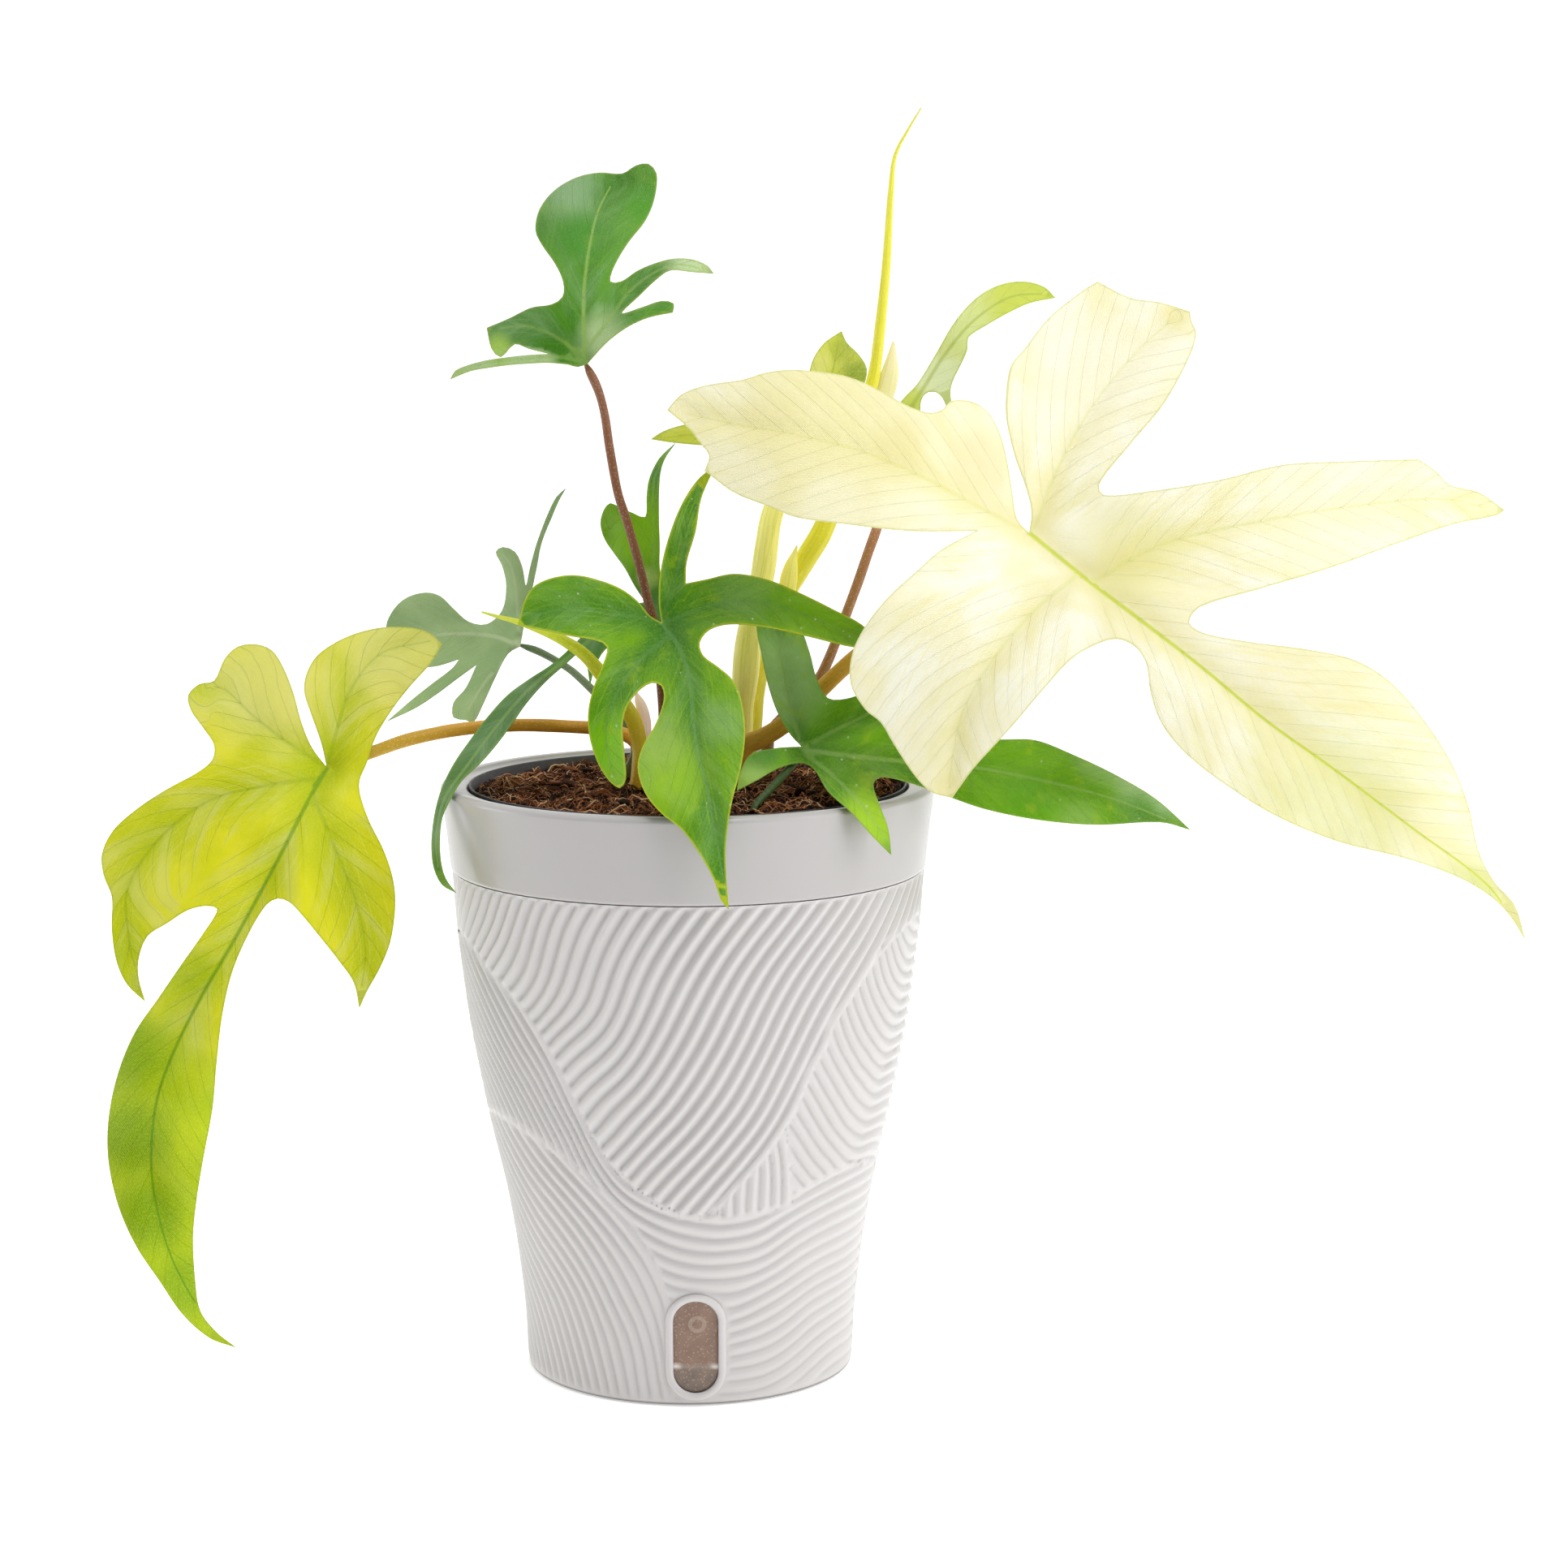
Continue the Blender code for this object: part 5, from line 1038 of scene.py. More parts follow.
def tube(centres, sections):
    """Points and faces of a closed tube. A section gives, for each centre, points round it."""
    along = np.gradient(centres, axis=0)
    along /= np.linalg.norm(along, axis=1)[:, None]
    side = np.cross(along[0], [0.0, 1.0, 0.2])
    places = []
    for centre, direction, section in zip(centres, along, sections):
        side = side - direction * (side @ direction)
        side = side / np.linalg.norm(side)
        other = np.cross(direction, side)
        places.append(centre + section[:, :1] * side + section[:, 1:2] * other)
    sides = len(sections[0])
    rings = len(centres)
    faces = ring_faces(rings, sides)
    first, last = rings * sides, rings * sides + 1
    top = (rings - 1) * sides
    for k in range(sides):
        after = (k + 1) % sides
        faces += [(first, after, k), (last, top + k, top + after)]
    return np.vstack([*places, centres[:1], centres[-1:]]), faces


def ring_angles(sides):
    return 2 * math.pi * np.arange(sides) / sides


def colour(code):
    """A hex sRGB colour as linear numbers."""
    parts = [int(code[i : i + 2], 16) / 255 for i in (1, 3, 5)]
    return (*[p / 12.92 if p <= 0.04045 else ((p + 0.055) / 1.055) ** 2.4 for p in parts], 1.0)


def add(finish, kind, *values, out=0, **named):
    """A node: values go to its open sockets in order, named ones to a setting or to a socket."""
    node = finish.node_tree.nodes.new("ShaderNode" + kind)
    for key in [key for key in named if key in node.bl_rna.properties]:
        setattr(node, key, named.pop(key))
    sockets = [socket for socket in node.inputs if socket.enabled]
    pairs = [*zip(sockets, values), *((node.inputs[key], value) for key, value in named.items())]
    for socket, value in pairs:
        if isinstance(value, bpy.types.NodeSocket):
            finish.node_tree.links.new(value, socket)
        else:
            socket.default_value = colour(value) if isinstance(value, str) else value
    return node.outputs[out]


def new_finish(name, fixed):
    """A surface with its fixed values set on the shader itself."""
    finish = bpy.data.materials.new(name)
    finish.use_nodes = True
    shader = finish.node_tree.nodes["Principled BSDF"]
    for socket, value in fixed.items():
        shader.inputs[socket].default_value = value
    return finish, shader


def coats(finish, tone, *layers):
    """Colours laid over a tone one after the other, each by its own share."""
    for share, code in layers:
        tone = add(finish, "Mix", share, tone, code, data_type="RGBA", out=2)
    return tone


def surface(finish, shader, tone, roughness, height, depth_mm, strength=0.6):
    """A finish with its colour, roughness and fine relief joined to its shader."""
    relief = add(finish, "Bump", Strength=strength, Distance=depth_mm * MM, Height=height)
    for socket, source in (("Base Color", tone), ("Roughness", roughness), ("Normal", relief)):
        finish.node_tree.links.new(source, shader.inputs[socket])
    return finish


def leaf_finish(name, look):
    """Waxy leaf skin, grown: soft blotches, faint side veins, a thin pale rim and a satin gloss.

    flat is the leaf's own plane in millimetres, rib runs along and across the side veins, and the
    other fields are distances in millimetres from the midribs and from the leaf's edge."""
    look = {**LEAF_BASE, **look}
    finish, shader = new_finish(name, {"Specular IOR Level": look["gloss"]})
    node = partial(add, finish)
    flat, rib = (node("Attribute", attribute_name=key, out="Vector") for key in ("flat", "rib"))
    vein, edge, under, reach, fade = (
        node("Attribute", attribute_name=key, out="Fac")
        for key in ("vein", "edge", "under", "reach", "rib_fade")
    )
    phase, away, rank = (node("SeparateXYZ", rib, out=part) for part in range(3))

    # Clouds of colour some 20 mm across
    cloud = node("TexNoise", flat, 0.045, 3.0, 0.5, Distortion=0.6)
    clouded = node("MapRange", cloud, 0.36, 0.66, **SMOOTH)
    tone = node("Mix", clouded, look["light"], look["deep"], data_type="RGBA", out=2)
    # Valleys along the midribs: partly the leaf's own deeper colour, partly painted crease shade
    if "valley" in look:
        near = node("MapRange", away, 0.5, look["valley_reach"], look["valleys"], 0.0, **SMOOTH)
        tone = coats(finish, tone, (near, look["valley"]))
    # Streaks along the side veins, a fifth of their spacing wide
    streaks = node("TexNoise", node("Mapping", rib, Scale=(5.0, 0.05, 3.0)), 1.0, 5.0, 0.7)
    streak_share = node("MapRange", streaks, 0.5, 0.72, 0.0, look["streaks"], **SMOOTH)
    tone = coats(finish, tone, (streak_share, look["streak"]))
    # Lines along the lobes, under a millimetre apart
    along = node("TexNoise", node("Mapping", rib, Scale=(0.25, 1.2, 3.0)), 1.0, 4.0, 0.65)
    for low, high, most, code in ((0.5, 0.68, 0.5, look["streak"]), (0.48, 0.32, 0.4, look["deep"])):
        share = node("MapRange", along, low, high, 0.0, most, **SMOOTH)
        tone = coats(finish, tone, (node("Math", share, fade, operation="MULTIPLY"), code))
    # Strokes along the side veins: painted sheen, but the pale leaf's own yellow streaks
    if "sheen" in look:
        strokes = node("Mapping", rib, Scale=(0.55, 0.035, 3.0))
        stroke = node("TexNoise", strokes, 1.0, 6.0, 0.62, Distortion=0.3)
        stroke = node("MapRange", stroke, 0.44, 0.66, 0.0, look["sheens"], **SMOOTH)
        stroke = node("Math", stroke, fade, operation="MULTIPLY")
        tone = coats(finish, tone, (stroke, look["sheen"]))
    # A colour that the leaf takes towards its tip, from one share of its length to another
    if "tip" in look:
        wander = node("Math", cloud, 0.25, reach, operation="MULTIPLY_ADD")
        turning = node("MapRange", wander, *look["tip_from"], 0.0, 0.85, **SMOOTH)
        tone = coats(finish, tone, (turning, look["tip"]))
    # Lobes curled over, so that their paler underside shows, each round its own midrib
    for lobe, share, code in look["curled"]:
        chosen = node("Math", rank, float(lobe), 0.5, operation="COMPARE")
        curl = node("MapRange", fade, 0.2, 0.9, 0.0, share)
        tone = coats(finish, tone, (node("Math", chosen, curl, operation="MULTIPLY"), code))
    # Patches of another colour, each round a place on the sheet, so wide in millimetres: mostly the
    # leaf's own colour, and a few painted sheen, as noted in the looks
    for place, wide, share, code in look["washes"]:
        apart = node("VectorMath", flat, (*sheet_mm(place), 0.0), operation="DISTANCE", out="Value")
        apart = node("Math", cloud, 0.8 * wide, apart, operation="MULTIPLY_ADD")
        share = node("MapRange", apart, 0.7 * wide, 1.6 * wide, share, 0.0, **SMOOTH)
        tone = coats(finish, tone, (share, code))
    # Mottling in blotches some 10 mm across
    if "blotch" in look:
        mottle = node("TexNoise", flat, 0.1, 5.0, 0.62, Distortion=0.5)
        share = node("MapRange", mottle, 0.54, 0.7, 0.0, look["blotches"], **SMOOTH)
        tone = coats(finish, tone, (share, look["blotch"]))
    # Pale cells of the skin, under a millimetre wide
    cells = node("TexNoise", flat, 1.5, 4.0, 0.7)
    tone = coats(finish, tone, (node("MapRange", cells, 0.45, 0.7, 0.0, 0.35), look["streak"]))
    # Side veins a third of a millimetre wide, with nine finer ones between two of them
    beside = node("Math", phase, 0.5, operation="PINGPONG")
    side = node("MapRange", beside, 0.0, 0.05, 1.0, 0.0, **SMOOTH)
    side = node("Math", side, fade, operation="MULTIPLY")
    counted = node("Math", phase, 9.0, operation="MULTIPLY")
    between = node("Math", counted, 0.5, operation="PINGPONG")
    fine = node("MapRange", between, 0.1, 0.5, **SMOOTH)
    fine = node("Math", fine, fade, operation="MULTIPLY")
    # The main midrib shows more than the others
    first = node("Math", rank, 0.5, operation="LESS_THAN")
    shown = node("MapRange", first, 0.0, 1.0, look["minor"], look["midrib"])
    midrib = node("MapRange", vein, 0.2, 1.0, 1.0, 0.0, **SMOOTH)
    midrib = node("Math", midrib, shown, operation="MULTIPLY")
    tone = coats(
        finish, tone,
        (node("Math", side, look["side"], operation="MULTIPLY"), look["vein"]),
        (node("Math", fine, look["fine"], operation="MULTIPLY"), look["light"]),
        (midrib, look["vein"]),
    )
    # Pale specks under a millimetre wide, in loose groups
    if "specks" in look:
        spots = node("TexVoronoi", flat, 0.33)
        seldom = node("TexNoise", flat, 0.11, 2.0)
        seldom = node("MapRange", seldom, 0.52, 0.6, 0.0, look["specks"], **SMOOTH)
        spot = node("MapRange", spots, 0.05, 0.16, 1.0, 0.0, **SMOOTH)
        tone = coats(finish, tone, (node("Math", spot, seldom, operation="MULTIPLY"), "#DDE8C8"))
    rim = node("MapRange", edge, 0.1, 0.7, look["rim_share"], 0.0, **SMOOTH)
    tone = coats(finish, tone, (rim, look["rim"]))
    # The underside is duller and paler, with a lighter midrib
    below = coats(
        finish, look["under"],
        (node("MapRange", cloud, 0.35, 0.65, 0.0, 0.6, **SMOOTH), look["under_deep"]),
        (streak_share, look["under_deep"]),
        (node("Math", side, 0.4, operation="MULTIPLY"), look["under_vein"]),
        (midrib, look["under_vein"]),
    )
    skin = node("Mix", under, tone, below, data_type="RGBA", out=2)

    # Wax comes and goes in patches some 4 mm across, and the underside is matter
    matt = look["roughness"]
    wax = node("TexNoise", flat, 0.25, 3.0)
    roughness = node("MapRange", wax, 0.3, 0.7, matt - 0.06, matt + 0.08, **SMOOTH)
    roughness = node("Math", under, 0.16, roughness, operation="MULTIPLY_ADD")
    grain = node("TexNoise", flat, 1.1, 3.0, 0.6)
    height = node("Math", fine, 0.7, grain, operation="MULTIPLY_ADD")
    height = node("Math", side, -1.6, height, operation="MULTIPLY_ADD")
    surface(finish, shader, skin, roughness, height, 0.11)

    # Light that falls on the far face glows through the blade
    thin = node("BsdfTranslucent", skin)
    through = node("MixShader", look["glow"], shader.outputs[0], thin)
    finish.node_tree.links.new(through, finish.node_tree.nodes["Material Output"].inputs["Surface"])
    return finish


class Leaf:
    """A blade's outline, its midribs, and its depth over the sheet, creased along the midribs."""

    def __init__(self, drawn, veins, posts, crease, fold):
        self.drawn = drawn
        self.veins = [sheet_line(vein) for vein in veins]
        self.ribs = [whole_spline(vein, FACE_STEP) for vein in self.veins]
        self.plate = Plate(sheet_line(posts), [post[2] for post in posts])
        self.crease, self.fold = crease, fold

    def depth(self, points):
        depth = self.plate.height(points)
        for i, vein in enumerate(self.veins):
            reach, share = CREASES[min(i, 1)]
            away = along_path(points, vein)[0]
            depth = depth - self.crease * share * np.exp(-((away / reach) ** 2))
        nearest = np.min([along_path(points, rib)[0] for rib in self.ribs], axis=0)
        return depth - self.fold * np.exp(-nearest / FOLD_REACH)

    def triangles(self):
        """Points and triangles that fill the outline, with the midribs as lines of the mesh.

        A midrib's line leaves out what comes too near the edge or another midrib."""
        edge = outline_loop(self.drawn, EDGE_STEP)
        points = list(edge)
        lines = [(i, (i + 1) % len(edge)) for i in range(len(edge))]
        kept = np.empty((0, 2))
        for rib in self.ribs:
            run = rib[1:-1]
            clear = inside(run, edge) & (along_path(run, closed(edge))[0] > 0.8)
            last = None
            for point, is_clear in zip(run, clear):
                if not is_clear or (len(kept) and np.linalg.norm(kept - point, axis=1).min() < 0.9):
                    last = None
                    continue
                kept = np.vstack([kept, point])
                points.append(point)
                if last is not None:
                    lines.append((last, len(points) - 1))
                last = len(points) - 1
        low, high = edge.min(0), edge.max(0)
        rows = np.arange(low[1], high[1], FACE_STEP * 0.87)
        grid = np.array([
            (u + (row % 2) * FACE_STEP / 2, v)
            for row, v in enumerate(rows) for u in np.arange(low[0], high[0], FACE_STEP)
        ])
        grid = grid[inside(grid, edge)]
        grid = grid[along_path(grid, closed(edge))[0] > 0.6 * FACE_STEP]
        if len(kept):
            away = np.array([np.linalg.norm(kept - point, axis=1).min() for point in grid])
            grid = grid[away > 0.55 * FACE_STEP]
        flat = [Vector(point) for point in [*points, *grid]]
        found = delaunay_2d_cdt(flat, lines, [list(range(len(edge)))], 1, 1e-5)
        places = np.array([tuple(point) for point in found[0]])
        faces = np.array(found[2])
        a, b, c = (places[faces[:, k]] for k in range(3))
        area = (b[:, 0] - a[:, 0]) * (c[:, 1] - a[:, 1]) - (b[:, 1] - a[:, 1]) * (c[:, 0] - a[:, 0])
        faces[area < 0] = faces[area < 0][:, ::-1]
        return places, faces[np.abs(area) > 1e-4]

    def fields(self, flat, rib_spacing):
        """What the leaf's finish reads at each point."""
        edge = along_path(flat, closed(outline_loop(self.drawn, EDGE_STEP)))[0]
        away, place, length = zip(*[along_path(flat, rib) for rib in self.ribs])
        away, place = np.array(away), np.array(place)
        nearest = away.argmin(0)
        index = np.arange(len(flat))
        vein, spot = away[nearest, index], place[nearest, index]
        second = np.partition(away, 1, axis=0)[1] if len(away) > 1 else np.full(len(flat), 1e3)
        width = 1.15 - 0.75 * spot / np.array(length)[nearest]
        phase = (spot - VEIN_SWEEP * vein) / rib_spacing + 0.37 * nearest
        reach = np.linalg.norm(flat - self.ribs[0][0], axis=1)
        return {
            "flat": np.column_stack([flat, np.zeros(len(flat))]),
            "rib": np.column_stack([phase, vein, nearest]),
            "rib_fade": smoothstep(second - vein, 1.0, 6.0) * smoothstep(reach, 4.0, 14.0),
            "vein": vein / width,
            "edge": edge,
            "reach": reach / reach.max(),
        }


def border_edges(faces):
    """The edges that belong to one face only, in that face's direction."""
    seen = {(face[i], face[(i + 1) % 3]) for face in faces.tolist() for i in range(3)}
    return [edge for edge in sorted(seen) if (edge[1], edge[0]) not in seen]


def point_normals(places, faces):
    """The surface's direction at each point, from the triangles round it."""
    corners = places[faces]
    across = np.cross(corners[:, 1] - corners[:, 0], corners[:, 2] - corners[:, 0])
    normals = np.zeros_like(places)
    for k in range(3):
        np.add.at(normals, faces[:, k], across)
    return normals / np.linalg.norm(normals, axis=1)[:, None]


def make_blade(name, leaf, finish, slot, rib_spacing, seen_from_below):
    """A thin blade: quilted between its side veins, grooved above its midribs and ridged below."""
    flat, faces = leaf.triangles()
    fields = leaf.fields(flat, rib_spacing)
    depth = leaf.depth(flat)
    phase, vein = fields["rib"][:, 0], fields["rib"][:, 1]
    swell = (0.5 - 0.5 * np.cos(2 * math.pi * phase)) * fields["rib_fade"]
    swell *= np.minimum(1, fields["edge"] / 4) * np.minimum(1, vein / 3)
    side = -1.0 if seen_from_below else 1.0
    ripple = np.sin(flat[:, 0] / 5.1 + 1.3) * np.sin(flat[:, 1] / 6.3)
    ripple *= smoothstep(-fields["edge"], -7, 0)
    middle = in_space(flat, depth + side * QUILT * swell + EDGE_RIPPLE * ripple)
    normals = point_normals(middle, faces)
    rib = np.exp(-((vein / 1.3) ** 2)) * np.clip(fields["edge"] / 3, 0, 1)
    stout = np.clip(1.15 - 1.1 * fields["reach"], 0.25, 1.0)
    thick = BLADE / 2 * (0.45 + 0.55 * np.clip(fields["edge"] / 1.5, 0, 1))
    groove, ridge = thick - RIB_GROOVE * rib, thick + RIB_RIDGE * rib * stout
    ahead, behind = (ridge, groove) if seen_from_below else (groove, ridge)
    places = np.vstack([middle + normals * ahead[:, None], middle - normals * behind[:, None]])
    count = len(middle)
    walls = []
    for a, b in border_edges(faces):
        walls += [(b, a, a + count), (b, a + count, b + count)]
    backs = faces[:, ::-1] + count
    fields = {key: np.concatenate([values, values]) for key, values in fields.items()}
    front = np.ones(count) if seen_from_below else np.zeros(count)
    fields["under"] = np.concatenate([front, 1 - front])
    skins = [*faces.tolist(), *backs.tolist(), *walls]
    piece = new_piece("blade_" + name, places, skins, finish, fields, 75)
    settle(piece, slot, "leaf_" + name)


def drawn_knots(drawn):
    """Centres and radii along a drawn stalk."""
    depths, radii = zip(*[point[2:] for point in drawn])
    return np.column_stack([in_space(sheet_line(drawn), depths), radii])


def rooted_knots(root, drawn):
    """Centres and radii along a drawn stalk that comes up from inside the soil."""
    x, y, radius = root
    buried, ground = ((x, y, level, radius) for level in (SOIL_TOP - ROOT_DEPTH, SOIL_TOP + 5.0))
    shown = whole_spline([np.array(ground), *drawn_knots(drawn)], COARSE_STALK_STEP)
    return np.vstack([buried, shown])


def behind_blade(run, leaf):
    """A stalk's centres, moved back where its own blade hides them."""
    edge = outline_loop(leaf.drawn, COARSE_EDGE_STEP)
    flat, depth = on_sheet(run[:, :3])
    over = inside(flat, edge) | (along_path(flat, closed(edge))[0] < run[:, 3] + 0.8)
    step = 0.5
    level = leaf.depth(flat)
    slope = np.hypot(
        leaf.depth(flat + [step, 0]) - level, leaf.depth(flat + [0, step]) - level
    ) / step
    back = level - (run[:, 3] + 0.5) * np.hypot(1, slope)
    moved = in_space(flat, np.where(over, np.minimum(depth, back), depth))
    return np.column_stack([np.where(over[:, None], moved, run[:, :3]), run[:, 3]])


def run_lengths(run):
    """How far along a stalk each of its centres lies."""
    return np.cumsum(np.r_[0, np.linalg.norm(np.diff(run[:, :3], axis=0), axis=1)])


def make_tube(name, run, sections, finish, slot, nodes=(), smooth_angle=60):
    """A closed tube with its own places round and along it kept for its finish."""
    places, faces = tube(run[:, :3], sections)
    sides = len(sections[0])
    length = run_lengths(run)
    along = np.append(np.repeat(length, sides), [0, length[-1]])
    around = np.append(np.tile(ring_angles(sides), len(run)), [0, 0])
    skin = np.column_stack([np.cos(around), np.sin(around), along])
    fields = {"rise": along / length[-1], "skin": skin}
    settle(new_piece(name, places, faces, finish, fields, smooth_angle), slot, *nodes)


def make_stalk(name, drawn, leaf, finish, slot):
    """A fleshy stalk, swollen a little at its foot and where it meets the blade."""
    run = behind_blade(rooted_knots(ROOTS[name], drawn), leaf)
    run[:, 3] *= SLIM_STALKS.get(name, 1.0)
    run = whole_spline(run, STALK_STEP)
    length = run_lengths(run)
    turns = ring_angles(STALK_SIDES)
    sections = []
    for spot, radius in zip(length, run[:, 3]):
        left = length[-1] - spot
        knee = 1 + STALK_KNEE * math.exp(-(((left - 5.0) / 5.0) ** 2))
        base = 1 + (STALK_FOOT - 1) * math.exp(-((spot / 16.0) ** 2))
        ripple = 1 + 0.02 * np.sin(5 * turns + spot / 7) + 0.012 * math.sin(spot / 2.3)
        size = radius * min(knee * base, 1.35) * ripple * (0.55 + 0.45 * min(1, left / 3.0))
        sections.append(np.column_stack([size * np.cos(turns), size * 0.94 * np.sin(turns)]))
    make_tube("petiole_" + name, run, sections, finish, slot, ["stalk_" + name])


def make_rolled(name, node, root, drawn, finish, turns_per_mm, swell=1.0):
    """A leaf rolled up on itself: its skin steps out once round, where its edge laps over."""
    run = whole_spline(rooted_knots(root, drawn), ROLL_STEP)
    turns = ring_angles(ROLL_SIDES)
    sections = []
    for spot, radius in zip(run_lengths(run), run[:, 3]):
        lap = ((turns - 2 * math.pi * turns_per_mm * spot) / (2 * math.pi)) % 1.0
        size = swell * radius * (1 - ROLL_LAP + ROLL_LAP * np.minimum(1, lap * 1.12) * (lap < 0.96))
        sections.append(np.column_stack([size * np.cos(turns), size * np.sin(turns)]))
    make_tube(name, run, sections, finish, "yellow_shoot", [node], 50)


def make_sheath(name, drawn, finish, swell=1.0):
    """A short papery sheath: a flattened, pointed tube."""
    run = whole_spline(drawn_knots(drawn), SHEATH_STEP)
    turns = ring_angles(SHEATH_SIDES)
    sections = [
        np.column_stack([radius * np.cos(turns), radius * SHEATH_FLATNESS * np.sin(turns)])
        for radius in swell * run[:, 3]
    ]
    make_tube(name, run, sections, finish, "yellow_shoot")


def stalk_finish(name, look):
    """Fleshy stalk skin, grown: lengthwise fibre, specks half a millimetre wide, satin.

    Pale young stalks glow a little in their middle colour, by the strength lit: painted light."""
    look = {**STALK_BASE, **look}
    finish, shader = new_finish(name, {
        "Specular IOR Level": 0.3, "Emission Color": colour(look["middle"]),
        "Emission Strength": look["lit"],
    })
    node = partial(add, finish)
    rise = node("Attribute", attribute_name="rise", out="Fac")
    skin = node("Attribute", attribute_name="skin", out="Vector")
    rising = node("MapRange", rise, *look["rising"], **SMOOTH)
    ending = node("MapRange", rise, *look["ending"], **SMOOTH)
    fibre = node("TexNoise", node("Mapping", skin, Scale=(5.0, 5.0, 0.05)), 1.0, 4.0, 0.6)
    spots = node("TexVoronoi", node("Mapping", skin, Scale=(2.2, 2.2, 0.9)), 1.2)
    spots = node("MapRange", spots, 0.12, 0.36, look["specks"], 0.0, **SMOOTH)
    streaks = node("MapRange", fibre, 0.45, 0.7, 0.0, look["streaks"], **SMOOTH)
    tone = coats(
        finish, look["foot"], (rising, look["middle"]), (ending, look["top"]),
        (streaks, look["streak"]), (spots, look["speck"]),
    )
    matt = look["roughness"]
    roughness = node("MapRange", fibre, 0.3, 0.7, matt - 0.06, matt + 0.1, **SMOOTH)
    height = node("Math", spots, look["warts"], fibre, operation="MULTIPLY_ADD")
    return surface(finish, shader, tone, roughness, height, 0.25, 0.5)


def wall_radius(height):
    """The outer radius of the pot's plain wall at a height."""
    radii, heights = zip(*POT_PROFILE)
    return np.interp(height, heights, radii)


def smooth_wall_radius(height):
    """The pot's outer radius at a height, with the profile's corners eased over 12 mm."""
    height = np.asarray(height, float)
    around = np.clip(height[..., None] + np.linspace(-6, 6, 13), FOOT_EDGE, SEAM_HEIGHT)
    ease = np.minimum(1, np.minimum(height - FOOT_EDGE, SEAM_HEIGHT - height) / 6)
    plain = wall_radius(np.clip(height, FOOT_EDGE, SEAM_HEIGHT))
    return plain + (wall_radius(around).mean(-1) - plain) * np.clip(ease, 0, 1)


def on_pot(points):
    """Sheet points as places on the pot's unrolled wall: round from the front, and height."""
    rays = in_space(sheet_line(points), np.zeros(len(points))) - VIEWPOINT
    low, high = np.full(len(rays), 0.85), np.full(len(rays), 1.0)
    for _ in range(40):
        middle = (low + high) / 2
        places = VIEWPOINT + rays * middle[:, None]
        hit = np.hypot(places[:, 0], places[:, 1]) < wall_radius(places[:, 2])
        high = np.where(hit, middle, high)
        low = np.where(hit, low, middle)
    return np.column_stack([RELIEF_RADIUS * np.arctan2(places[:, 0], -places[:, 1]), places[:, 2]])


def wave_fields(around, height):
    """The count of ridges, their height and the way to the next border, on the unrolled wall.

    The back repeats the front's fields, and the two meet at a waving line on each side."""
    half = math.pi * RELIEF_RADIUS
    swing = SIDE_SWING * np.sin(height / SIDE_WAVE)
    turn = (around + half / 2 + swing) % half - half / 2 - swing
    angle = turn / RELIEF_RADIUS
    radius = wall_radius(height)
    flat, _ = on_sheet(np.column_stack([radius * np.sin(angle), -radius * np.cos(angle), height]))
    place = np.column_stack([turn, height])
    shield = inside(flat, sheet_line([TOP_LEFT, *SHIELD_LEFT, *SHIELD_RIGHT[::-1], TOP_RIGHT]))
    right = [TOP_RIGHT, *RIGHT_FOOT, *WEDGE_SIDE[1::-1], *SHIELD_RIGHT[5::-1]]
    right = inside(flat, sheet_line(right)) & ~shield
    wedge = inside(flat, sheet_line([*SHIELD_RIGHT[5:8], *WEDGE_FOOT[::-1], *WEDGE_SIDE[::-1]]))
    wedge &= ~shield & ~right
    left = inside(flat, sheet_line([*LEFT_SIDE, FOOT_LEFT])) & ~shield

    def ends(points):
        return smoothstep(along_path(flat, sheet_line(points))[0], 0.2, 1.5)

    rest = ~(shield | right | wedge | left)
    fields = [
        (shield, SHIELD_RIDGES, SHIELD_DEPTH, ends(SHIELD_LEFT)),
        (right, RIGHT_RIDGES, WAVE_DEPTH, ends(SHIELD_RIGHT) * ends(RIGHT_FOOT)),
        (wedge, WEDGE_RIDGES, WAVE_DEPTH, ends(SHIELD_RIGHT) * ends(WEDGE_FOOT) * ends(WEDGE_SIDE)),
        (left, LEFT_RIDGES, WAVE_DEPTH, ends(LEFT_SIDE[:5])),
        (rest, SWEEP_RIDGES, WAVE_DEPTH, ends(LEFT_SIDE[4:])),
    ]
    count, tall = np.zeros(len(around)), np.zeros(len(around))
    for where, counted, most, fade in fields:
        count[where] = Plate(on_pot(counted), [point[2] for point in counted]).height(place[where])
        tall[where] = most * fade[where]
    # Lower at the foot, and fading out at the foot, the seam, the window and the sides
    tall *= (0.72 + 0.28 * smoothstep(height, 40.0, 75.0)) * smoothstep(height, FOOT_EDGE, 4.0)
    tall *= smoothstep(SEAM_HEIGHT - height, 0.0, 1.2)
    turned_by = around / RELIEF_RADIUS
    across = np.where(np.cos(turned_by) > 0.5, radius * np.sin(turned_by), 99.0)
    tall *= smoothstep(window_distance(across, height), 1.5, 4.0)
    seam = half / 2 - np.abs(turn + swing)
    borders = (SHIELD_LEFT, SHIELD_RIGHT, RIGHT_FOOT, WEDGE_SIDE, WEDGE_FOOT, LEFT_SIDE)
    border = np.min([seam, *(along_path(flat, sheet_line(line))[0] for line in borders)], axis=0)
    return count, tall * smoothstep(seam, 0.2, 1.4), border


def window_distance(x, height):
    """How far a place on the pot's front lies outside the window's slot shape."""
    radius = WINDOW_WIDTH / 2
    middle = np.clip(height, WINDOW_BOTTOM + radius, WINDOW_TOP - radius)
    return np.hypot(x - WINDOW_X, height - middle) - radius


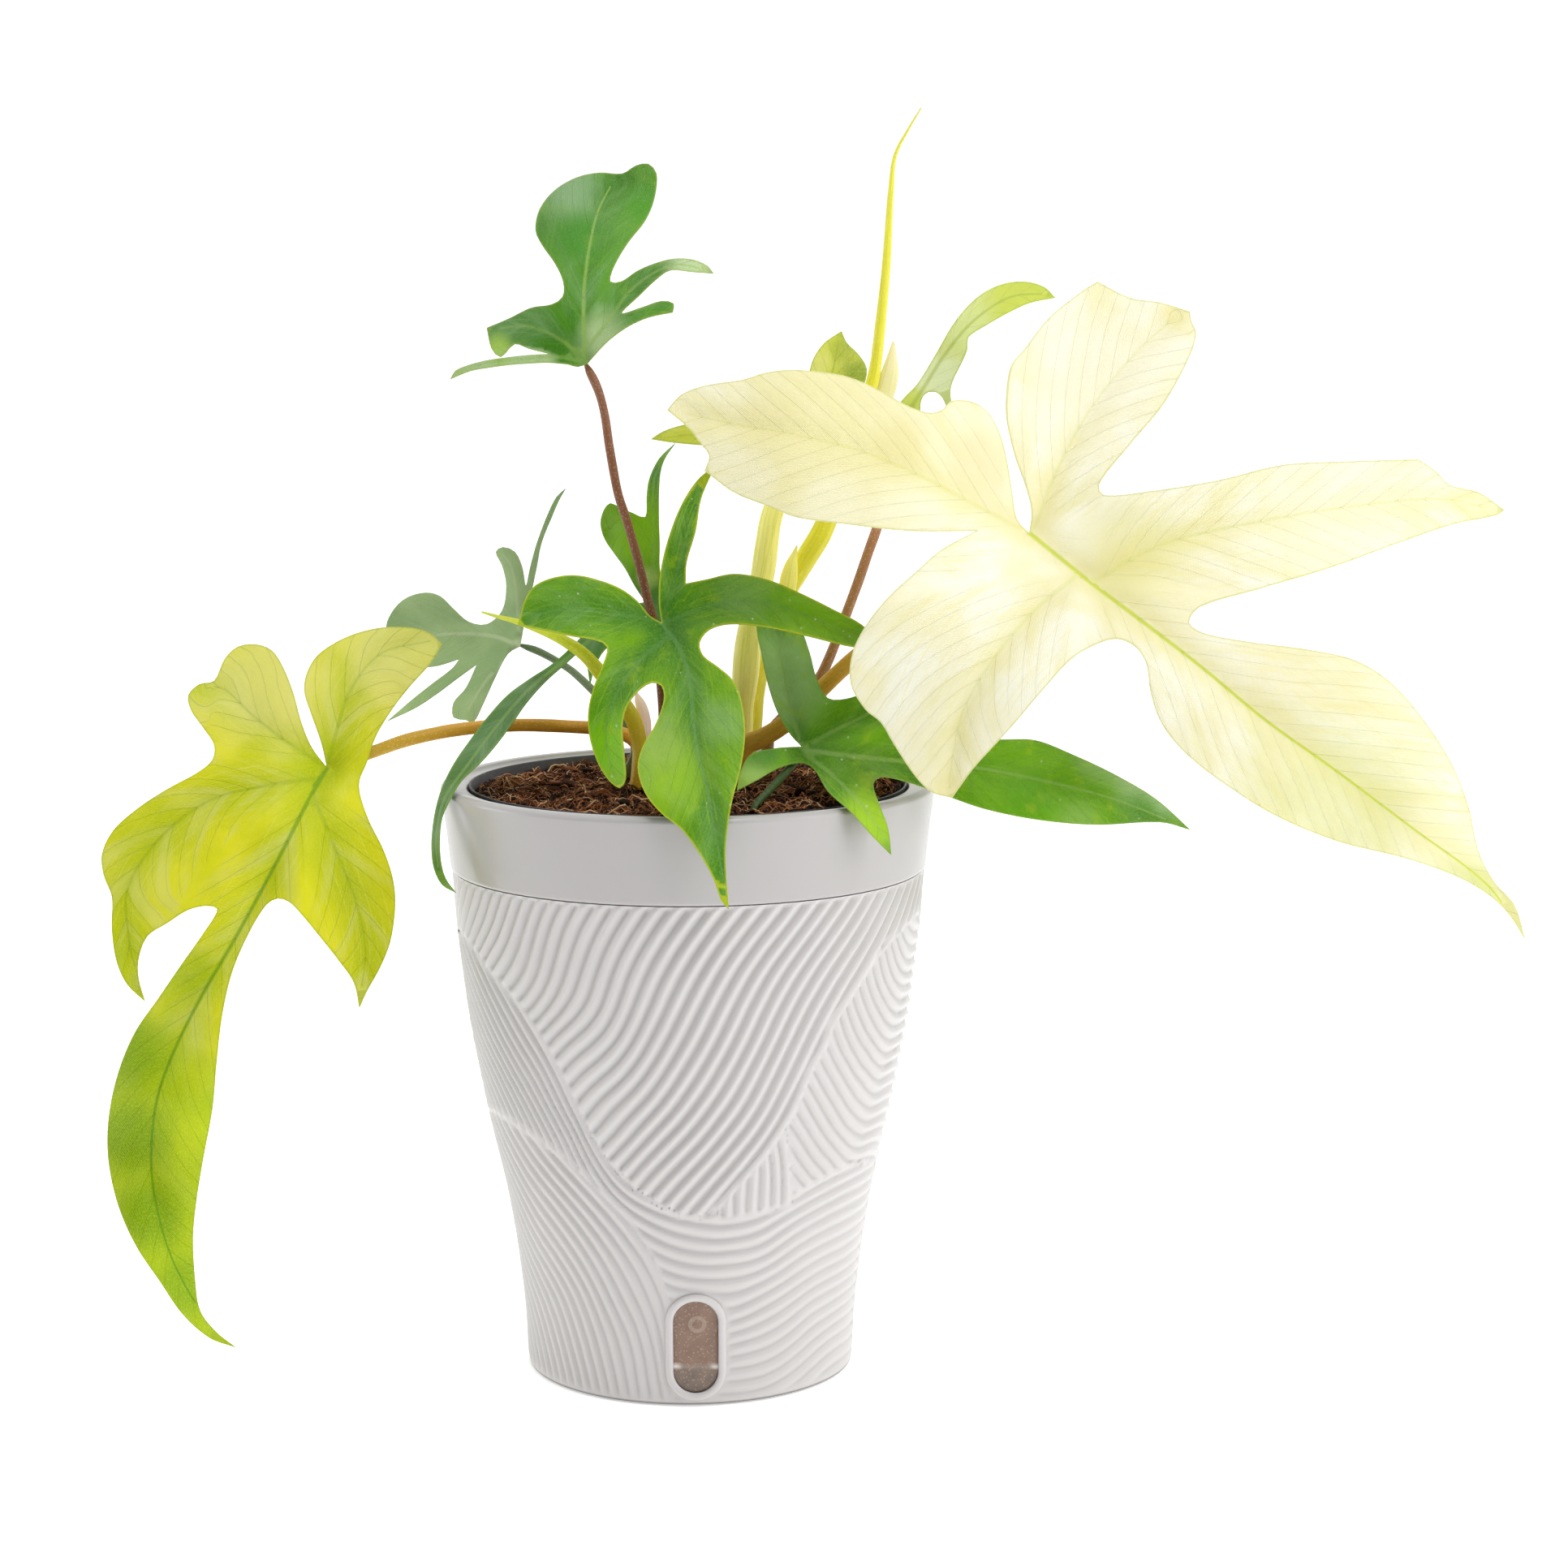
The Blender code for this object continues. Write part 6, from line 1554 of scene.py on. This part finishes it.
def slot_outline(margin, steps):
    """The window's outline, grown by a margin, as places across and up."""
    radius = WINDOW_WIDTH / 2
    turns = np.linspace(0, math.pi, steps + 1)
    across = (radius + margin) * np.cos(turns)
    up = (radius + margin) * np.sin(turns)
    top = np.column_stack([WINDOW_X + across, WINDOW_TOP - radius + up])
    foot = np.column_stack([WINDOW_X - across, WINDOW_BOTTOM + radius - up])
    return np.vstack([top, foot])


def make_slot_cutter():
    """The window's slot shape, from a circle that is stretched and run through the wall."""
    outline = slot_outline(0.0, 24)
    bpy.ops.mesh.primitive_circle_add(vertices=len(outline), radius=0.01, fill_type="NGON")
    cutter = bpy.context.object
    for vertex, (x, z) in zip(cutter.data.vertices, outline):
        vertex.co = (x * MM, -64.0 * MM, z * MM)
    bpy.ops.object.mode_set(mode="EDIT")
    bpy.ops.mesh.select_all(action="SELECT")
    bpy.ops.mesh.extrude_region_move(TRANSFORM_OT_translate={"value": (0, 30.0 * MM, 0)})
    close_editing()
    return cutter


def pull_ring(piece, start, steps):
    """Extrudes the ring of edges at one height to each radius and height in turn, then closes it."""
    mesh = piece.data
    level = np.abs(mesh_places(piece)[:, 2] / MM - start) < 0.01
    pairs = np.empty(len(mesh.edges) * 2, np.int32)
    mesh.edges.foreach_get("vertices", pairs)
    mesh.polygons.foreach_set("select", np.zeros(len(mesh.polygons), bool))
    mesh.vertices.foreach_set("select", level)
    mesh.edges.foreach_set("select", level[pairs.reshape(-1, 2)].all(axis=1))
    mesh.update()
    radius_now, height_now = wall_radius(start) - RELIEF_SINK, start
    bpy.ops.object.mode_set(mode="EDIT")
    for radius, height in steps:
        share = radius / radius_now
        bpy.ops.mesh.extrude_edges_move()
        bpy.ops.transform.resize(value=(share, share, 1.0), center_override=(0, 0, 0))
        bpy.ops.transform.translate(value=(0, 0, (height - height_now) * MM))
        radius_now, height_now = radius, height
    bpy.ops.mesh.merge(type="CENTER")
    bpy.ops.mesh.select_all(action="DESELECT")
    bpy.ops.object.mode_set(mode="OBJECT")


def make_pot_body(finish):
    """The outer pot with its waves: a grid bent round into a wall, then turned in at both ends."""
    heights = [FOOT_EDGE, *np.linspace(2.0, SEAM_HEIGHT - 0.4, BODY_ROWS - 2), SEAM_HEIGHT]
    bpy.ops.mesh.primitive_grid_add(
        x_subdivisions=BODY_COLUMNS, y_subdivisions=BODY_ROWS - 1, size=2.0
    )
    piece = bpy.context.object
    piece.name = piece.data.name = "pot_wall"
    column, row = mesh_places(piece).astype(float).T[:2]
    angle = column * math.pi
    height = np.array(heights)[np.rint((row + 1) / 2 * (BODY_ROWS - 1)).astype(int)]
    radius = smooth_wall_radius(height)
    count, tall, _ = wave_fields(angle * RELIEF_RADIUS, height)
    crest = (0.5 + 0.5 * np.cos(2 * math.pi * count)) ** 0.85
    radius = radius - RELIEF_SINK + MESH_SHARE * tall * (crest - CREST_MEAN)
    places = np.column_stack([radius * np.sin(angle), -radius * np.cos(angle), height])
    piece.data.vertices.foreach_set("co", (places * MM).ravel())
    bpy.ops.object.mode_set(mode="EDIT")
    bpy.ops.mesh.select_all(action="SELECT")
    bpy.ops.mesh.remove_doubles(threshold=1e-6)
    bpy.ops.object.mode_set(mode="OBJECT")
    pull_ring(piece, FOOT_EDGE, FOOT_RING)
    inner = [(wall_radius(h) - WALL, h) for h in (SEAM_HEIGHT, 109.0, 57.0, FLOOR)]
    pull_ring(piece, SEAM_HEIGHT, [*inner, (0.4, FLOOR)])
    bpy.ops.object.mode_set(mode="EDIT")
    close_editing()
    cutter = make_slot_cutter()
    pick(piece)
    step = piece.modifiers.new("Window", "BOOLEAN")
    step.operation = "DIFFERENCE"
    step.object = cutter
    step.solver = "FAST"
    bpy.ops.object.modifier_apply(modifier="Window")
    bpy.data.objects.remove(cutter, do_unlink=True)
    finish_piece(piece, finish, 50)
    x, y, height = mesh_places(piece).astype(float).T / MM
    height = np.clip(height, FOOT_EDGE, SEAM_HEIGHT)
    count, tall, border = wave_fields(RELIEF_RADIUS * np.arctan2(x, -y), height)
    outside = np.hypot(x, y) > wall_radius(height) - 0.8 * WALL
    sharp = np.where(outside, tall * smoothstep(border, 0.7, 1.5), 0.0)
    for key, values in (("waves", count), ("wave_height", sharp)):
        piece.data.attributes.new(key, "FLOAT", "POINT").data.foreach_set("value", values)
    bpy.ops.object.select_all(action="DESELECT")
    settle(piece, "white_plastic", "pot_body")


def make_window_frame(finish):
    """The raised smooth band round the window, bent to the pot's wall."""
    middle = slot_outline(BAND_MARGIN, 36)
    outward = slot_outline(BAND_MARGIN + 1.0, 36) - middle
    turns = ring_angles(14)
    places = []
    for (x, z), (dx, dz) in zip(middle, outward):
        for t in turns:
            aside = BAND_HALF_WIDTH * math.cos(t)
            across, up = x + dx * aside, z + dz * aside
            radius = smooth_wall_radius(up) + BAND_LIFT + BAND_HALF_THICKNESS * math.sin(t)
            places.append((across, -math.sqrt(radius**2 - across**2), up))
    faces = ring_faces(len(middle), len(turns), looped=True)
    faces = [(a, d, c, b) for a, b, c, d in faces]
    piece = new_piece("window_frame", places, faces, finish)
    pick(piece)
    bpy.ops.object.mode_set(mode="EDIT")
    close_editing()
    bpy.ops.object.select_all(action="DESELECT")
    settle(piece, "white_plastic")


def make_rim(finish):
    """The smooth collar: it rests on the wall's top edge, inside which its skirt hangs."""
    inner_wall = wall_radius(SEAM_HEIGHT) - WALL
    foot = SEAM_HEIGHT + GAP
    profile = rounded([
        (RIM_RADIUS - 1.5, POT_HEIGHT), (RIM_RADIUS, POT_HEIGHT - 1.2),
        (RIM_RADIUS - 1.6, POT_HEIGHT - 14.0), (RIM_RADIUS - 2.8, foot + 0.8),
        (RIM_RADIUS - 3.3, foot), (inner_wall - GAP, foot), (inner_wall - GAP - 1.2, foot - 9.0),
        (GROW_RADIUS_TOP + 0.6, foot - 9.0), (GROW_RADIUS_TOP + 0.6, LEDGE_HEIGHT),
        (GROW_RADIUS_TOP + 1.5, POT_HEIGHT - 1.3), (GROW_RADIUS_TOP + 5.2, POT_HEIGHT - 1.1),
        (GROW_RADIUS_TOP + 5.6, POT_HEIGHT - 0.1),
    ], 1.0)
    settle(turned("rim_band", profile, finish), "white_plastic", "pot_rim")


def make_grow_pot(finish):
    """The inner pot, with the wick cup under its floor."""
    shoulder = GROW_RADIUS_TOP - GROW_SLOPE * (LEDGE_HEIGHT - SHOULDER_HEIGHT)
    profile = rounded([
        (GROW_RADIUS_TOP + 1.1, POT_HEIGHT - 0.7), (GROW_RADIUS_TOP - 0.1, LEDGE_HEIGHT),
        (shoulder, SHOULDER_HEIGHT), (GROW_RADIUS_BOTTOM, GROW_BOTTOM), (WICK_RADIUS, GROW_BOTTOM),
        (WICK_RADIUS - WICK_TAPER, WICK_BOTTOM), (0.0, WICK_BOTTOM), (0.0, WICK_BOTTOM + GROW_WALL),
        (WICK_RADIUS - WICK_TAPER - GROW_WALL, WICK_BOTTOM + GROW_WALL),
        (WICK_RADIUS - GROW_WALL, GROW_BOTTOM + GROW_WALL),
        (GROW_RADIUS_BOTTOM - GROW_WALL, GROW_BOTTOM + GROW_WALL),
        (shoulder - GROW_WALL, SHOULDER_HEIGHT),
        (GROW_RADIUS_TOP - GROW_WALL, LEDGE_HEIGHT - 3.0), (GROW_RADIUS_TOP - 0.8, LEDGE_HEIGHT),
        (GROW_RADIUS_TOP + 0.4, POT_HEIGHT - 0.7),
    ], 0.6)
    settle(turned("inner_pot", profile, finish, 144), "dark_grey_plastic", "grow_pot")


def soil_level(x, y):
    """The soil's height: a low mound, higher at the right and front, with humps and hollows."""
    level = SOIL_TOP + SOIL_RAISE - SOIL_SINK * (math.hypot(x, y) / SOIL_RADIUS) ** 3
    level += (SOIL_LEAN[0] * x + SOIL_LEAN[1] * y) / SOIL_RADIUS
    for long, tall in SOIL_HUMPS:
        level += tall * noise.noise(Vector((x / long, y / long, long)))
    return level


def make_soil(finish):
    """Loose coir that fills the grow pot down to its wick cup."""
    floor = GROW_BOTTOM + GROW_WALL + GAP
    rings = [(radius, None) for radius in np.linspace(0.9, SOIL_RADIUS, SOIL_RINGS)]
    wall = GROW_RADIUS_TOP - GROW_WALL - GAP
    for height in (LEDGE_HEIGHT - 1.0, SHOULDER_HEIGHT, floor):
        rings.append((wall - GROW_SLOPE * (LEDGE_HEIGHT - height), height))
    wick, wick_floor = WICK_RADIUS - GROW_WALL - GAP, WICK_BOTTOM + GROW_WALL + GAP
    rings += [(wick, floor), (wick - WICK_TAPER, wick_floor)]
    places = []
    for radius, height in rings:
        for t in ring_angles(SOIL_SIDES):
            x, y = radius * math.cos(t), radius * math.sin(t)
            places.append((x, y, soil_level(x, y) if height is None else height))
    faces = [(a, d, c, b) for a, b, c, d in ring_faces(len(rings), SOIL_SIDES)]
    last = (len(rings) - 1) * SOIL_SIDES
    places += [(0, 0, soil_level(0, 0)), (0, 0, wick_floor)]
    for k in range(SOIL_SIDES):
        after = (k + 1) % SOIL_SIDES
        faces += [(len(places) - 2, k, after), (len(places) - 1, last + after, last + k)]
    settle(new_piece("soil_mound", places, faces, finish), "coir_soil", "soil")


def strewn(rng, reach):
    """A place picked evenly over the soil."""
    away, turn = reach * math.sqrt(rng.uniform()), rng.uniform(0, 2 * math.pi)
    return away * math.cos(turn), away * math.sin(turn)


def make_crumbs(finish):
    """Chips of bark on the soil: one rough lump, set down many times."""
    rng = np.random.default_rng(SOIL_SEED)
    bpy.ops.mesh.primitive_ico_sphere_add(subdivisions=1, radius=1.0)
    bpy.ops.object.mode_set(mode="EDIT")
    bpy.ops.mesh.select_all(action="SELECT")
    bpy.ops.mesh.bevel(offset=0.22, segments=1, affect="VERTICES")
    bpy.ops.object.mode_set(mode="OBJECT")
    lump = bpy.context.object
    base = np.array([vertex.co for vertex in lump.data.vertices])
    lump_faces = [tuple(face.vertices) for face in lump.data.polygons]
    bpy.data.objects.remove(lump, do_unlink=True)
    places, faces, shades = [], [], []
    for i in range(CRUMBS):
        x, y = strewn(rng, STREWN_REACH)
        size = rng.uniform(0.5, 0.9) * rng.choice([1.0, 1.6, 2.8], p=[0.55, 0.33, 0.12])
        shape = np.array([rng.uniform(*span) for span in ((0.8, 1.9), (0.6, 1.1), (0.3, 0.7))]) * size
        offset = rng.uniform(0, 50, 3)
        rough = [1 + 0.35 * noise.noise(Vector(point * 1.7 + offset)) for point in base]
        local = base * np.array(rough)[:, None] * shape
        spin, tip = rng.uniform(0, math.pi), rng.normal(0, 0.35)
        level = math.cos(tip)
        length = np.array([math.cos(spin) * level, math.sin(spin) * level, math.sin(tip)])
        width = np.array([-math.sin(spin), math.cos(spin), 0.0])
        local = local @ np.array([length, width, np.cross(length, width)])
        places.append(local + [x, y, soil_level(x, y) + 0.2 * size])
        faces += [tuple(i * len(base) + k for k in face) for face in lump_faces]
        shades += [rng.uniform()] * len(base)
    piece = new_piece("soil_chips", np.vstack(places), faces, finish, {"shade": shades}, 30)
    settle(piece, "coir_soil")


def make_fibres(finish):
    """Curled coir fibres, thin as thread, strewn over the soil and partly sunk in it."""
    rng = np.random.default_rng(SOIL_SEED + 1)
    places, faces, shades = [], [], []
    turns = ring_angles(4)
    for _ in range(FIBRES):
        x, y = strewn(rng, STREWN_REACH)
        heading, curl = rng.uniform(0, 2 * math.pi), rng.normal(0, 0.22)
        step, thick = rng.uniform(0.8, 1.9), rng.choice([0.1, 0.16, 0.26], p=[0.45, 0.4, 0.15])
        lift, wave = rng.uniform(0.2, 1.8), rng.uniform(0.25, 0.8)
        centres = []
        for k in range(FIBRE_POINTS):
            centres.append((x, y, soil_level(x, y) + lift * math.sin(k * wave + 0.2)))
            heading += curl + rng.normal(0, 0.2)
            x, y = x + step * math.cos(heading), y + step * math.sin(heading)
            if math.hypot(x, y) > FIBRE_REACH:
                x, y, heading = x * 0.96, y * 0.96, heading + math.pi / 2
        ring = np.column_stack([thick * np.cos(turns), thick * np.sin(turns)])
        tube_places, tube_faces = tube(np.array(centres), [ring] * len(centres))
        start = len(tube_places) * len(places)
        faces += [tuple(start + k for k in face) for face in tube_faces]
        places.append(tube_places)
        shades += [rng.uniform()] * len(tube_places)
    piece = new_piece("soil_fibres", np.vstack(places), faces, finish, {"shade": shades})
    settle(piece, "coir_soil")


def make_stem(name, height, finish):
    """A short stem with the rings that fallen leaves left on it."""
    x, y, radius = ROOTS[name]
    levels = np.linspace(SOIL_TOP - ROOT_DEPTH, SOIL_TOP + height, STEM_LEVELS)
    run = np.array([(x, y, level) for level in levels])
    turns = ring_angles(STEM_SIDES)
    sections = []
    for level in levels:
        share = max(0.0, (level - SOIL_TOP) / height)
        apart = (level - SOIL_TOP) % STEM_RINGS - STEM_RINGS / 2
        ring = 0.09 * math.exp(-((apart / 0.7) ** 2))
        size = radius * (1 - 0.2 * share + ring + 0.03 * np.sin(3 * turns + level / 4))
        size = size * math.sqrt(max(0.04, 1 - max(0.0, (share - 0.86) / 0.14) ** 2))
        sections.append(np.column_stack([size * np.cos(turns), size * np.sin(turns)]))
    make_tube("bark_" + name, run, sections, finish, "stem_bark", [name])


def white_moulding(name, code, dark, matt):
    """ABS, injection moulded: an even satin white with a fine spark-eroded grain.

    Where the wall has waves, their round crests and narrow grooves are sharpened, and the grooves
    are darkened with painted shade. A thin line of painted shadow runs round the foot, 1 mm high."""
    finish, shader = new_finish(name, {"IOR": 1.53})
    node = partial(add, finish)
    place = node("TexCoord", out="Object")
    waves = node("Attribute", attribute_name="waves", out="Fac")
    tall = node("Attribute", attribute_name="wave_height", out="Fac")
    swing = node("Math", waves, 2 * math.pi, operation="MULTIPLY")
    swing = node("Math", swing, operation="COSINE")
    crest = node("Math", swing, 0.5, 0.5, operation="MULTIPLY_ADD")
    crest = node("Math", crest, 0.6, operation="POWER")
    # Painted shade in the grooves between the crests
    painted_groove_shade = node("MapRange", crest, 0.0, 0.6, GROOVE_SHADE, 0.0)
    # Painted shadow: a dark line round the foot, where the pot meets the floor
    foot = node("MapRange", node("SeparateXYZ", place, out=2), 0.8 * MM, 1.4 * MM, 0.75, 0.0)
    tone = coats(
        finish, code,
        (node("TexNoise", place, 14.0, 3.0), dark),
        # Painted shade in the wave grooves
        (node("Math", painted_groove_shade, tall, operation="MULTIPLY"), "#8F8C8B"),
        # The painted shadow line round the foot
        (foot, "#4E4642"),
    )
    grain = node("TexNoise", place, 2600.0, 2.0)
    crest = node("Math", crest, 0.7, operation="SUBTRACT")
    crest = node("Math", crest, tall, operation="MULTIPLY")
    height = node("Math", grain, 0.04, crest, operation="MULTIPLY_ADD")
    roughness = node("MapRange", node("TexNoise", place, 60.0), 0.3, 0.7, matt, matt + 0.02)
    return surface(finish, shader, tone, roughness, height, WAVE_BUMP, 1.0)


def grey_moulding():
    """Recycled polypropylene, injection moulded: dull dark grey with pale scuffs and coir dust."""
    finish, shader = new_finish("recycled_polypropylene", {"IOR": 1.49})
    node = partial(add, finish)
    place = node("TexCoord", out="Object")
    scuffs = node("TexNoise", node("Mapping", place, Scale=(300.0, 300.0, 1500.0)), 1.0, 4.0)
    dust = node("TexNoise", place, 400.0, 5.0, 0.7)
    tone = coats(
        finish, "#343437",
        (node("MapRange", scuffs, 0.5, 0.75, 0.0, 0.4), "#5C5C5F"),
        (node("MapRange", dust, 0.56, 0.68, 0.0, 0.5), "#4A3A30"),
    )
    roughness = node("MapRange", dust, 0.3, 0.7, 0.45, 0.62)
    return surface(finish, shader, tone, roughness, scuffs, 0.08)


def misted_window():
    """Clear polystyrene over the reservoir, misted inside: fine beads on brown, and a waterline.

    A painted glint lies along the waterline, brightest towards the window's sides."""
    finish, shader = new_finish("misted_polystyrene", {
        "IOR": 1.59, "Coat Weight": 0.6, "Coat Roughness": 0.08,
    })
    node = partial(add, finish)
    place = node("TexCoord", out="Object")
    height = node("SeparateXYZ", place, out=2)
    wander = node("TexNoise", place, 160.0)
    wander = node("Math", wander, 2 * MM, height, operation="MULTIPLY_ADD")
    beads = node("TexVoronoi", place, 1000.0)
    bead = node("MapRange", beads, 0.1, 0.42, 1.0, 0.0, **SMOOTH)
    mist = node("TexNoise", place, 150.0, 5.0, 0.6)
    above = node("MapRange", wander, WATERLINE - MM, WATERLINE + MM, **SMOOTH)
    under = node("MapRange", wander, WATERLINE - 1.2 * MM, WATERLINE, **SMOOTH)
    over = node("MapRange", wander, WATERLINE + 0.1 * MM, WATERLINE + 1.3 * MM, 1.0, 0.0)
    line = node("Math", under, over, operation="MULTIPLY")
    aside = node("Math", node("SeparateXYZ", place), WINDOW_X * MM, operation="SUBTRACT")
    aside = node("Math", aside, operation="ABSOLUTE")
    painted_glints = node("MapRange", aside, 3.5 * MM, 6.2 * MM, 0.08, 0.8, **SMOOTH)
    ring = node("VectorMath", place, BUBBLE, operation="DISTANCE", out="Value")
    ring = node("Math", ring, BUBBLE_RADIUS, 0.5 * MM, operation="COMPARE")
    tone = coats(
        finish, "#5A493C",
        (above, "#6E4A32"),
        (node("MapRange", mist, 0.38, 0.62, 0.0, 0.55, **SMOOTH), "#866850"),
        (node("Math", bead, 0.38, operation="MULTIPLY"), "#BEA48C"),
        (node("Math", ring, 0.3, operation="MULTIPLY"), "#B9A596"),
        # Painted glint along the waterline
        (node("Math", line, painted_glints, operation="MULTIPLY"), "#EFE9E2"),
    )
    roughness = node("MapRange", mist, 0.3, 0.7, 0.3, 0.5)
    return surface(finish, shader, tone, roughness, bead, 0.15, 0.5)


def coir_mound():
    """Coir pith and composted bark, damp: red-brown crumbs 1 to 4 mm wide, with near black painted
    shade between them, darkest in the gaps at the crumbs' edges.
    """
    finish, shader = new_finish("damp_coir", {"Specular IOR Level": 0.1})
    node = partial(add, finish)
    place = node("TexCoord", out="Object")
    crumbs = node("TexVoronoi", place, 420.0)
    pith = node("TexNoise", place, 350.0, 6.0, 0.65)
    cloud = node("TexNoise", place, 60.0, 3.0)
    threads = node("TexNoise", node("Mapping", place, Scale=(900.0, 250.0, 600.0)), 1.0, 3.0)
    tone = coats(
        # Near black ground: painted shade between the pith and crumbs
        finish, "#150A05",
        (node("MapRange", pith, 0.44, 0.64, **SMOOTH), "#4E2C18"),
        (node("MapRange", cloud, 0.45, 0.65, 0.0, 0.5, **SMOOTH), "#2A150B"),
        (node("MapRange", threads, 0.56, 0.66, 0.0, 0.7, **SMOOTH), "#A87450"),
        # Painted shade in the gaps at the edges of the crumbs
        (node("MapRange", crumbs, 0.4, 0.7, 0.0, 0.8, **SMOOTH), "#130B08"),
    )
    height = node("Math", pith, 1.6, crumbs, operation="MULTIPLY_ADD")
    roughness = node("MapRange", pith, 0.3, 0.7, 0.95, 0.75)
    return surface(finish, shader, tone, roughness, height, 1.2, 1.0)


def strewn_finish(name, dark, middle, light, matt):
    """Bark or coir, dried: each bit has its own shade between three browns."""
    finish, shader = new_finish(name, {"Specular IOR Level": 0.12})
    node = partial(add, finish)
    shade = node("Attribute", attribute_name="shade", out="Fac")
    place = node("TexCoord", out="Object")
    grain = node("TexNoise", place, 900.0, 4.0, 0.6)
    mottled = node("Math", grain, 0.3, shade, operation="MULTIPLY_ADD")
    tone = coats(
        finish, dark,
        (node("MapRange", mottled, 0.15, 0.75, **SMOOTH), middle),
        (node("MapRange", mottled, 0.8, 1.15, **SMOOTH), light),
    )
    roughness = node("MapRange", grain, 0.3, 0.7, matt, matt + 0.15)
    return surface(finish, shader, tone, roughness, grain, 0.3)


def bark_finish():
    """Young woody stem: olive-brown skin cracked in fine lengthwise lines."""
    finish, shader = new_finish("stem_skin", {"Specular IOR Level": 0.3})
    node = partial(add, finish)
    skin = node("Attribute", attribute_name="skin", out="Vector")
    cracks = node("TexNoise", node("Mapping", skin, Scale=(4.0, 4.0, 0.25)), 1.0, 5.0, 0.7)
    tone = coats(
        finish, "#4E4326",
        (node("MapRange", cracks, 0.35, 0.65), "#7A7140"),
        (node("MapRange", cracks, 0.6, 0.8), "#9A8F62"),
    )
    roughness = node("MapRange", cracks, 0.3, 0.7, 0.6, 0.8)
    return surface(finish, shader, tone, roughness, cracks, 0.6)


def grow_leaves():
    blades = {key: leaf_finish("leaf_skin_" + key, look) for key, look in LEAF_LOOKS.items()}
    skins = {key: stalk_finish("stalk_skin_" + key, look) for key, look in STALK_LOOKS.items()}
    for name, row in LEAVES.items():
        leaf = Leaf(row["outline"], row["veins"], row["posts"], row["crease"], row["fold"])
        slot, stalk_slot = row["slots"]
        make_blade(name, leaf, blades[name], slot, row["spacing"], name == "back")
        make_stalk(name, row["stalk"], leaf, skins[row["stalk_look"]], stalk_slot)
    make_rolled("new_leaf_roll", "new_leaf_spike", ROOTS["spike"], SPIKE, skins["spike"], 0.006)
    make_sheath("new_leaf_sheath", SPIKE_SHEATH, skins["bract"], 1.4)
    make_sheath("new_leaf_wrap", SPIKE_WRAP, skins["far_left"])
    make_sheath("papery_sheath", PAPERY_SHEATH, skins["papery"])
    skin = skins["shoot"]
    make_rolled("yellow_shoot_roll", "rolled_shoot", ROOTS["shoot"], SHOOT, skin, 0.01, 1.25)


def build():
    body_white = white_moulding("satin_abs", "#CDCAC9", "#C7C4C3", 0.36)
    # The collar is the same white plastic as the wall; its darker colour is painted shade
    rim_white = white_moulding("smooth_abs", "#B3B0AF", "#AEABAA", 0.24)
    make_pot_body(body_white)
    make_window_frame(body_white)
    make_rim(rim_white)
    make_grow_pot(grey_moulding())
    window = misted_window()
    for material_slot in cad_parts["water_window"].material_slots:
        material_slot.material = window
    make_soil(coir_mound())
    make_crumbs(strewn_finish("composted_bark", "#160B06", "#4A2A18", "#8A5636", 0.75))
    make_fibres(strewn_finish("coir_fibre", "#3A2012", "#9A5E36", "#E6BC92", 0.6))
    bark = bark_finish()
    make_stem("stem_left", 16.0, bark)
    make_stem("stem_right", 18.0, bark)
    grow_leaves()


def set_stage():
    """White paper floor in a white room whose front wall is greyer, lit from the right and above."""
    white, shader = new_finish("floor_paper", {
        "Specular IOR Level": 0.1, "Emission Color": colour("#FFFFFF"),
        "Emission Strength": PAPER_GLOW,
    })
    paper = add(white, "TexNoise", add(white, "TexCoord", out="Object"), 900.0, 3.0)
    tone = coats(white, "#FFFFFF", (add(white, "MapRange", paper, 0.4, 0.8, 0.0, 0.05), "#F4F4F4"))
    roughness = add(white, "MapRange", paper, 0.3, 0.7, 0.85, 0.95)
    surface(white, shader, tone, roughness, paper, 0.05, 0.2)
    bpy.ops.mesh.primitive_plane_add(size=200.0)
    floor = bpy.context.object
    floor.name = "paper_floor"
    floor.data.materials.append(white)

    world = bpy.data.worlds.new("white_room")
    bpy.context.scene.world = world
    world.use_nodes = True
    place = add(world, "TexCoord")
    facing = add(world, "VectorMath", place, ROOM_BACK, operation="DOT_PRODUCT", out="Value")
    wall = add(world, "MapRange", facing, -0.9, 0.15, *ROOM_LIGHT, **SMOOTH)
    world.node_tree.links.new(wall, world.node_tree.nodes["Background"].inputs["Color"])
    for name, (place, width, power) in SOFTBOXES.items():
        light = bpy.data.lights.new(name, "AREA")
        light.size = width
        light.energy = power
        lamp = bpy.data.objects.new(name, light)
        lamp.location = place
        aim = Vector(SOFTBOX_AIM) - Vector(place)
        lamp.rotation_euler = aim.to_track_quat("-Z", "Y").to_euler()
        bpy.context.scene.collection.objects.link(lamp)

    lens = bpy.data.cameras.new("view")
    lens.lens = LENS_MM
    lens.sensor_width = SENSOR_MM
    camera = bpy.data.objects.new("view", lens)
    camera.location = VIEWPOINT * MM
    camera.rotation_euler = (math.pi / 2 - SHEET_TILT, 0.0, 0.0)
    bpy.context.scene.collection.objects.link(camera)
    bpy.context.scene.camera = camera
    bpy.context.scene.view_settings.view_transform = "Standard"


build()
set_stage()
